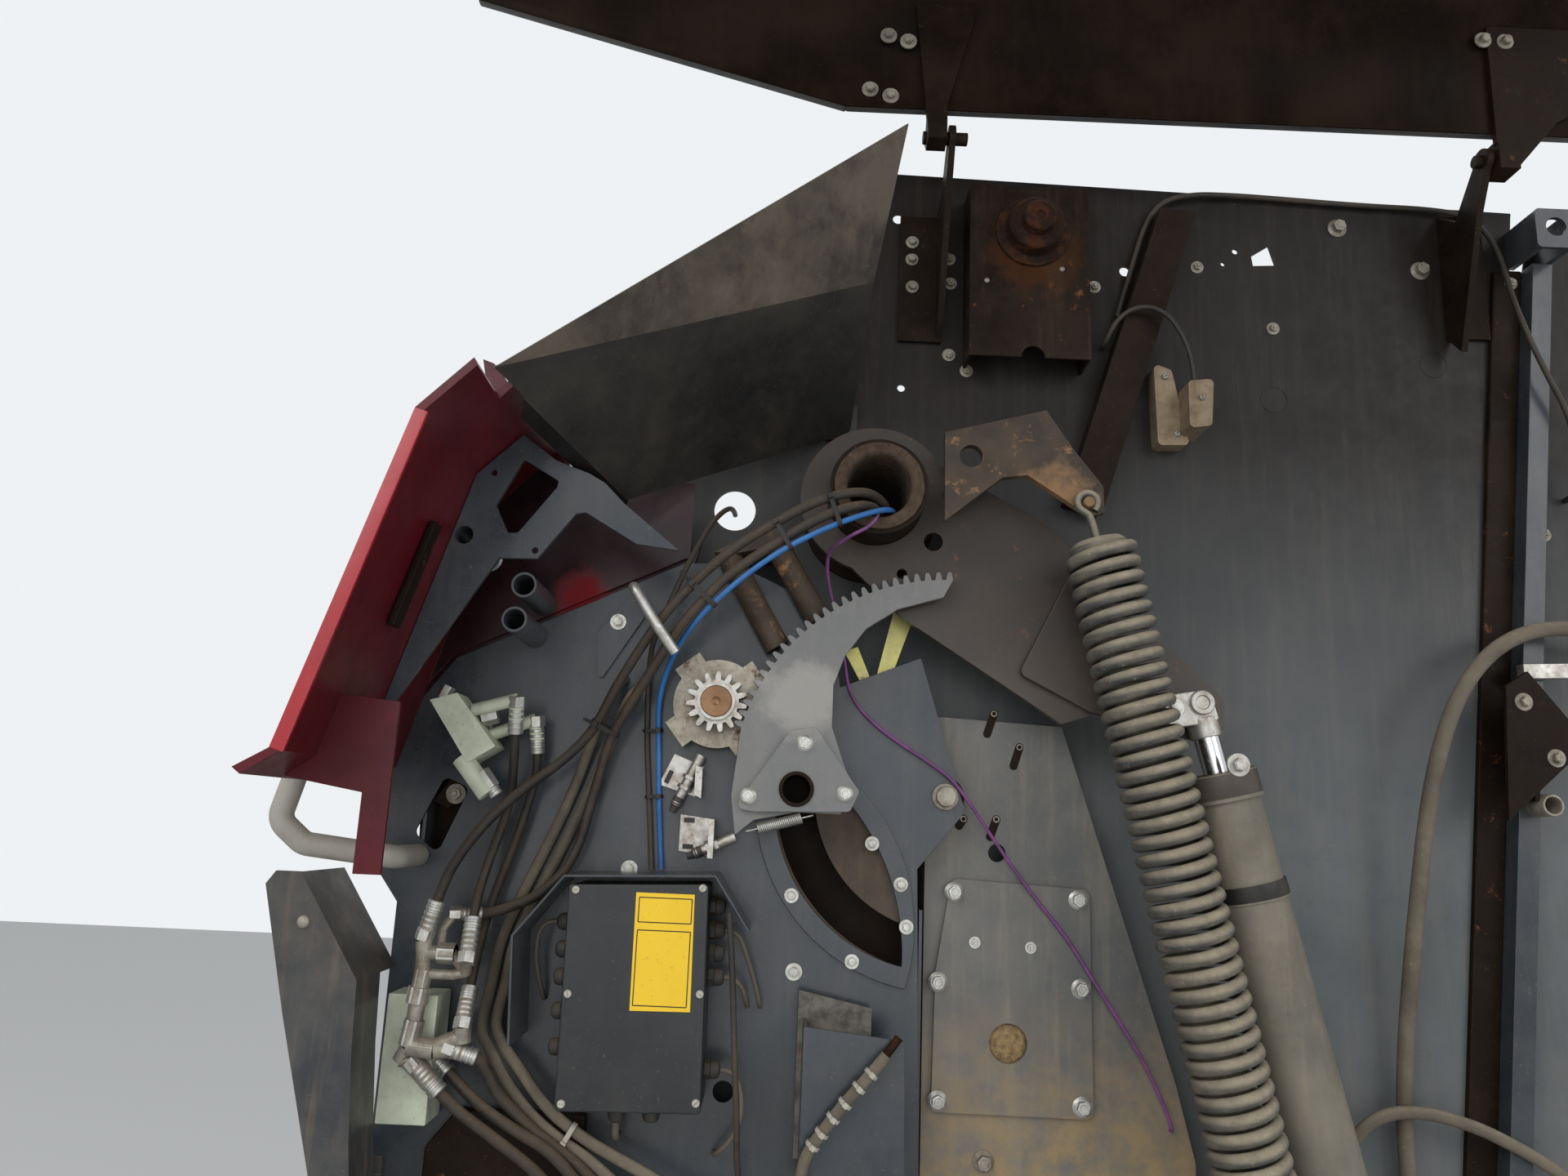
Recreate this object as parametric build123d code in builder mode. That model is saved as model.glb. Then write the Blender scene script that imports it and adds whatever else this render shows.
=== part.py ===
from build123d import *
from math import cos, degrees, radians, sin, tan
import os

os.makedirs("parts", exist_ok=True)

# Round baler side frame with belt tensioner, millimetres.
# The wall's outer face is the plane Y = 0, and "out" is a distance outwards from it, along -Y.
# X runs rearwards along the baler and Z up; the origin is the middle of the sill's bolt pattern.

# Side wall and sill
WALL = 4
WALL_TOP = 1766
WALL_FALL = 0.022
SILL_HEIGHT = 80
SILL_DEPTH = 90
SILL_SHEET = 5
SILL_FRONT = -640
SILL_REAR = 705
MOUNT_SPACING_X = 1000
MOUNT_SPACING_Y = 50
MOUNT_HOLE_RADIUS = 8.75
SEAM_FOOT = 524
SEAM_SLOPE = 0.1195
REAR_EDGE = 815
SHEET = 4

# Front plate, its crescent slot and the bearing panel
FRONT_OUT = 70
PANEL_OUT = 40
COVER_THICKNESS = 6
BEARING_PLATE_OUT = 50
HUB_LENGTH = 45
HUB_RADIUS = 36

# Bale size sensing arm, sector gear and pinion
SENSOR_PIVOT = (-47, 940)
GEAR_MODULE = 4
SECTOR_TEETH = 124
PINION_TEETH = 15
SECTOR_INNER = 106
SECTOR_THICKNESS = 8
SECTOR_START = 90
SECTOR_END = 166
MESH_ANGLE = 160.7
PINION_INNER = 104
PINION_WIDTH = 14
SENSING_TUBE_RADIUS = 19
SENSING_TUBE_REACH = 170
SLOT_MARGIN = 6
INNER_ARM_OUT = 58
INNER_ARM_THICKNESS = 10

# Belt tension arm about the big pivot tube
ARM_PIVOT = (-137, 1281)
PIVOT_TUBE_RADIUS = 56
PIVOT_TUBE_SHEET = 6
PIVOT_TUBE_OUT = 146
LINING_BORE = 36
LINING_OUT = 152
ARM_CLEARANCE = 0.4
ARM_DISC_RADIUS = 88
ARM_INNER = 84
ARM_THICKNESS = 10
LUG_THICKNESS = 10
LUG_PIN = (224, 1052)
EAR_OUT = 150
EAR_THICKNESS = 12

# Cylinder and tension spring
CYLINDER_OUT = 122
CYLINDER_ANCHOR = (400, 330)
BARREL_RADIUS = 38
BARREL_START = 78
BARREL_FOOT = 34
ROD_RADIUS = 14
ROD_CLEARANCE = 0.3
ROD_INSIDE = 470
EYE_THICKNESS = 24
PIN_RADIUS = 12
SPRING_OUT = 160
SPRING_RADIUS = 41
SPRING_WIRE = 13
SPRING_TOP = (105, 1222)
SPRING_FOOT = (292, 392)

# Side door, raised
HINGE_OUT = 100
HINGE_DROP = 11
HINGE_HEIGHT = WALL_TOP - HINGE_DROP
HINGE_PIN_RADIUS = 8
DOOR_SHEET = 3
DOOR_REAR = 815

# Electric box
BOX_BACK = 76
BOX_FRONT = 146
BOX_LID = 5

# Hoses and cables: radius, then the route's points as x, z, out
CORNER_SHARE = 0.45
HYDRAULIC_HOSES = {
    "pressure_hose": (5.5, [
        (-121.5, 1258, -26), (-121.3, 1258.4, 30), (-121, 1258.8, 84), (-127.5, 1265.5, 124),
        (-147, 1270.5, 152), (-174, 1264, 172), (-210, 1250, 176), (-248, 1229, 171),
        (-287, 1204, 166), (-318, 1179, 161), (-347, 1149, 156), (-374, 1116, 152), (-398, 1078, 144),
        (-422, 1038, 130), (-442, 996, 116), (-473, 961, 112), (-513, 929, 120), (-544, 896, 132),
        (-568, 861, 140), (-584, 828, 142), (-592, 795, 142),
    ]),
    "return_hose": (5.5, [
        (-132, 1253, -26), (-132.3, 1252.7, 30), (-132.5, 1252.7, 84), (-133, 1255, 124),
        (-148, 1254.5, 157), (-172, 1247, 174), (-204, 1233, 173), (-237, 1213, 167),
        (-274, 1188, 163), (-305, 1164, 158), (-332, 1136, 151), (-357, 1104, 143), (-378, 1067, 137),
        (-404, 1026, 122), (-427, 985, 106), (-436, 946, 98), (-445, 910, 94), (-452, 872, 94),
        (-467, 839, 97), (-493, 814, 100), (-522, 801, 105), (-546, 794, 112), (-561, 794, 116),
    ]),
    "branch_hose_a": (6, [
        (-420, 1058, 70.2), (-420, 1058, 79), (-422.4, 1052, 89.5), (-427, 1041, 95.5),
        (-435, 1019, 96), (-446, 991, 91), (-456, 961, 84), (-465, 933, 80), (-481, 891, 79),
        (-499, 849, 79), (-518, 804, 79), (-533, 764, 80), (-537, 721, 83), (-543, 674, 96),
        (-526, 654, 103), (-513, 633, 106), (-494, 610, 106), (-472, 590, 108), (-446, 573, 110),
        (-417, 558, 111), (-369, 522, 112), (-340, 500, 110), (-313.2, 490.5, 105), (-303, 481, 97.5),
        (-296, 474, 84), (-296, 474, 70.2),
    ]),
    "branch_hose_b": (6, [
        (-405, 1044, 70.2), (-405, 1044, 79), (-407.4, 1038, 89.5), (-412, 1027, 95.5),
        (-420, 1005, 96), (-430, 978, 90.5), (-440, 949, 84), (-452, 920, 80), (-467, 882, 79),
        (-484, 843, 79), (-503, 802, 79.5), (-519, 763, 80), (-522, 721, 83), (-529, 680, 92),
        (-515, 660, 101), (-495, 639, 104), (-477, 617, 105), (-457, 598, 107), (-431, 581, 109),
        (-403, 566, 110), (-344, 540, 111), (-312, 520, 110), (-281.2, 509, 105), (-271, 499, 97.5),
        (-264, 492, 84), (-264, 492, 70.2),
    ]),
    "valve_hose_a": (5, [
        (-527, 1000, 128), (-528, 973, 120), (-529, 942, 108), (-533, 906, 99), (-543, 869, 102),
        (-549, 834, 116), (-551, 805, 131), (-550, 779, 142),
    ]),
    "valve_hose_b": (5, [
        (-508, 981, 100), (-505, 952, 95), (-512, 918, 91), (-521, 882, 91), (-532, 844, 90),
        (-543, 809, 91), (-548, 776, 100), (-550, 743, 113), (-550, 709, 130),
    ]),
    "tee_hose": (6, [
        (-547, 659, 138), (-531, 655, 136), (-522, 639, 129), (-513, 620, 125), (-495, 603, 123),
        (-473, 585, 122), (-447, 568, 122), (-420, 551, 121), (-381, 510, 117), (-358, 484, 113),
        (-341.7, 465.8, 105), (-333, 456, 97.5), (-328, 448, 84), (-328, 448, 70.2),
    ]),
    "elbow_hose_a": (6, [
        (-578, 629, 136), (-555, 608, 137), (-524, 589, 138), (-489, 568, 139), (-457, 545, 136),
        (-434, 515, 131), (-419, 484, 121), (-411.7, 453.8, 109.6), (-403, 438.7, 99.6),
        (-398, 430, 83.3), (-398, 430, 70.2),
    ]),
    "elbow_hose_b": (6, [
        (-578, 644, 112), (-556, 624, 113), (-525, 603, 123), (-489, 586, 132), (-452, 570, 135),
        (-421, 540, 134), (-398, 512, 128), (-383, 484, 119), (-375.7, 461.8, 109.6),
        (-367, 446.7, 99.6), (-362, 438, 83.3), (-362, 438, 70.2),
    ]),
    "lever_hose": (6, [
        (-116, 678, 158), (-135, 656, 160), (-156, 633, 160), (-177, 606, 158), (-196, 579, 156),
        (-199, 550, 156.5), (-202, 523, 150), (-205, 501, 132), (-206.5, 488, 102),
        (-206.5, 488, 70.2),
    ]),
}
REAR_HOSES = {
    "rear_hose": (9, [
        (782, 1152, 0.2), (782, 1152, 15), (772.4, 1154.8, 32.5), (755.8, 1159.6, 43.5),
        (728, 1166, 53), (694, 1170, 60), (639, 1163, 62), (590, 1134, 66), (552, 1088, 68),
        (525, 1026, 66), (509, 951, 58), (499, 869, 48), (490, 778, 36), (482, 679, 24),
        (478, 580, 17), (484, 470, 17), (486, 413, 21), (488, 359, 28), (488.5, 315, 34),
        (489, 281, 36.5), (489, 262, 36.5), (489, 247, 28), (489, 240, 13), (489, 240, 0.2),
    ]),
    "rear_low_hose": (7, [
        (381, 446, 0.2), (381, 446, 12), (382, 453.5, 24.5), (384, 466, 32), (387, 488, 35),
        (390, 520, 35.5), (396, 556, 35.5), (413, 592, 35), (446, 618, 36), (492, 622, 38),
        (547, 609, 39), (592, 589, 39), (622, 573, 39), (648, 556, 38), (672.8, 541.5, 34),
        (685.6, 534.2, 26), (693, 530, 12.3), (693, 530, 0.2),
    ]),
}
CABLES = {
    "blue_cable": (3.2, [
        (-110.8, 1264.5, -26), (-110.6, 1265, 20), (-111, 1264.6, 72), (-117, 1257, 124),
        (-129, 1251, 158), (-158, 1238, 175), (-196, 1222, 174), (-240, 1199, 168), (-276, 1173, 163),
        (-306, 1147, 157), (-335, 1118, 145), (-354, 1094, 124), (-369, 1068, 98), (-378, 1032, 80),
        (-375, 991, 75), (-372, 938, 75), (-368, 895, 75), (-363, 846.6, 75),
    ]),
    "black_cable": (3.2, [
        (-306, 1284, -14), (-307, 1284, 14), (-314, 1276, 42), (-326, 1256, 66), (-338, 1226, 88),
        (-350, 1192, 108), (-362, 1156, 120), (-374, 1124, 120), (-386, 1098, 104), (-390, 1076, 86),
        (-391, 1039, 76), (-389, 993, 74), (-384, 943, 74), (-379, 898, 74), (-374, 846, 75),
    ]),
    "box_side_cable": (3.2, [
        (-282, 810, 158), (-277, 768, 160), (-273, 721, 160), (-269, 666, 158), (-264, 611, 152),
        (-263, 575, 140), (-260, 545, 123), (-256, 520, 108), (-251.7, 502.2, 98.4),
        (-248.1, 490.7, 91.4), (-246, 484, 79.3), (-246, 484, 70.2),
    ]),
    "top_edge_cable": (3.5, [
        (179, 1568, 8), (198, 1634, 9), (219, 1704, 9), (240, 1735, 11), (280, 1748, 12),
        (336, 1750, 10), (400, 1749, 8), (466, 1746, 8), (530, 1744, 8), (590, 1743, 9),
        (638, 1737, 11), (668, 1716, 13), (683, 1682, 15), (685, 1646, 22), (683, 1606, 34),
        (686, 1568, 43), (696, 1530, 46), (710, 1493, 46), (730, 1451, 44), (739, 1412, 41),
        (743, 1388, 37), (745, 1366.5, 30.8), (745.5, 1353.5, 22.8), (746, 1346, 10.3),
        (746, 1346, 0.2),
    ]),
    "sensor_cable": (3, [
        (160, 1526, 0.2), (160, 1526, 12), (163, 1535, 24.5), (170, 1550, 34), (186, 1564, 40),
        (210, 1568, 43), (232, 1556, 46), (247, 1532, 48), (256, 1508, 49), (261, 1484, 48),
        (262, 1464, 48),
    ]),
    "left_gland_cable": (2.6, [
        (-467.2, 790, 110), (-474, 790, 110), (-481.8, 785.5, 110), (-486.3, 777.7, 109),
        (-487.8, 765, 106.5), (-488, 749, 102), (-485.5, 732, 95.5), (-482.3, 718.2, 88.6),
        (-481.5, 710.5, 84.1), (-481, 706, 76.5), (-481, 706, 70.2),
    ]),
    "high_gland_cable": (2.6, [
        (-286.8, 788, 110), (-280, 788, 110), (-272.2, 783.5, 110), (-267.7, 775.7, 109),
        (-263, 763, 106), (-257, 747, 101), (-252, 731, 95), (-248.5, 718, 88.6), (-247, 711, 84.1),
        (-246.3, 707, 76.5), (-246.3, 707, 70.2),
    ]),
    "middle_gland_cable": (2.6, [
        (-285.8, 740, 110), (-279, 740, 110), (-271.2, 736, 109), (-265, 728, 105), (-262.5, 719, 99),
        (-261, 711, 89), (-260, 707, 78), (-260, 707, 70.2),
    ]),
    "low_gland_cable": (2.6, [
        (-284.3, 648, 110), (-277.5, 648, 110), (-269.7, 643.5, 110.5), (-264.5, 635.5, 111.5),
        (-260.5, 620, 112), (-261, 600, 111), (-268, 583, 107), (-279, 569, 99), (-285.5, 561.5, 90.5),
        (-288.5, 558, 79), (-288.5, 558, 70.2),
    ]),
    "bottom_gland_cable": (4, [
        (-390, 593.2, 110), (-390, 585, 110), (-390, 577.5, 104.5), (-390.3, 573, 95),
        (-390.4, 571.6, 83.4), (-390.4, 571.6, 70.2),
    ]),
}
PURPLE_CORD_RADIUS = 2
PURPLE_CORD = [
    (-138, 1247.2, -26), (-138.3, 1247.2, 16), (-138, 1247.2, 64), (-138.3, 1247.1, 112),
    (-138, 1247.2, 136), (-138.5, 1247.1, 154.5), (-140, 1238, 166), (-149, 1226, 170),
    (-166, 1218, 166), (-180, 1212, 150), (-191, 1206, 132), (-192, 1190, 108), (-186, 1168, 88),
    (-176, 1136, 79), (-167, 1093, 76), (-160, 1052, 75), (-136, 1023, 75), (-101, 998, 75),
    (-64, 977, 75), (-38, 958, 76), (-17, 931, 72), (8, 899, 58), (36, 862, 51), (65, 825, 51),
    (94, 792, 51), (120, 752, 51), (145, 715, 51), (168, 680, 51), (183, 654, 51), (197, 624, 51.2),
    (204, 607, 51.2), (206.6, 598.5, 50.5), (208.1, 594.4, 48), (209, 592, 44), (209, 592, 40.2),
]


def at(x, z, out):
    """The point at x and z, out from the wall."""
    return (x, -out, z)


def seam(z):
    """The wall's slanted rear edge at height z."""
    return SEAM_FOOT + SEAM_SLOPE * z


def wall_top(x):
    """The height of the wall's top edge, which falls a little to the rear."""
    return WALL_TOP - WALL_FALL * (x + 105)


def plate(points, inner, thickness, mode=Mode.ADD):
    """A flat plate parallel to the wall, from inner outwards."""
    with BuildSketch(Plane.XZ.offset(inner)) as outline:
        with BuildLine():
            Polyline(*points, close=True)
        make_face()
    extrude(outline.sketch, amount=thickness, mode=mode)


def rounded_plate(points, inner, thickness, radius, mode=Mode.ADD):
    """A flat plate parallel to the wall with all its corners rounded."""
    with BuildSketch(Plane.XZ.offset(inner)) as outline:
        with BuildLine():
            Polyline(*points, close=True)
        make_face()
        fillet(outline.vertices(), radius)
    extrude(outline.sketch, amount=thickness, mode=mode)


def discs(points, radius, inner, length, mode=Mode.ADD):
    """Round bosses or, with Mode.SUBTRACT, holes at right angles to the wall."""
    with BuildSketch(Plane.XZ.offset(inner)) as circles:
        with Locations(*points):
            Circle(radius)
    extrude(circles.sketch, amount=length, mode=mode)


def pan(points, depth, sheet, corner=0.0):
    """A cover pressed from sheet: a face at depth with a rim folded back to the wall."""
    with BuildSketch(Plane.XZ) as outer:
        with BuildLine():
            Polyline(*points, close=True)
        make_face()
        if corner:
            fillet(outer.vertices(), corner)
    extrude(outer.sketch, amount=depth)
    with BuildSketch(Plane.XZ) as inside:
        add(outer.sketch)
        offset(amount=-sheet, mode=Mode.REPLACE)
    extrude(inside.sketch, amount=depth - sheet, mode=Mode.SUBTRACT)


def folded_sheet(points, plane, width, sheet):
    """A sheet folded along a line of points in a plane, and width long across it."""
    with BuildSketch(plane) as section:
        with BuildLine() as fold_line:
            Polyline(*points)
            offset(amount=sheet, side=Side.LEFT, kind=Kind.INTERSECTION)
        make_face()
    extrude(section.sketch, amount=width)


def rod(start, end, radius, mode=Mode.ADD):
    """A round bar from one point to another."""
    axis = Vector(*end) - Vector(*start)
    with BuildSketch(Plane(origin=start, z_dir=axis)) as section:
        Circle(radius)
    extrude(section.sketch, amount=axis.length, mode=mode)


def polar(centre, radius, angle):
    """The point at radius and angle in degrees about centre, in the wall's plane."""
    return (
        centre[0] + radius * cos(radians(angle)),
        centre[1] + radius * sin(radians(angle)),
    )


def lens(inner, thickness, margin, mode=Mode.ADD):
    """The crescent round the sensing tube's path, grown outwards by margin."""
    outer_radius = SENSING_TUBE_REACH + SENSING_TUBE_RADIUS + SLOT_MARGIN + margin
    top = polar(SENSOR_PIVOT, outer_radius - 4, 166 - 0.12 * margin)
    foot = polar(SENSOR_PIVOT, outer_radius - 4, 256 + 0.12 * margin)
    left = polar(SENSOR_PIVOT, outer_radius, 208)
    right = polar(SENSOR_PIVOT, 96 - margin, 218)
    with BuildSketch(Plane.XZ.offset(inner)) as crescent:
        with BuildLine():
            ThreePointArc(top, left, foot)
            ThreePointArc(foot, right, top)
        make_face()
    extrude(crescent.sketch, amount=thickness, mode=mode)


def hose(name, route, radius):
    """A cord of straight runs joined by tangent arcs; the arcs' radii are printed."""
    knots = [Vector(*at(*point)) for point in route]
    radii = []
    for before, corner, after in zip(knots, knots[1:], knots[2:]):
        arriving, leaving = corner - before, after - corner
        half_turn = radians(arriving.get_angle(leaving)) / 2
        radii.append(CORNER_SHARE * min(arriving.length, leaving.length) / tan(half_turn))
    print(name, "corner radii", [round(value) for value in radii])
    with BuildLine() as cord_line:
        FilletPolyline(*knots, radius=radii)
    with BuildSketch(Plane(origin=cord_line.line @ 0, z_dir=cord_line.line % 0)) as cord_section:
        Circle(radius)
    sweep(cord_section.sketch, path=cord_line.line)


def ferrule(route, length, radius):
    """A crimped sleeve in line with the last run of a hose; gives the sleeve's far end."""
    last, end = Vector(*at(*route[-2])), Vector(*at(*route[-1]))
    far = end + (end - last).normalized() * length
    rod(tuple(end), tuple(far), radius)
    return tuple(far)


sector_pitch = GEAR_MODULE * SECTOR_TEETH / 2
pinion_pitch = GEAR_MODULE * PINION_TEETH / 2
PINION_CENTRE = polar(SENSOR_PIVOT, sector_pitch + pinion_pitch, MESH_ANGLE)

# Main wall: one sheet with a flange folded inwards along its top
wall_outline = [
    (SILL_FRONT, SILL_HEIGHT),
    (SILL_FRONT, 1000),
    (-600, 1062),
    (-362, 1196),
    (-420, 1250),
    (-185, wall_top(-185)),
    (seam(WALL_TOP) - 20, wall_top(seam(WALL_TOP))),
    (seam(SILL_HEIGHT), SILL_HEIGHT),
]
with BuildPart() as main_wall:
    plate(wall_outline, -WALL, WALL)
    with BuildSketch(Plane.XZ.offset(-30)) as flange:
        with BuildLine():
            Polyline(
                (-185, wall_top(-185)),
                (-185, wall_top(-185) - WALL),
                (seam(WALL_TOP) - 20, wall_top(seam(WALL_TOP)) - WALL),
                (seam(WALL_TOP) - 20, wall_top(seam(WALL_TOP))),
                close=True,
            )
        make_face()
    extrude(flange.sketch, amount=30)
    discs([ARM_PIVOT], PIVOT_TUBE_RADIUS + 0.5, -WALL, WALL, Mode.SUBTRACT)
    discs([(-306, 1286)], 26, -WALL, WALL, Mode.SUBTRACT)
    # Small round holes: columns are x, z, radius
    for x, z, radius in [
        (-109, 1700, 7),
        (-100, 1460, 5),
        (193, 1638, 7),
        (345, 1741, 4),
        (341, 1674, 4),
        (324, 1655, 3),
    ]:
        discs([(x, z)], radius, -WALL, WALL, Mode.SUBTRACT)
    plate([(-192, 1398), (-178, 1402), (-180, 1426), (-194, 1422)], -WALL, WALL, Mode.SUBTRACT)
    plate([(362, 1668), (386, 1684), (394, 1656), (364, 1654)], -WALL, WALL, Mode.SUBTRACT)
main_wall.part.label = "main_wall"
export_step(main_wall.part, "parts/main_wall.step")

# Sill: a box section the wall stands on, with the bolt holes in its underside
with BuildPart() as sill_rail:
    with BuildSketch(Plane.YZ.offset(SILL_FRONT)) as section:
        with Locations((0, SILL_HEIGHT / 2)):
            Rectangle(SILL_DEPTH, SILL_HEIGHT)
            Rectangle(SILL_DEPTH - 2 * SILL_SHEET, SILL_HEIGHT - 2 * SILL_SHEET, mode=Mode.SUBTRACT)
    extrude(amount=SILL_REAR - SILL_FRONT)
    with BuildSketch(Plane.XY) as bolt_holes:
        with GridLocations(MOUNT_SPACING_X, MOUNT_SPACING_Y, 2, 2):
            Circle(MOUNT_HOLE_RADIUS)
    extrude(amount=SILL_SHEET, mode=Mode.SUBTRACT)
sill_rail.part.label = "sill_rail"
export_step(sill_rail.part, "parts/sill_rail.step")

# Rear post: a hat channel down the wall's rear edge
POST_WIDTH = 26
POST_DEPTH = 28
POST_TOP = 1660
with BuildPart() as rear_post:
    post_side = [
        (seam(SILL_HEIGHT) - 4, SILL_HEIGHT),
        (seam(POST_TOP) - 4, POST_TOP),
        (seam(POST_TOP) - 4 + POST_WIDTH, POST_TOP),
        (seam(SILL_HEIGHT) - 4 + POST_WIDTH, SILL_HEIGHT),
    ]
    pan(post_side, POST_DEPTH, SHEET)
rear_post.part.label = "rear_post"
export_step(rear_post.part, "parts/rear_post.step")

# Rear plate beyond the post
with BuildPart() as rear_plate:
    plate(
        [
            (seam(SILL_HEIGHT) + 1, SILL_HEIGHT),
            (seam(POST_TOP) + 1, POST_TOP),
            (seam(POST_TOP) + 14, 1722),
            (REAR_EDGE, 1716),
            (REAR_EDGE, 1250),
            (REAR_EDGE - 70, 300),
            (REAR_EDGE - 110, SILL_HEIGHT),
        ],
        -WALL,
        WALL,
    )
rear_plate.part.label = "rear_plate"
export_step(rear_plate.part, "parts/rear_plate.step")

# Front plate: a deep pan whose nose carries the sensing arm's pivot
front_outline = [
    (-654, 150),
    (-654, 800),
    (-677, 830),
    (-677, 990),
    (-615, 1075),
    (-357, 1199),
    (-299, 1201),
    (-185, 1150),
    (-170, 1060),
    (-77, 1098),
    (-25, 928),
    (-28, 919),
    (-77, 859),
    (-70, 540),
    (-70, 150),
]
with BuildPart() as front_plate:
    plate(front_outline, FRONT_OUT - SHEET, SHEET)
    # Folded rims back to the wall: columns are x, z of the start and the end
    for start, end in [
        ((-636, 150), (-636, 985)),
        ((-600, 1058), (-362, 1172)),
        ((-70 - SHEET, 150), (-70 - SHEET, 815)),
    ]:
        run = Vector(end[0] - start[0], end[1] - start[1])
        side = Vector(run.Y, -run.X).normalized() * SHEET
        plate(
            [start, end, (end[0] + side.X, end[1] + side.Y), (start[0] + side.X, start[1] + side.Y)],
            0,
            FRONT_OUT - SHEET,
        )
    lens(FRONT_OUT - SHEET, SHEET, 8, Mode.SUBTRACT)
    rounded_plate(
        [(-615, 939), (-586, 927), (-615, 853), (-643, 875)], FRONT_OUT - SHEET, SHEET, 8, Mode.SUBTRACT
    )
    discs([SENSOR_PIVOT, PINION_CENTRE], 10.3, FRONT_OUT - SHEET, SHEET, Mode.SUBTRACT)
    discs([(-282, 618)], 11, FRONT_OUT - SHEET, SHEET, Mode.SUBTRACT)
front_plate.part.label = "front_plate"
export_step(front_plate.part, "parts/front_plate.step")

# Latch lever behind the front plate's window, on a pin from the wall
with BuildPart() as window_lever:
    plate([(-580, 985), (-562, 981), (-610, 903), (-628, 911)], 54, 6)
    discs([(-603, 920)], 12, 0, 54)
window_lever.part.label = "window_lever"
export_step(window_lever.part, "parts/window_lever.step")

# Clamping ring round the crescent slot, and the rubber flaps that it holds
RING_THICKNESS = 6
with BuildPart() as slot_ring:
    lens(FRONT_OUT, RING_THICKNESS, 22)
    lens(FRONT_OUT, RING_THICKNESS, 0, Mode.SUBTRACT)
slot_ring.part.label = "slot_ring"
export_step(slot_ring.part, "parts/slot_ring.step")

FLAP_CLEARANCE = 3
with BuildPart() as slot_flaps:
    lens(FRONT_OUT - 3, 3, 7)
    with BuildSketch(Plane.XZ.offset(FRONT_OUT - 3)) as tube_path:
        with Locations(SENSOR_PIVOT):
            Circle(SENSING_TUBE_REACH + SENSING_TUBE_RADIUS + FLAP_CLEARANCE)
            Circle(SENSING_TUBE_REACH - SENSING_TUBE_RADIUS - FLAP_CLEARANCE, mode=Mode.SUBTRACT)
    extrude(tube_path.sketch, amount=3, mode=Mode.SUBTRACT)
slot_flaps.part.label = "slot_flaps"
export_step(slot_flaps.part, "parts/slot_flaps.step")

# Bearing panel beside the front plate, with its bolted cover
with BuildPart() as bearing_panel:
    pan([(-65, 150), (-65, 1034), (94, 1028), (217, 638), (236, 560), (236, 150)], PANEL_OUT, SHEET)
    discs([(30, 675)], 23, PANEL_OUT - SHEET, SHEET, Mode.SUBTRACT)
    discs([(18, 880)], 10, PANEL_OUT - SHEET, SHEET, Mode.SUBTRACT)
bearing_panel.part.label = "bearing_panel"
export_step(bearing_panel.part, "parts/bearing_panel.step")

with BuildPart() as bearing_cover:
    rounded_plate(
        [(-55, 601), (-52, 748), (-35, 850), (123, 844), (124, 600)], PANEL_OUT, COVER_THICKNESS, 9
    )
    discs([(30, 675)], 21, PANEL_OUT, COVER_THICKNESS, Mode.SUBTRACT)
bearing_cover.part.label = "bearing_cover"
export_step(bearing_cover.part, "parts/bearing_cover.step")

# Roller bearing plate near the top, with its rusty hub
HUB_CENTRE = (60, 1660)
PLATE_FRONT, PLATE_REAR = -21, 133
PLATE_LOW, PLATE_HIGH = 1488, 1726
with BuildPart() as roller_bearing_plate:
    face_inner = BEARING_PLATE_OUT - SHEET
    plate(
        [(PLATE_FRONT, PLATE_LOW), (PLATE_FRONT, PLATE_HIGH), (PLATE_REAR, PLATE_HIGH), (PLATE_REAR, PLATE_LOW)],
        face_inner,
        SHEET,
    )
    for x in (PLATE_FRONT, PLATE_REAR - SHEET):
        plate([(x, PLATE_LOW), (x, PLATE_HIGH), (x + SHEET, PLATE_HIGH), (x + SHEET, PLATE_LOW)], 0, face_inner)
    discs([(HUB_CENTRE[0], PLATE_LOW)], 15, face_inner, SHEET, Mode.SUBTRACT)
roller_bearing_plate.part.label = "roller_bearing_plate"
export_step(roller_bearing_plate.part, "parts/roller_bearing_plate.step")

with BuildPart() as roller_hub:
    with BuildSketch(Plane.XY) as hub_profile:
        with BuildLine():
            Polyline(
                (0, 0),
                (HUB_RADIUS + 12, 0),
                (HUB_RADIUS + 12, 5),
                (HUB_RADIUS, 9),
                (HUB_RADIUS - 3, 26),
                (HUB_RADIUS - 15, 30),
                (HUB_RADIUS - 18, HUB_LENGTH),
                (0, HUB_LENGTH),
                close=True,
            )
        make_face()
    revolve(axis=Axis.Y)
roller_hub.part = Plane(
    origin=at(HUB_CENTRE[0], HUB_CENTRE[1], BEARING_PLATE_OUT), x_dir=(1, 0, 0), z_dir=(0, 0, 1)
).location * Rot(Z=180) * roller_hub.part
roller_hub.part.label = "roller_hub"
export_step(roller_hub.part, "parts/roller_hub.step")

# Door hinge brackets: a bolted foot and a fin that carries the pin
FIN = 8
FRONT_FIN = -58
REAR_FIN = 613
BRACKET_FOOT = 6
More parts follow.
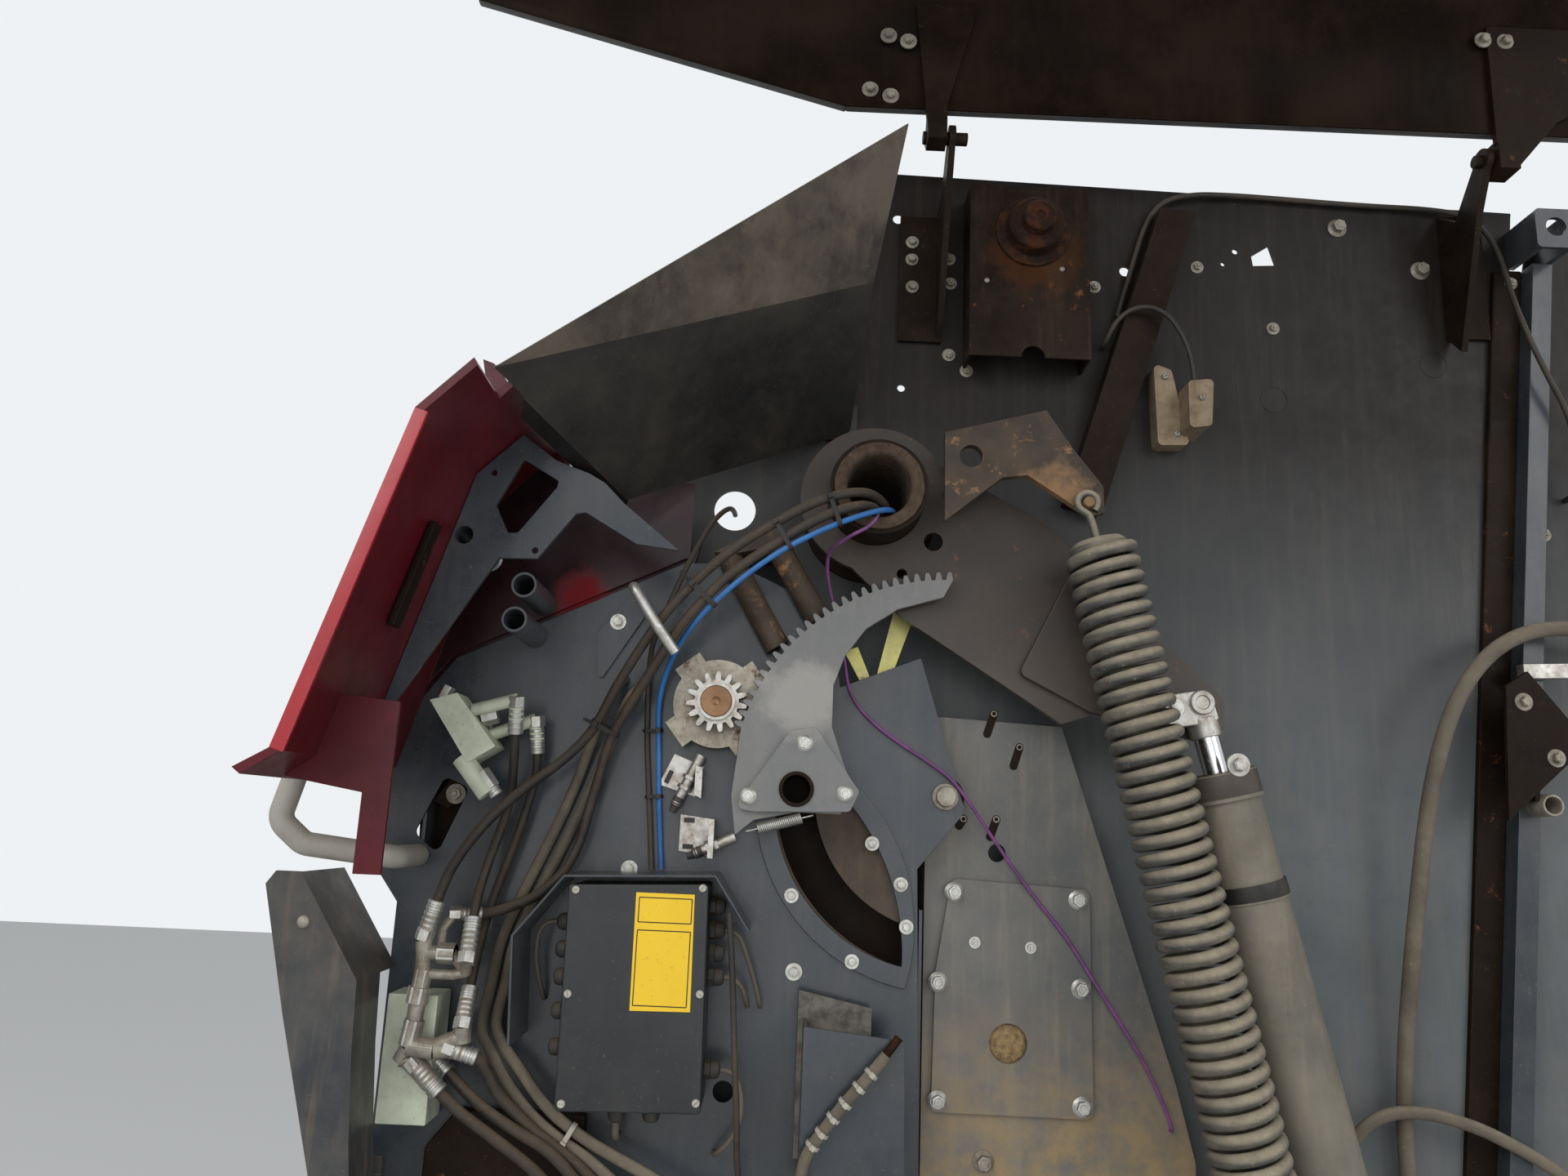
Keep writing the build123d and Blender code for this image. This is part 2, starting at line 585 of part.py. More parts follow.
# Columns are name, x of the fin, drops below the pin of the fin and of the foot's ends, side of the foot
for name, fin_x, fin_drop, low_drop, high_drop, side in [
    ("hinge_bracket_front", FRONT_FIN, 201, 232, 54, -1),
    ("hinge_bracket_rear", REAR_FIN, 225, 195, 20, 1),
]:
    foot_low, foot_high = HINGE_HEIGHT - low_drop, HINGE_HEIGHT - high_drop
    with BuildPart() as hinge_bracket:
        foot_start = fin_x if side > 0 else fin_x + FIN
        plate(
            [
                (foot_start, foot_low),
                (foot_start, foot_high),
                (foot_start + side * 56, foot_high),
                (foot_start + side * 56, foot_low),
            ],
            0,
            BRACKET_FOOT,
        )
        with BuildSketch(Plane.YZ.offset(fin_x)) as fin:
            with BuildLine():
                Polyline(
                    (-1, foot_low),
                    (-30, HINGE_HEIGHT - fin_drop),
                    (-HINGE_OUT + 14, HINGE_HEIGHT - 60),
                    (-HINGE_OUT - 16, HINGE_HEIGHT),
                    (-HINGE_OUT, HINGE_HEIGHT + 16),
                    (-HINGE_OUT + 16, HINGE_HEIGHT),
                    (-40, HINGE_HEIGHT - 48),
                    (-1, foot_high),
                    close=True,
                )
            make_face()
            with Locations((-HINGE_OUT, HINGE_HEIGHT)):
                Circle(HINGE_PIN_RADIUS + 0.3 + 8)
                Circle(HINGE_PIN_RADIUS + 0.3, mode=Mode.SUBTRACT)
        extrude(amount=FIN)
    hinge_bracket.part.label = name
    export_step(hinge_bracket.part, f"parts/{name}.step")

# Diagonal brace: a folded hat channel up the wall
with BuildPart() as diagonal_brace:
    pan([(104, 1308), (232, 1716), (280, 1713), (150, 1296)], 30, SHEET)
diagonal_brace.part.label = "diagonal_brace"
export_step(diagonal_brace.part, "parts/diagonal_brace.step")

# Pivot tube through the wall, lined with foam; the hoses come out of it
with BuildPart() as pivot_tube:
    discs([ARM_PIVOT], PIVOT_TUBE_RADIUS, -40, PIVOT_TUBE_OUT + 40)
    discs([ARM_PIVOT], PIVOT_TUBE_RADIUS - PIVOT_TUBE_SHEET, -40, PIVOT_TUBE_OUT + 40, Mode.SUBTRACT)
    discs([ARM_PIVOT], PIVOT_TUBE_RADIUS + 26, 0, 8)
    discs([ARM_PIVOT], PIVOT_TUBE_RADIUS - 1, 0, 8, Mode.SUBTRACT)
    discs([ARM_PIVOT], PIVOT_TUBE_RADIUS, 0, 8)
    discs([ARM_PIVOT], PIVOT_TUBE_RADIUS - PIVOT_TUBE_SHEET, 0, 8, Mode.SUBTRACT)
pivot_tube.part.label = "pivot_tube"
export_step(pivot_tube.part, "parts/pivot_tube.step")

with BuildPart() as pivot_lining:
    lining_radius = PIVOT_TUBE_RADIUS - PIVOT_TUBE_SHEET - 0.2
    discs([ARM_PIVOT], lining_radius, -30, LINING_OUT + 30)
    discs([ARM_PIVOT], LINING_BORE, -30, LINING_OUT + 30, Mode.SUBTRACT)
pivot_lining.part.label = "pivot_lining"
export_step(pivot_lining.part, "parts/pivot_lining.step")

# Tension arm: a disc about the pivot tube, drawn out into a broad plate
arm_outline = [
    (-163, 1197),
    (-102, 1140),
    (80, 1026),
    (112, 1036),
    (154, 1118),
    (150, 1180),
    (60, 1262),
    (-60, 1325),
]
with BuildPart() as tension_arm:
    plate(arm_outline, ARM_INNER, ARM_THICKNESS)
    discs([ARM_PIVOT], ARM_DISC_RADIUS, ARM_INNER, ARM_THICKNESS)
    discs([ARM_PIVOT], ARM_DISC_RADIUS - 12, ARM_INNER - 24, 24)
    discs([ARM_PIVOT], PIVOT_TUBE_RADIUS + ARM_CLEARANCE, ARM_INNER - 24, 60, Mode.SUBTRACT)
    discs([(-68, 1232)], 11, ARM_INNER - 24, 60, Mode.SUBTRACT)
    discs([(-104, 1192)], 6, ARM_INNER - 24, 60, Mode.SUBTRACT)
tension_arm.part.label = "tension_arm"
export_step(tension_arm.part, "parts/tension_arm.step")

lug_inner = ARM_INNER + ARM_THICKNESS
with BuildPart() as cylinder_lug:
    rounded_plate(
        [(30, 1080), (90, 1200), (176, 1140), (262, 1062), (262, 1028), (232, 1012), (110, 1040)],
        lug_inner,
        LUG_THICKNESS,
        8,
    )
cylinder_lug.part.label = "cylinder_lug"
export_step(cylinder_lug.part, "parts/cylinder_lug.step")

EAR_PIN_RADIUS = 6
EAR_PIN_RISE = 46
spring_line = Vector(SPRING_FOOT[0] - SPRING_TOP[0], SPRING_FOOT[1] - SPRING_TOP[1]).normalized()
ear_tip = (SPRING_TOP[0] - spring_line.X * EAR_PIN_RISE, SPRING_TOP[1] - spring_line.Y * EAR_PIN_RISE)

# Spring ear: an arched plate held off the arm by two bosses
ear_outline = [
    (-64, 1347),
    (52, 1379),
    (82, 1334),
    (ear_tip[0] + 21, ear_tip[1] + 24),
    (ear_tip[0] + 22, ear_tip[1] - 7),
    (ear_tip[0] + 5, ear_tip[1] - 12),
    (ear_tip[0] - 32, ear_tip[1] + 12),
    (30, 1300),
    (2, 1296),
    (-30, 1270),
    (-63, 1242),
]
with BuildPart() as spring_ear:
    plate(ear_outline, EAR_OUT - EAR_THICKNESS, EAR_THICKNESS)
    discs([(-34, 1320)], 13, EAR_OUT - EAR_THICKNESS, EAR_THICKNESS, Mode.SUBTRACT)
    discs([ear_tip], EAR_PIN_RADIUS, EAR_OUT, SPRING_OUT + 8 - EAR_OUT)
    discs([(-48, 1288)], 10, lug_inner, EAR_OUT - EAR_THICKNESS - lug_inner)
    discs([(-26, 1296)], 10, lug_inner, EAR_OUT - EAR_THICKNESS - lug_inner)
spring_ear.part.label = "spring_ear"
export_step(spring_ear.part, "parts/spring_ear.step")

# Cylinder from the lower anchor to the arm's lug, drawn in
lug_to_anchor = Vector(CYLINDER_ANCHOR[0] - LUG_PIN[0], CYLINDER_ANCHOR[1] - LUG_PIN[1])
stroke_direction = lug_to_anchor.normalized()


def along_cylinder(distance):
    """The point on the cylinder's axis at a distance from the lug's pin."""
    return at(
        LUG_PIN[0] + stroke_direction.X * distance,
        LUG_PIN[1] + stroke_direction.Y * distance,
        CYLINDER_OUT,
    )


# Oil pipe beside the barrel: distances from the lug's pin, and how far it lies to the rear and inwards
PIPE_RADIUS = 5
PIPE_START, PIPE_END = 96, 640
PIPE_REARWARDS, PIPE_INWARDS = 40, 26
CLAMP_PLACE = 205


def beside_barrel(distance):
    """The point on the pipe's axis at a distance from the lug's pin."""
    middle = along_cylinder(distance)
    return (
        middle[0] - stroke_direction.Y * PIPE_REARWARDS,
        middle[1] + PIPE_INWARDS,
        middle[2] + stroke_direction.X * PIPE_REARWARDS,
    )


barrel_end = lug_to_anchor.length - BARREL_FOOT
with BuildPart() as cylinder_barrel:
    rod(along_cylinder(BARREL_START + 30), along_cylinder(barrel_end), BARREL_RADIUS)
    rod(along_cylinder(BARREL_START), along_cylinder(BARREL_START + 30), BARREL_RADIUS + 4)
    rod(along_cylinder(barrel_end), along_cylinder(lug_to_anchor.length), EYE_THICKNESS / 2 - 1)
    discs([CYLINDER_ANCHOR], 26, CYLINDER_OUT - EYE_THICKNESS / 2, EYE_THICKNESS)
    discs([CYLINDER_ANCHOR], PIN_RADIUS + 0.3, CYLINDER_OUT - EYE_THICKNESS / 2, EYE_THICKNESS, Mode.SUBTRACT)
    rod(beside_barrel(PIPE_START), beside_barrel(PIPE_END), PIPE_RADIUS)
    # Saddles that hold the pipe to the barrel
    for distance in (PIPE_START + 8, CLAMP_PLACE, PIPE_END - 8):
        rod(along_cylinder(distance), beside_barrel(distance), PIPE_RADIUS)
    rod(along_cylinder(CLAMP_PLACE - 9), along_cylinder(CLAMP_PLACE + 9), BARREL_RADIUS + 2)
    rod(
        along_cylinder(BARREL_START),
        along_cylinder(BARREL_START + ROD_INSIDE + 20),
        ROD_RADIUS + ROD_CLEARANCE,
        Mode.SUBTRACT,
    )
cylinder_barrel.part.label = "cylinder_barrel"
export_step(cylinder_barrel.part, "parts/cylinder_barrel.step")

with BuildPart() as cylinder_rod:
    rod(along_cylinder(20), along_cylinder(BARREL_START + ROD_INSIDE), ROD_RADIUS)
cylinder_rod.part.label = "cylinder_rod"
export_step(cylinder_rod.part, "parts/cylinder_rod.step")

eye_inner = CYLINDER_OUT - EYE_THICKNESS / 2
with BuildPart() as rod_eye:
    discs([LUG_PIN], 26, eye_inner, EYE_THICKNESS)
    rod(along_cylinder(0), along_cylinder(40), 17)
    rod(along_cylinder(20), along_cylinder(40), ROD_RADIUS, Mode.SUBTRACT)
    discs([LUG_PIN], PIN_RADIUS, lug_inner + LUG_THICKNESS + 1.5, EYE_THICKNESS + 8)
rod_eye.part.label = "rod_eye"
export_step(rod_eye.part, "parts/rod_eye.step")

spring_axis = Vector(SPRING_FOOT[0] - SPRING_TOP[0], SPRING_FOOT[1] - SPRING_TOP[1]).normalized()
POST_RADIUS = 11
HOOK_SEAT = 0.3
spring_post = (SPRING_FOOT[0] + spring_axis.X * 55, SPRING_FOOT[1] + spring_axis.Y * 55)

# Lower anchor: a bracket on the wall with a pin for the cylinder and a hook plate for the spring
with BuildPart() as lower_anchor:
    rounded_plate([(250, 240), (250, 420), (470, 420), (470, 240)], 0, 10, 12)
    discs([CYLINDER_ANCHOR], 22, 10, eye_inner - 10 - 0.5)
    discs([CYLINDER_ANCHOR], PIN_RADIUS, eye_inner - 1, EYE_THICKNESS + 9)
    discs([spring_post], POST_RADIUS, 10, SPRING_OUT - 2)
lower_anchor.part.label = "lower_anchor"
export_step(lower_anchor.part, "parts/lower_anchor.step")

# Tension spring, close coiled, with a hook at each end
spring_high = at(SPRING_TOP[0], SPRING_TOP[1], SPRING_OUT)
spring_low = at(SPRING_FOOT[0], SPRING_FOOT[1], SPRING_OUT)
top_hook = EAR_PIN_RISE - EAR_PIN_RADIUS - HOOK_SEAT
foot_hook = 55 - POST_RADIUS - HOOK_SEAT
with BuildPart() as tension_spring:
    rod(spring_high, spring_low, SPRING_RADIUS)
    rod(spring_high, spring_low, SPRING_RADIUS - SPRING_WIRE, Mode.SUBTRACT)
    rod(
        spring_high,
        at(SPRING_TOP[0] + spring_axis.X * 14, SPRING_TOP[1] + spring_axis.Y * 14, SPRING_OUT),
        SPRING_RADIUS - 2,
    )
    rod(
        spring_low,
        at(SPRING_FOOT[0] - spring_axis.X * 14, SPRING_FOOT[1] - spring_axis.Y * 14, SPRING_OUT),
        SPRING_RADIUS - 2,
    )
    rod(
        at(SPRING_TOP[0] - spring_axis.X * top_hook, SPRING_TOP[1] - spring_axis.Y * top_hook, SPRING_OUT),
        at(SPRING_TOP[0] + spring_axis.X * 2, SPRING_TOP[1] + spring_axis.Y * 2, SPRING_OUT),
        6,
    )
    rod(
        at(SPRING_FOOT[0] + spring_axis.X * foot_hook, SPRING_FOOT[1] + spring_axis.Y * foot_hook, SPRING_OUT),
        at(SPRING_FOOT[0] - spring_axis.X * 2, SPRING_FOOT[1] - spring_axis.Y * 2, SPRING_OUT),
        6,
    )
tension_spring.part.label = "tension_spring"
export_step(tension_spring.part, "parts/tension_spring.step")

# Sector gear: a toothed rim swung about the sensing pivot
TOOTH_TOP = 0.95
TOOTH_ROOT = 1.3
TOOTH_SLACK = 0.12


def tooth(centre, pitch_radius, angle, count):
    """The four corners and two flank points of one tooth, its middle at angle."""
    step = 360 / count
    foot = step * 0.34 - degrees(TOOTH_SLACK / pitch_radius)
    flank = step * 0.25 - degrees(TOOTH_SLACK / pitch_radius)
    tip = step * 0.135
    root_radius = pitch_radius - TOOTH_ROOT * GEAR_MODULE
    tip_radius = pitch_radius + TOOTH_TOP * GEAR_MODULE
    return [
        polar(centre, root_radius, angle + foot),
        polar(centre, pitch_radius, angle + flank),
        polar(centre, tip_radius, angle + tip),
        polar(centre, tip_radius, angle - tip),
        polar(centre, pitch_radius, angle - flank),
        polar(centre, root_radius, angle - foot),
    ]


sector_step = 360 / SECTOR_TEETH
sector_count = int((SECTOR_END - SECTOR_START) / sector_step)
sector_points = []
for index in range(sector_count):
    middle = MESH_ANGLE + sector_step * (index - int((MESH_ANGLE - SECTOR_START) / sector_step))
    sector_points.append(middle)
rim_points = [corner for middle in reversed(sector_points)
              for corner in tooth(SENSOR_PIVOT, sector_pitch, middle, SECTOR_TEETH)]
web_points = [
    (-58, 1162),
    (-110, 1146),
    (-145, 1122),
    (-168, 1090),
    (-180, 1056),
    (-180, 1010),
    (-166, 970),
    (-150, 935),
    (-168, 915),
    (-215, 915),
    (-262, 905),
    (-282, 888),
    (-288, 930),
]
with BuildPart() as sector_gear:
    plate(rim_points + web_points, SECTOR_INNER, SECTOR_THICKNESS)
    discs([polar(SENSOR_PIVOT, SENSING_TUBE_REACH, 180)], SENSING_TUBE_RADIUS, SECTOR_INNER, SECTOR_THICKNESS,
          Mode.SUBTRACT)
sector_gear.part.label = "sector_gear"
export_step(sector_gear.part, "parts/sector_gear.step")

# Boss plate and the tube that reaches through the slot to the inner arm
TUBE_CENTRE = polar(SENSOR_PIVOT, SENSING_TUBE_REACH, 180)
BOSS_INNER = SECTOR_INNER + SECTOR_THICKNESS
BOSS_THICKNESS = 8
with BuildPart() as sensing_boss:
    rounded_plate(
        [(-284, 917), (-226, 1003), (-198, 1008), (-148, 940), (-158, 918), (-262, 914)],
        BOSS_INNER,
        BOSS_THICKNESS,
        6,
    )
    discs([TUBE_CENTRE], SENSING_TUBE_RADIUS, BOSS_INNER, BOSS_THICKNESS, Mode.SUBTRACT)
sensing_boss.part.label = "sensing_boss"
export_step(sensing_boss.part, "parts/sensing_boss.step")

with BuildPart() as sensing_arm:
    discs([TUBE_CENTRE], SENSING_TUBE_RADIUS, INNER_ARM_OUT - INNER_ARM_THICKNESS,
          BOSS_INNER + BOSS_THICKNESS + 3 - INNER_ARM_OUT + INNER_ARM_THICKNESS)
    discs([SENSOR_PIVOT, TUBE_CENTRE], 24, INNER_ARM_OUT - INNER_ARM_THICKNESS, INNER_ARM_THICKNESS)
    plate(
        [
            (TUBE_CENTRE[0], TUBE_CENTRE[1] - 18),
            (SENSOR_PIVOT[0], SENSOR_PIVOT[1] - 18),
            (SENSOR_PIVOT[0], SENSOR_PIVOT[1] + 18),
            (TUBE_CENTRE[0], TUBE_CENTRE[1] + 18),
        ],
        INNER_ARM_OUT - INNER_ARM_THICKNESS,
        INNER_ARM_THICKNESS,
    )
    discs([TUBE_CENTRE], SENSING_TUBE_RADIUS - 4, INNER_ARM_OUT, 90, Mode.SUBTRACT)
    discs([SENSOR_PIVOT], 10.3, 20, 60, Mode.SUBTRACT)
sensing_arm.part.label = "sensing_arm"
export_step(sensing_arm.part, "parts/sensing_arm.step")

with BuildPart() as sensing_pivot:
    discs([SENSOR_PIVOT], 10, PANEL_OUT + 2, FRONT_OUT - PANEL_OUT)
    discs([SENSOR_PIVOT], 15, FRONT_OUT, 4)
    discs([SENSOR_PIVOT], 11, FRONT_OUT + 4, 9)
sensing_pivot.part.label = "sensing_pivot"
export_step(sensing_pivot.part, "parts/sensing_pivot.step")

# Pinion in mesh with the sector, on one shaft with the pulse disc
pinion_offset = MESH_ANGLE - 180 + 180 / PINION_TEETH
with BuildPart() as pinion_gear:
    pinion_points = [
        corner
        for index in reversed(range(PINION_TEETH))
        for corner in tooth(
            PINION_CENTRE, pinion_pitch, pinion_offset + index * 360 / PINION_TEETH, PINION_TEETH
        )
    ]
    plate(pinion_points, PINION_INNER, PINION_WIDTH)
    discs([PINION_CENTRE], 21, PINION_INNER + PINION_WIDTH, 6)
    discs([PINION_CENTRE], 10, FRONT_OUT - 2, PINION_INNER - FRONT_OUT + 2)
pinion_gear.part.label = "pinion_gear"
export_step(pinion_gear.part, "parts/pinion_gear.step")

DISC_INNER = 93
DISC_THICKNESS = 4
with BuildPart() as pulse_disc:
    discs([PINION_CENTRE], 50, DISC_INNER, DISC_THICKNESS)
    with BuildSketch(Plane.XZ.offset(DISC_INNER)) as lobes:
        with Locations(PINION_CENTRE):
            with PolarLocations(46, 4, start_angle=38):
                Rectangle(28, 34)
    extrude(lobes.sketch, amount=DISC_THICKNESS)
    discs([PINION_CENTRE], 10, DISC_INNER, DISC_THICKNESS, Mode.SUBTRACT)
pulse_disc.part.label = "pulse_disc"
export_step(pulse_disc.part, "parts/pulse_disc.step")

with BuildPart() as pinion_bearing:
    discs([PINION_CENTRE], 30, FRONT_OUT, 6)
    discs([PINION_CENTRE], 22, FRONT_OUT + 6, 10)
    discs([PINION_CENTRE], 10.3, FRONT_OUT, 16, Mode.SUBTRACT)
pinion_bearing.part.label = "pinion_bearing"
export_step(pinion_bearing.part, "parts/pinion_bearing.step")

# Speed sensors on slotted angle brackets
PROBE_RADIUS = 6
with BuildPart() as sensor_brackets:
    plate([(-372, 940), (-356, 975), (-322, 962), (-330, 928)], FRONT_OUT, 4)
    plate([(-330, 930), (-322, 926), (-322, 960), (-330, 962)], FRONT_OUT + 4, 20)
    plate([(-345, 868), (-345, 908), (-305, 904), (-305, 862)], FRONT_OUT, 4)
    plate([(-311, 862), (-305, 862), (-305, 904), (-311, 904)], FRONT_OUT + 4, 32)
    rod(at(-325, 974, 82), at(-351, 918, 82), PROBE_RADIUS)
    rod(at(-282, 886, 90), at(-326, 866, 90), PROBE_RADIUS)
sensor_brackets.part.label = "sensor_brackets"
export_step(sensor_brackets.part, "parts/sensor_brackets.step")

# Zinc link pair in the gap above the nose
with BuildPart() as zinc_links:
    plate([(-134, 1046), (-120, 1046), (-84, 1150), (-108, 1156)], 48, 4)
    plate([(-136, 1052), (-122, 1044), (-150, 1110), (-166, 1104)], 52, 4)
    discs([(-128, 1054)], 5, 0, 60)
zinc_links.part.label = "zinc_links"
export_step(zinc_links.part, "parts/zinc_links.step")

# Twin valve: two brown cylinders on one block
with BuildPart() as twin_valve:
    for start, end in [((-306, 1206), (-244, 1100)), ((-252, 1224), (-198, 1134))]:
        rod(at(start[0], start[1], 85), at(end[0], end[1], 85), 14.5)
    plate([(-322, 1207), (-256, 1248), (-236, 1222), (-296, 1207)], 0, 99)
twin_valve.part.label = "twin_valve"
export_step(twin_valve.part, "parts/twin_valve.step")

# Electric box: body, lid and glands, under a folded canopy
box_outline = [(-448, 610), (-451, 831), (-305, 837), (-301, 613)]
with BuildPart() as electric_box:
    rounded_plate(box_outline, BOX_BACK, BOX_FRONT - BOX_BACK, 4)
    discs([(-435, 640), (-435, 800), (-320, 640), (-320, 800)], 8, FRONT_OUT, BOX_BACK - FRONT_OUT)
electric_box.part.label = "electric_box"
export_step(electric_box.part, "parts/electric_box.step")

with BuildPart() as electric_box_lid:
    rounded_plate(box_outline, BOX_FRONT, BOX_LID, 4)
electric_box_lid.part.label = "electric_box_lid"
export_step(electric_box_lid.part, "parts/electric_box_lid.step")

# Glands: columns are x, z of the box wall, direction in x and z
GLAND_RADIUS = 8
GLAND_LENGTH = 17
gland_out = 110
with BuildPart() as box_glands:
    for x, z, dx, dz in [
        (-449.5, 790, -1, 0),
        (-449, 762, -1, 0),
        (-449, 734, -1, 0),
        (-448.5, 700, -1, 0),
        (-448.5, 664, -1, 0),
        (-304.5, 812, 1, 0),
        (-304, 788, 1, 0),
        (-303.5, 764, 1, 0),
        (-303, 740, 1, 0),
        (-302, 648, 1, 0),
        (-390, 611, 0, -1),
        (-354, 611.5, 0, -1),
    ]:
        rod(at(x, z, gland_out), at(x + dx * GLAND_LENGTH, z + dz * GLAND_LENGTH, gland_out), GLAND_RADIUS)
    plate(box_outline, BOX_BACK, BOX_FRONT - BOX_BACK, Mode.SUBTRACT)
box_glands.part.label = "box_glands"
export_step(box_glands.part, "parts/box_glands.step")

CANOPY_WIDTH = 86
canopy_path = [(-497, 670), (-503, 777), (-455, 838), (-299, 844), (-262, 790)]
with BuildPart() as box_canopy:
    folded_sheet(canopy_path, Plane.XZ.offset(FRONT_OUT), CANOPY_WIDTH, DOOR_SHEET)
box_canopy.part.label = "box_canopy"
export_step(box_canopy.part, "parts/box_canopy.step")

# Hydraulic valve block and manifold; each hose's sleeve is in line with the hose's end
routes = {name: route for name, (radius, route) in HYDRAULIC_HOSES.items()}
with BuildPart() as valve_block:
    plate([(-620, 1018), (-591, 1027), (-544, 971), (-573, 952)], 96, 44)
    discs([(-580, 992)], 14, FRONT_OUT, 26)
    rod(at(-575, 1010, 126), ferrule(routes["valve_hose_a"][::-1], 24, 8), 7)
    rod(at(-566, 982, 107), ferrule(routes["valve_hose_b"][::-1], 24, 8), 7)
    rod(at(-582, 958, 128), at(-550, 920, 128), 11)
valve_block.part.label = "valve_block"
export_step(valve_block.part, "parts/valve_block.step")

MANIFOLD_INNER = 76
MANIFOLD_DEPTH = 50
manifold_outline = [(-634, 585), (-634, 712), (-582, 712), (-582, 585)]
with BuildPart() as manifold:
    plate(manifold_outline, MANIFOLD_INNER, MANIFOLD_DEPTH)
    discs([(-608, 690), (-608, 607)], 16, FRONT_OUT, MANIFOLD_INNER - FRONT_OUT)
manifold.part.label = "manifold"
export_step(manifold.part, "parts/manifold.step")

STACK_OUT = 142
with BuildPart() as manifold_fittings:
    # Upright stack in front of the block: start x, z, end x, z, radius
    for x0, z0, x1, z1, radius in [
        (-597, 776, -596, 737, 8),
        (-595, 740, -598, 712, 9),
        (-597, 722, -599, 706, 11),
        (-598, 708, -600, 684, 8.5),
        (-599, 690, -603, 665, 10),
        (-596, 756, -566, 756, 7.5),
        (-580, 756, -564, 756, 10),
        (-603, 665, -576, 662, 10),
        (-595, 735, -562, 735, 5),
    ]:
        rod(at(x0, z0, STACK_OUT), at(x1, z1, STACK_OUT), radius)
    discs([(-603, 665)], 9, MANIFOLD_INNER + MANIFOLD_DEPTH, STACK_OUT - MANIFOLD_INNER - MANIFOLD_DEPTH)
    rod(ferrule(routes["pressure_hose"], 28, 8.5), at(-596, 752, STACK_OUT), 8)
    rod(ferrule(routes["valve_hose_a"], 30, 8.5), at(-552, 738, STACK_OUT), 6)
    rod(at(-552, 740, STACK_OUT), at(-568, 756, STACK_OUT), 6)
    rod(at(-552, 738, STACK_OUT), at(-566, 735, STACK_OUT), 5)
    rod(ferrule(routes["return_hose"], 14, 7), at(-583, 778, 130), 5)
    rod(at(-583, 779, 129), at(-580, 757, STACK_OUT - 2), 5)
    rod(ferrule(routes["valve_hose_b"], 26, 8.5), at(-549, 670, 139), 9)
    rod(at(-552, 675, 140), at(-578, 664, STACK_OUT), 8)
    rod(ferrule(routes["tee_hose"][::-1], 16, 8.5), at(-576, 662, STACK_OUT), 9)
    rod(ferrule(routes["elbow_hose_a"][::-1], 30, 10), at(-612, 650, 138), 7)
    rod(at(-612, 650, 138), at(-604, 664, STACK_OUT), 7)
    ferrule(routes["elbow_hose_b"][::-1], 24, 9)
    plate(manifold_outline, MANIFOLD_INNER, MANIFOLD_DEPTH, Mode.SUBTRACT)
manifold_fittings.part.label = "manifold_fittings"
export_step(manifold_fittings.part, "parts/manifold_fittings.step")

# Hoses, cables and the purple cord, each whole along its route
with BuildPart() as hydraulic_hoses:
    for name, (radius, route) in HYDRAULIC_HOSES.items():
        hose(name, route, radius)
hydraulic_hoses.part.label = "hydraulic_hoses"
export_step(hydraulic_hoses.part, "parts/hydraulic_hoses.step")

with BuildPart() as rear_hoses:
    for name, (radius, route) in REAR_HOSES.items():
        hose(name, route, radius)
rear_hoses.part.label = "rear_hoses"
export_step(rear_hoses.part, "parts/rear_hoses.step")

with BuildPart() as cables:
    for name, (radius, route) in CABLES.items():
        hose(name, route, radius)
cables.part.label = "cables"
export_step(cables.part, "parts/cables.step")

with BuildPart() as purple_cord:
    hose("purple_cord", PURPLE_CORD, PURPLE_CORD_RADIUS)
purple_cord.part.label = "purple_cord"
export_step(purple_cord.part, "parts/purple_cord.step")

# Front cover box, handrail and the red front hood
COVER_INNER = 196
COVER_HIGH_SIDE = 84
COVER_LOW_SIDE = 132
cover_fold = [(-711, 835), (-643, 734), (-640, 666), (-633, 587), (-629, 557), (-629, 400)]
cover_left = [(-629, 160), (-668, 160), (-668, 556), (-712, 701), (-745, 822), (-736, 835)]
with BuildPart() as front_cover:
    plate(cover_fold + cover_left, COVER_INNER, SHEET)
    # Side folded back along the right edge, deeper above than beside the manifold
    high_side = [(-711, 835), (-643, 734), (-646.3, 731.8), (-714.3, 832.8)]
    plate(high_side, COVER_HIGH_SIDE, COVER_INNER - COVER_HIGH_SIDE)
    side_back = [(x - SHEET, z) for x, z in reversed(cover_fold[1:])]
    plate(cover_fold[1:] + side_back, COVER_LOW_SIDE, COVER_INNER - COVER_LOW_SIDE)
    plate([(-668, 160), (-668, 556), (-664, 556), (-664, 160)], FRONT_OUT, 126)
    plate([(-668, 200), (-668, 540), (-638, 540), (-638, 200)], FRONT_OUT, SHEET)
front_cover.part.label = "front_cover"
export_step(front_cover.part, "parts/front_cover.step")

RAIL_RADIUS = 12
rail_route = [
    at(-690, 1100, 196),
    at(-712, 1000, 200),
    at(-740, 885, 200),
    at(-716, 862, 190),
    at(-636, 851, 150),
    at(-636, 851, FRONT_OUT + 0.2),
]
with BuildPart() as handrail:
    with BuildLine() as rail_line:
        FilletPolyline(*rail_route, radius=18)
    with BuildSketch(Plane(origin=rail_line.line @ 0, z_dir=rail_line.line % 0)) as rail_section:
        Circle(RAIL_RADIUS)
    sweep(path=rail_line.line)
handrail.part.label = "handrail"
export_step(handrail.part, "parts/handrail.step")

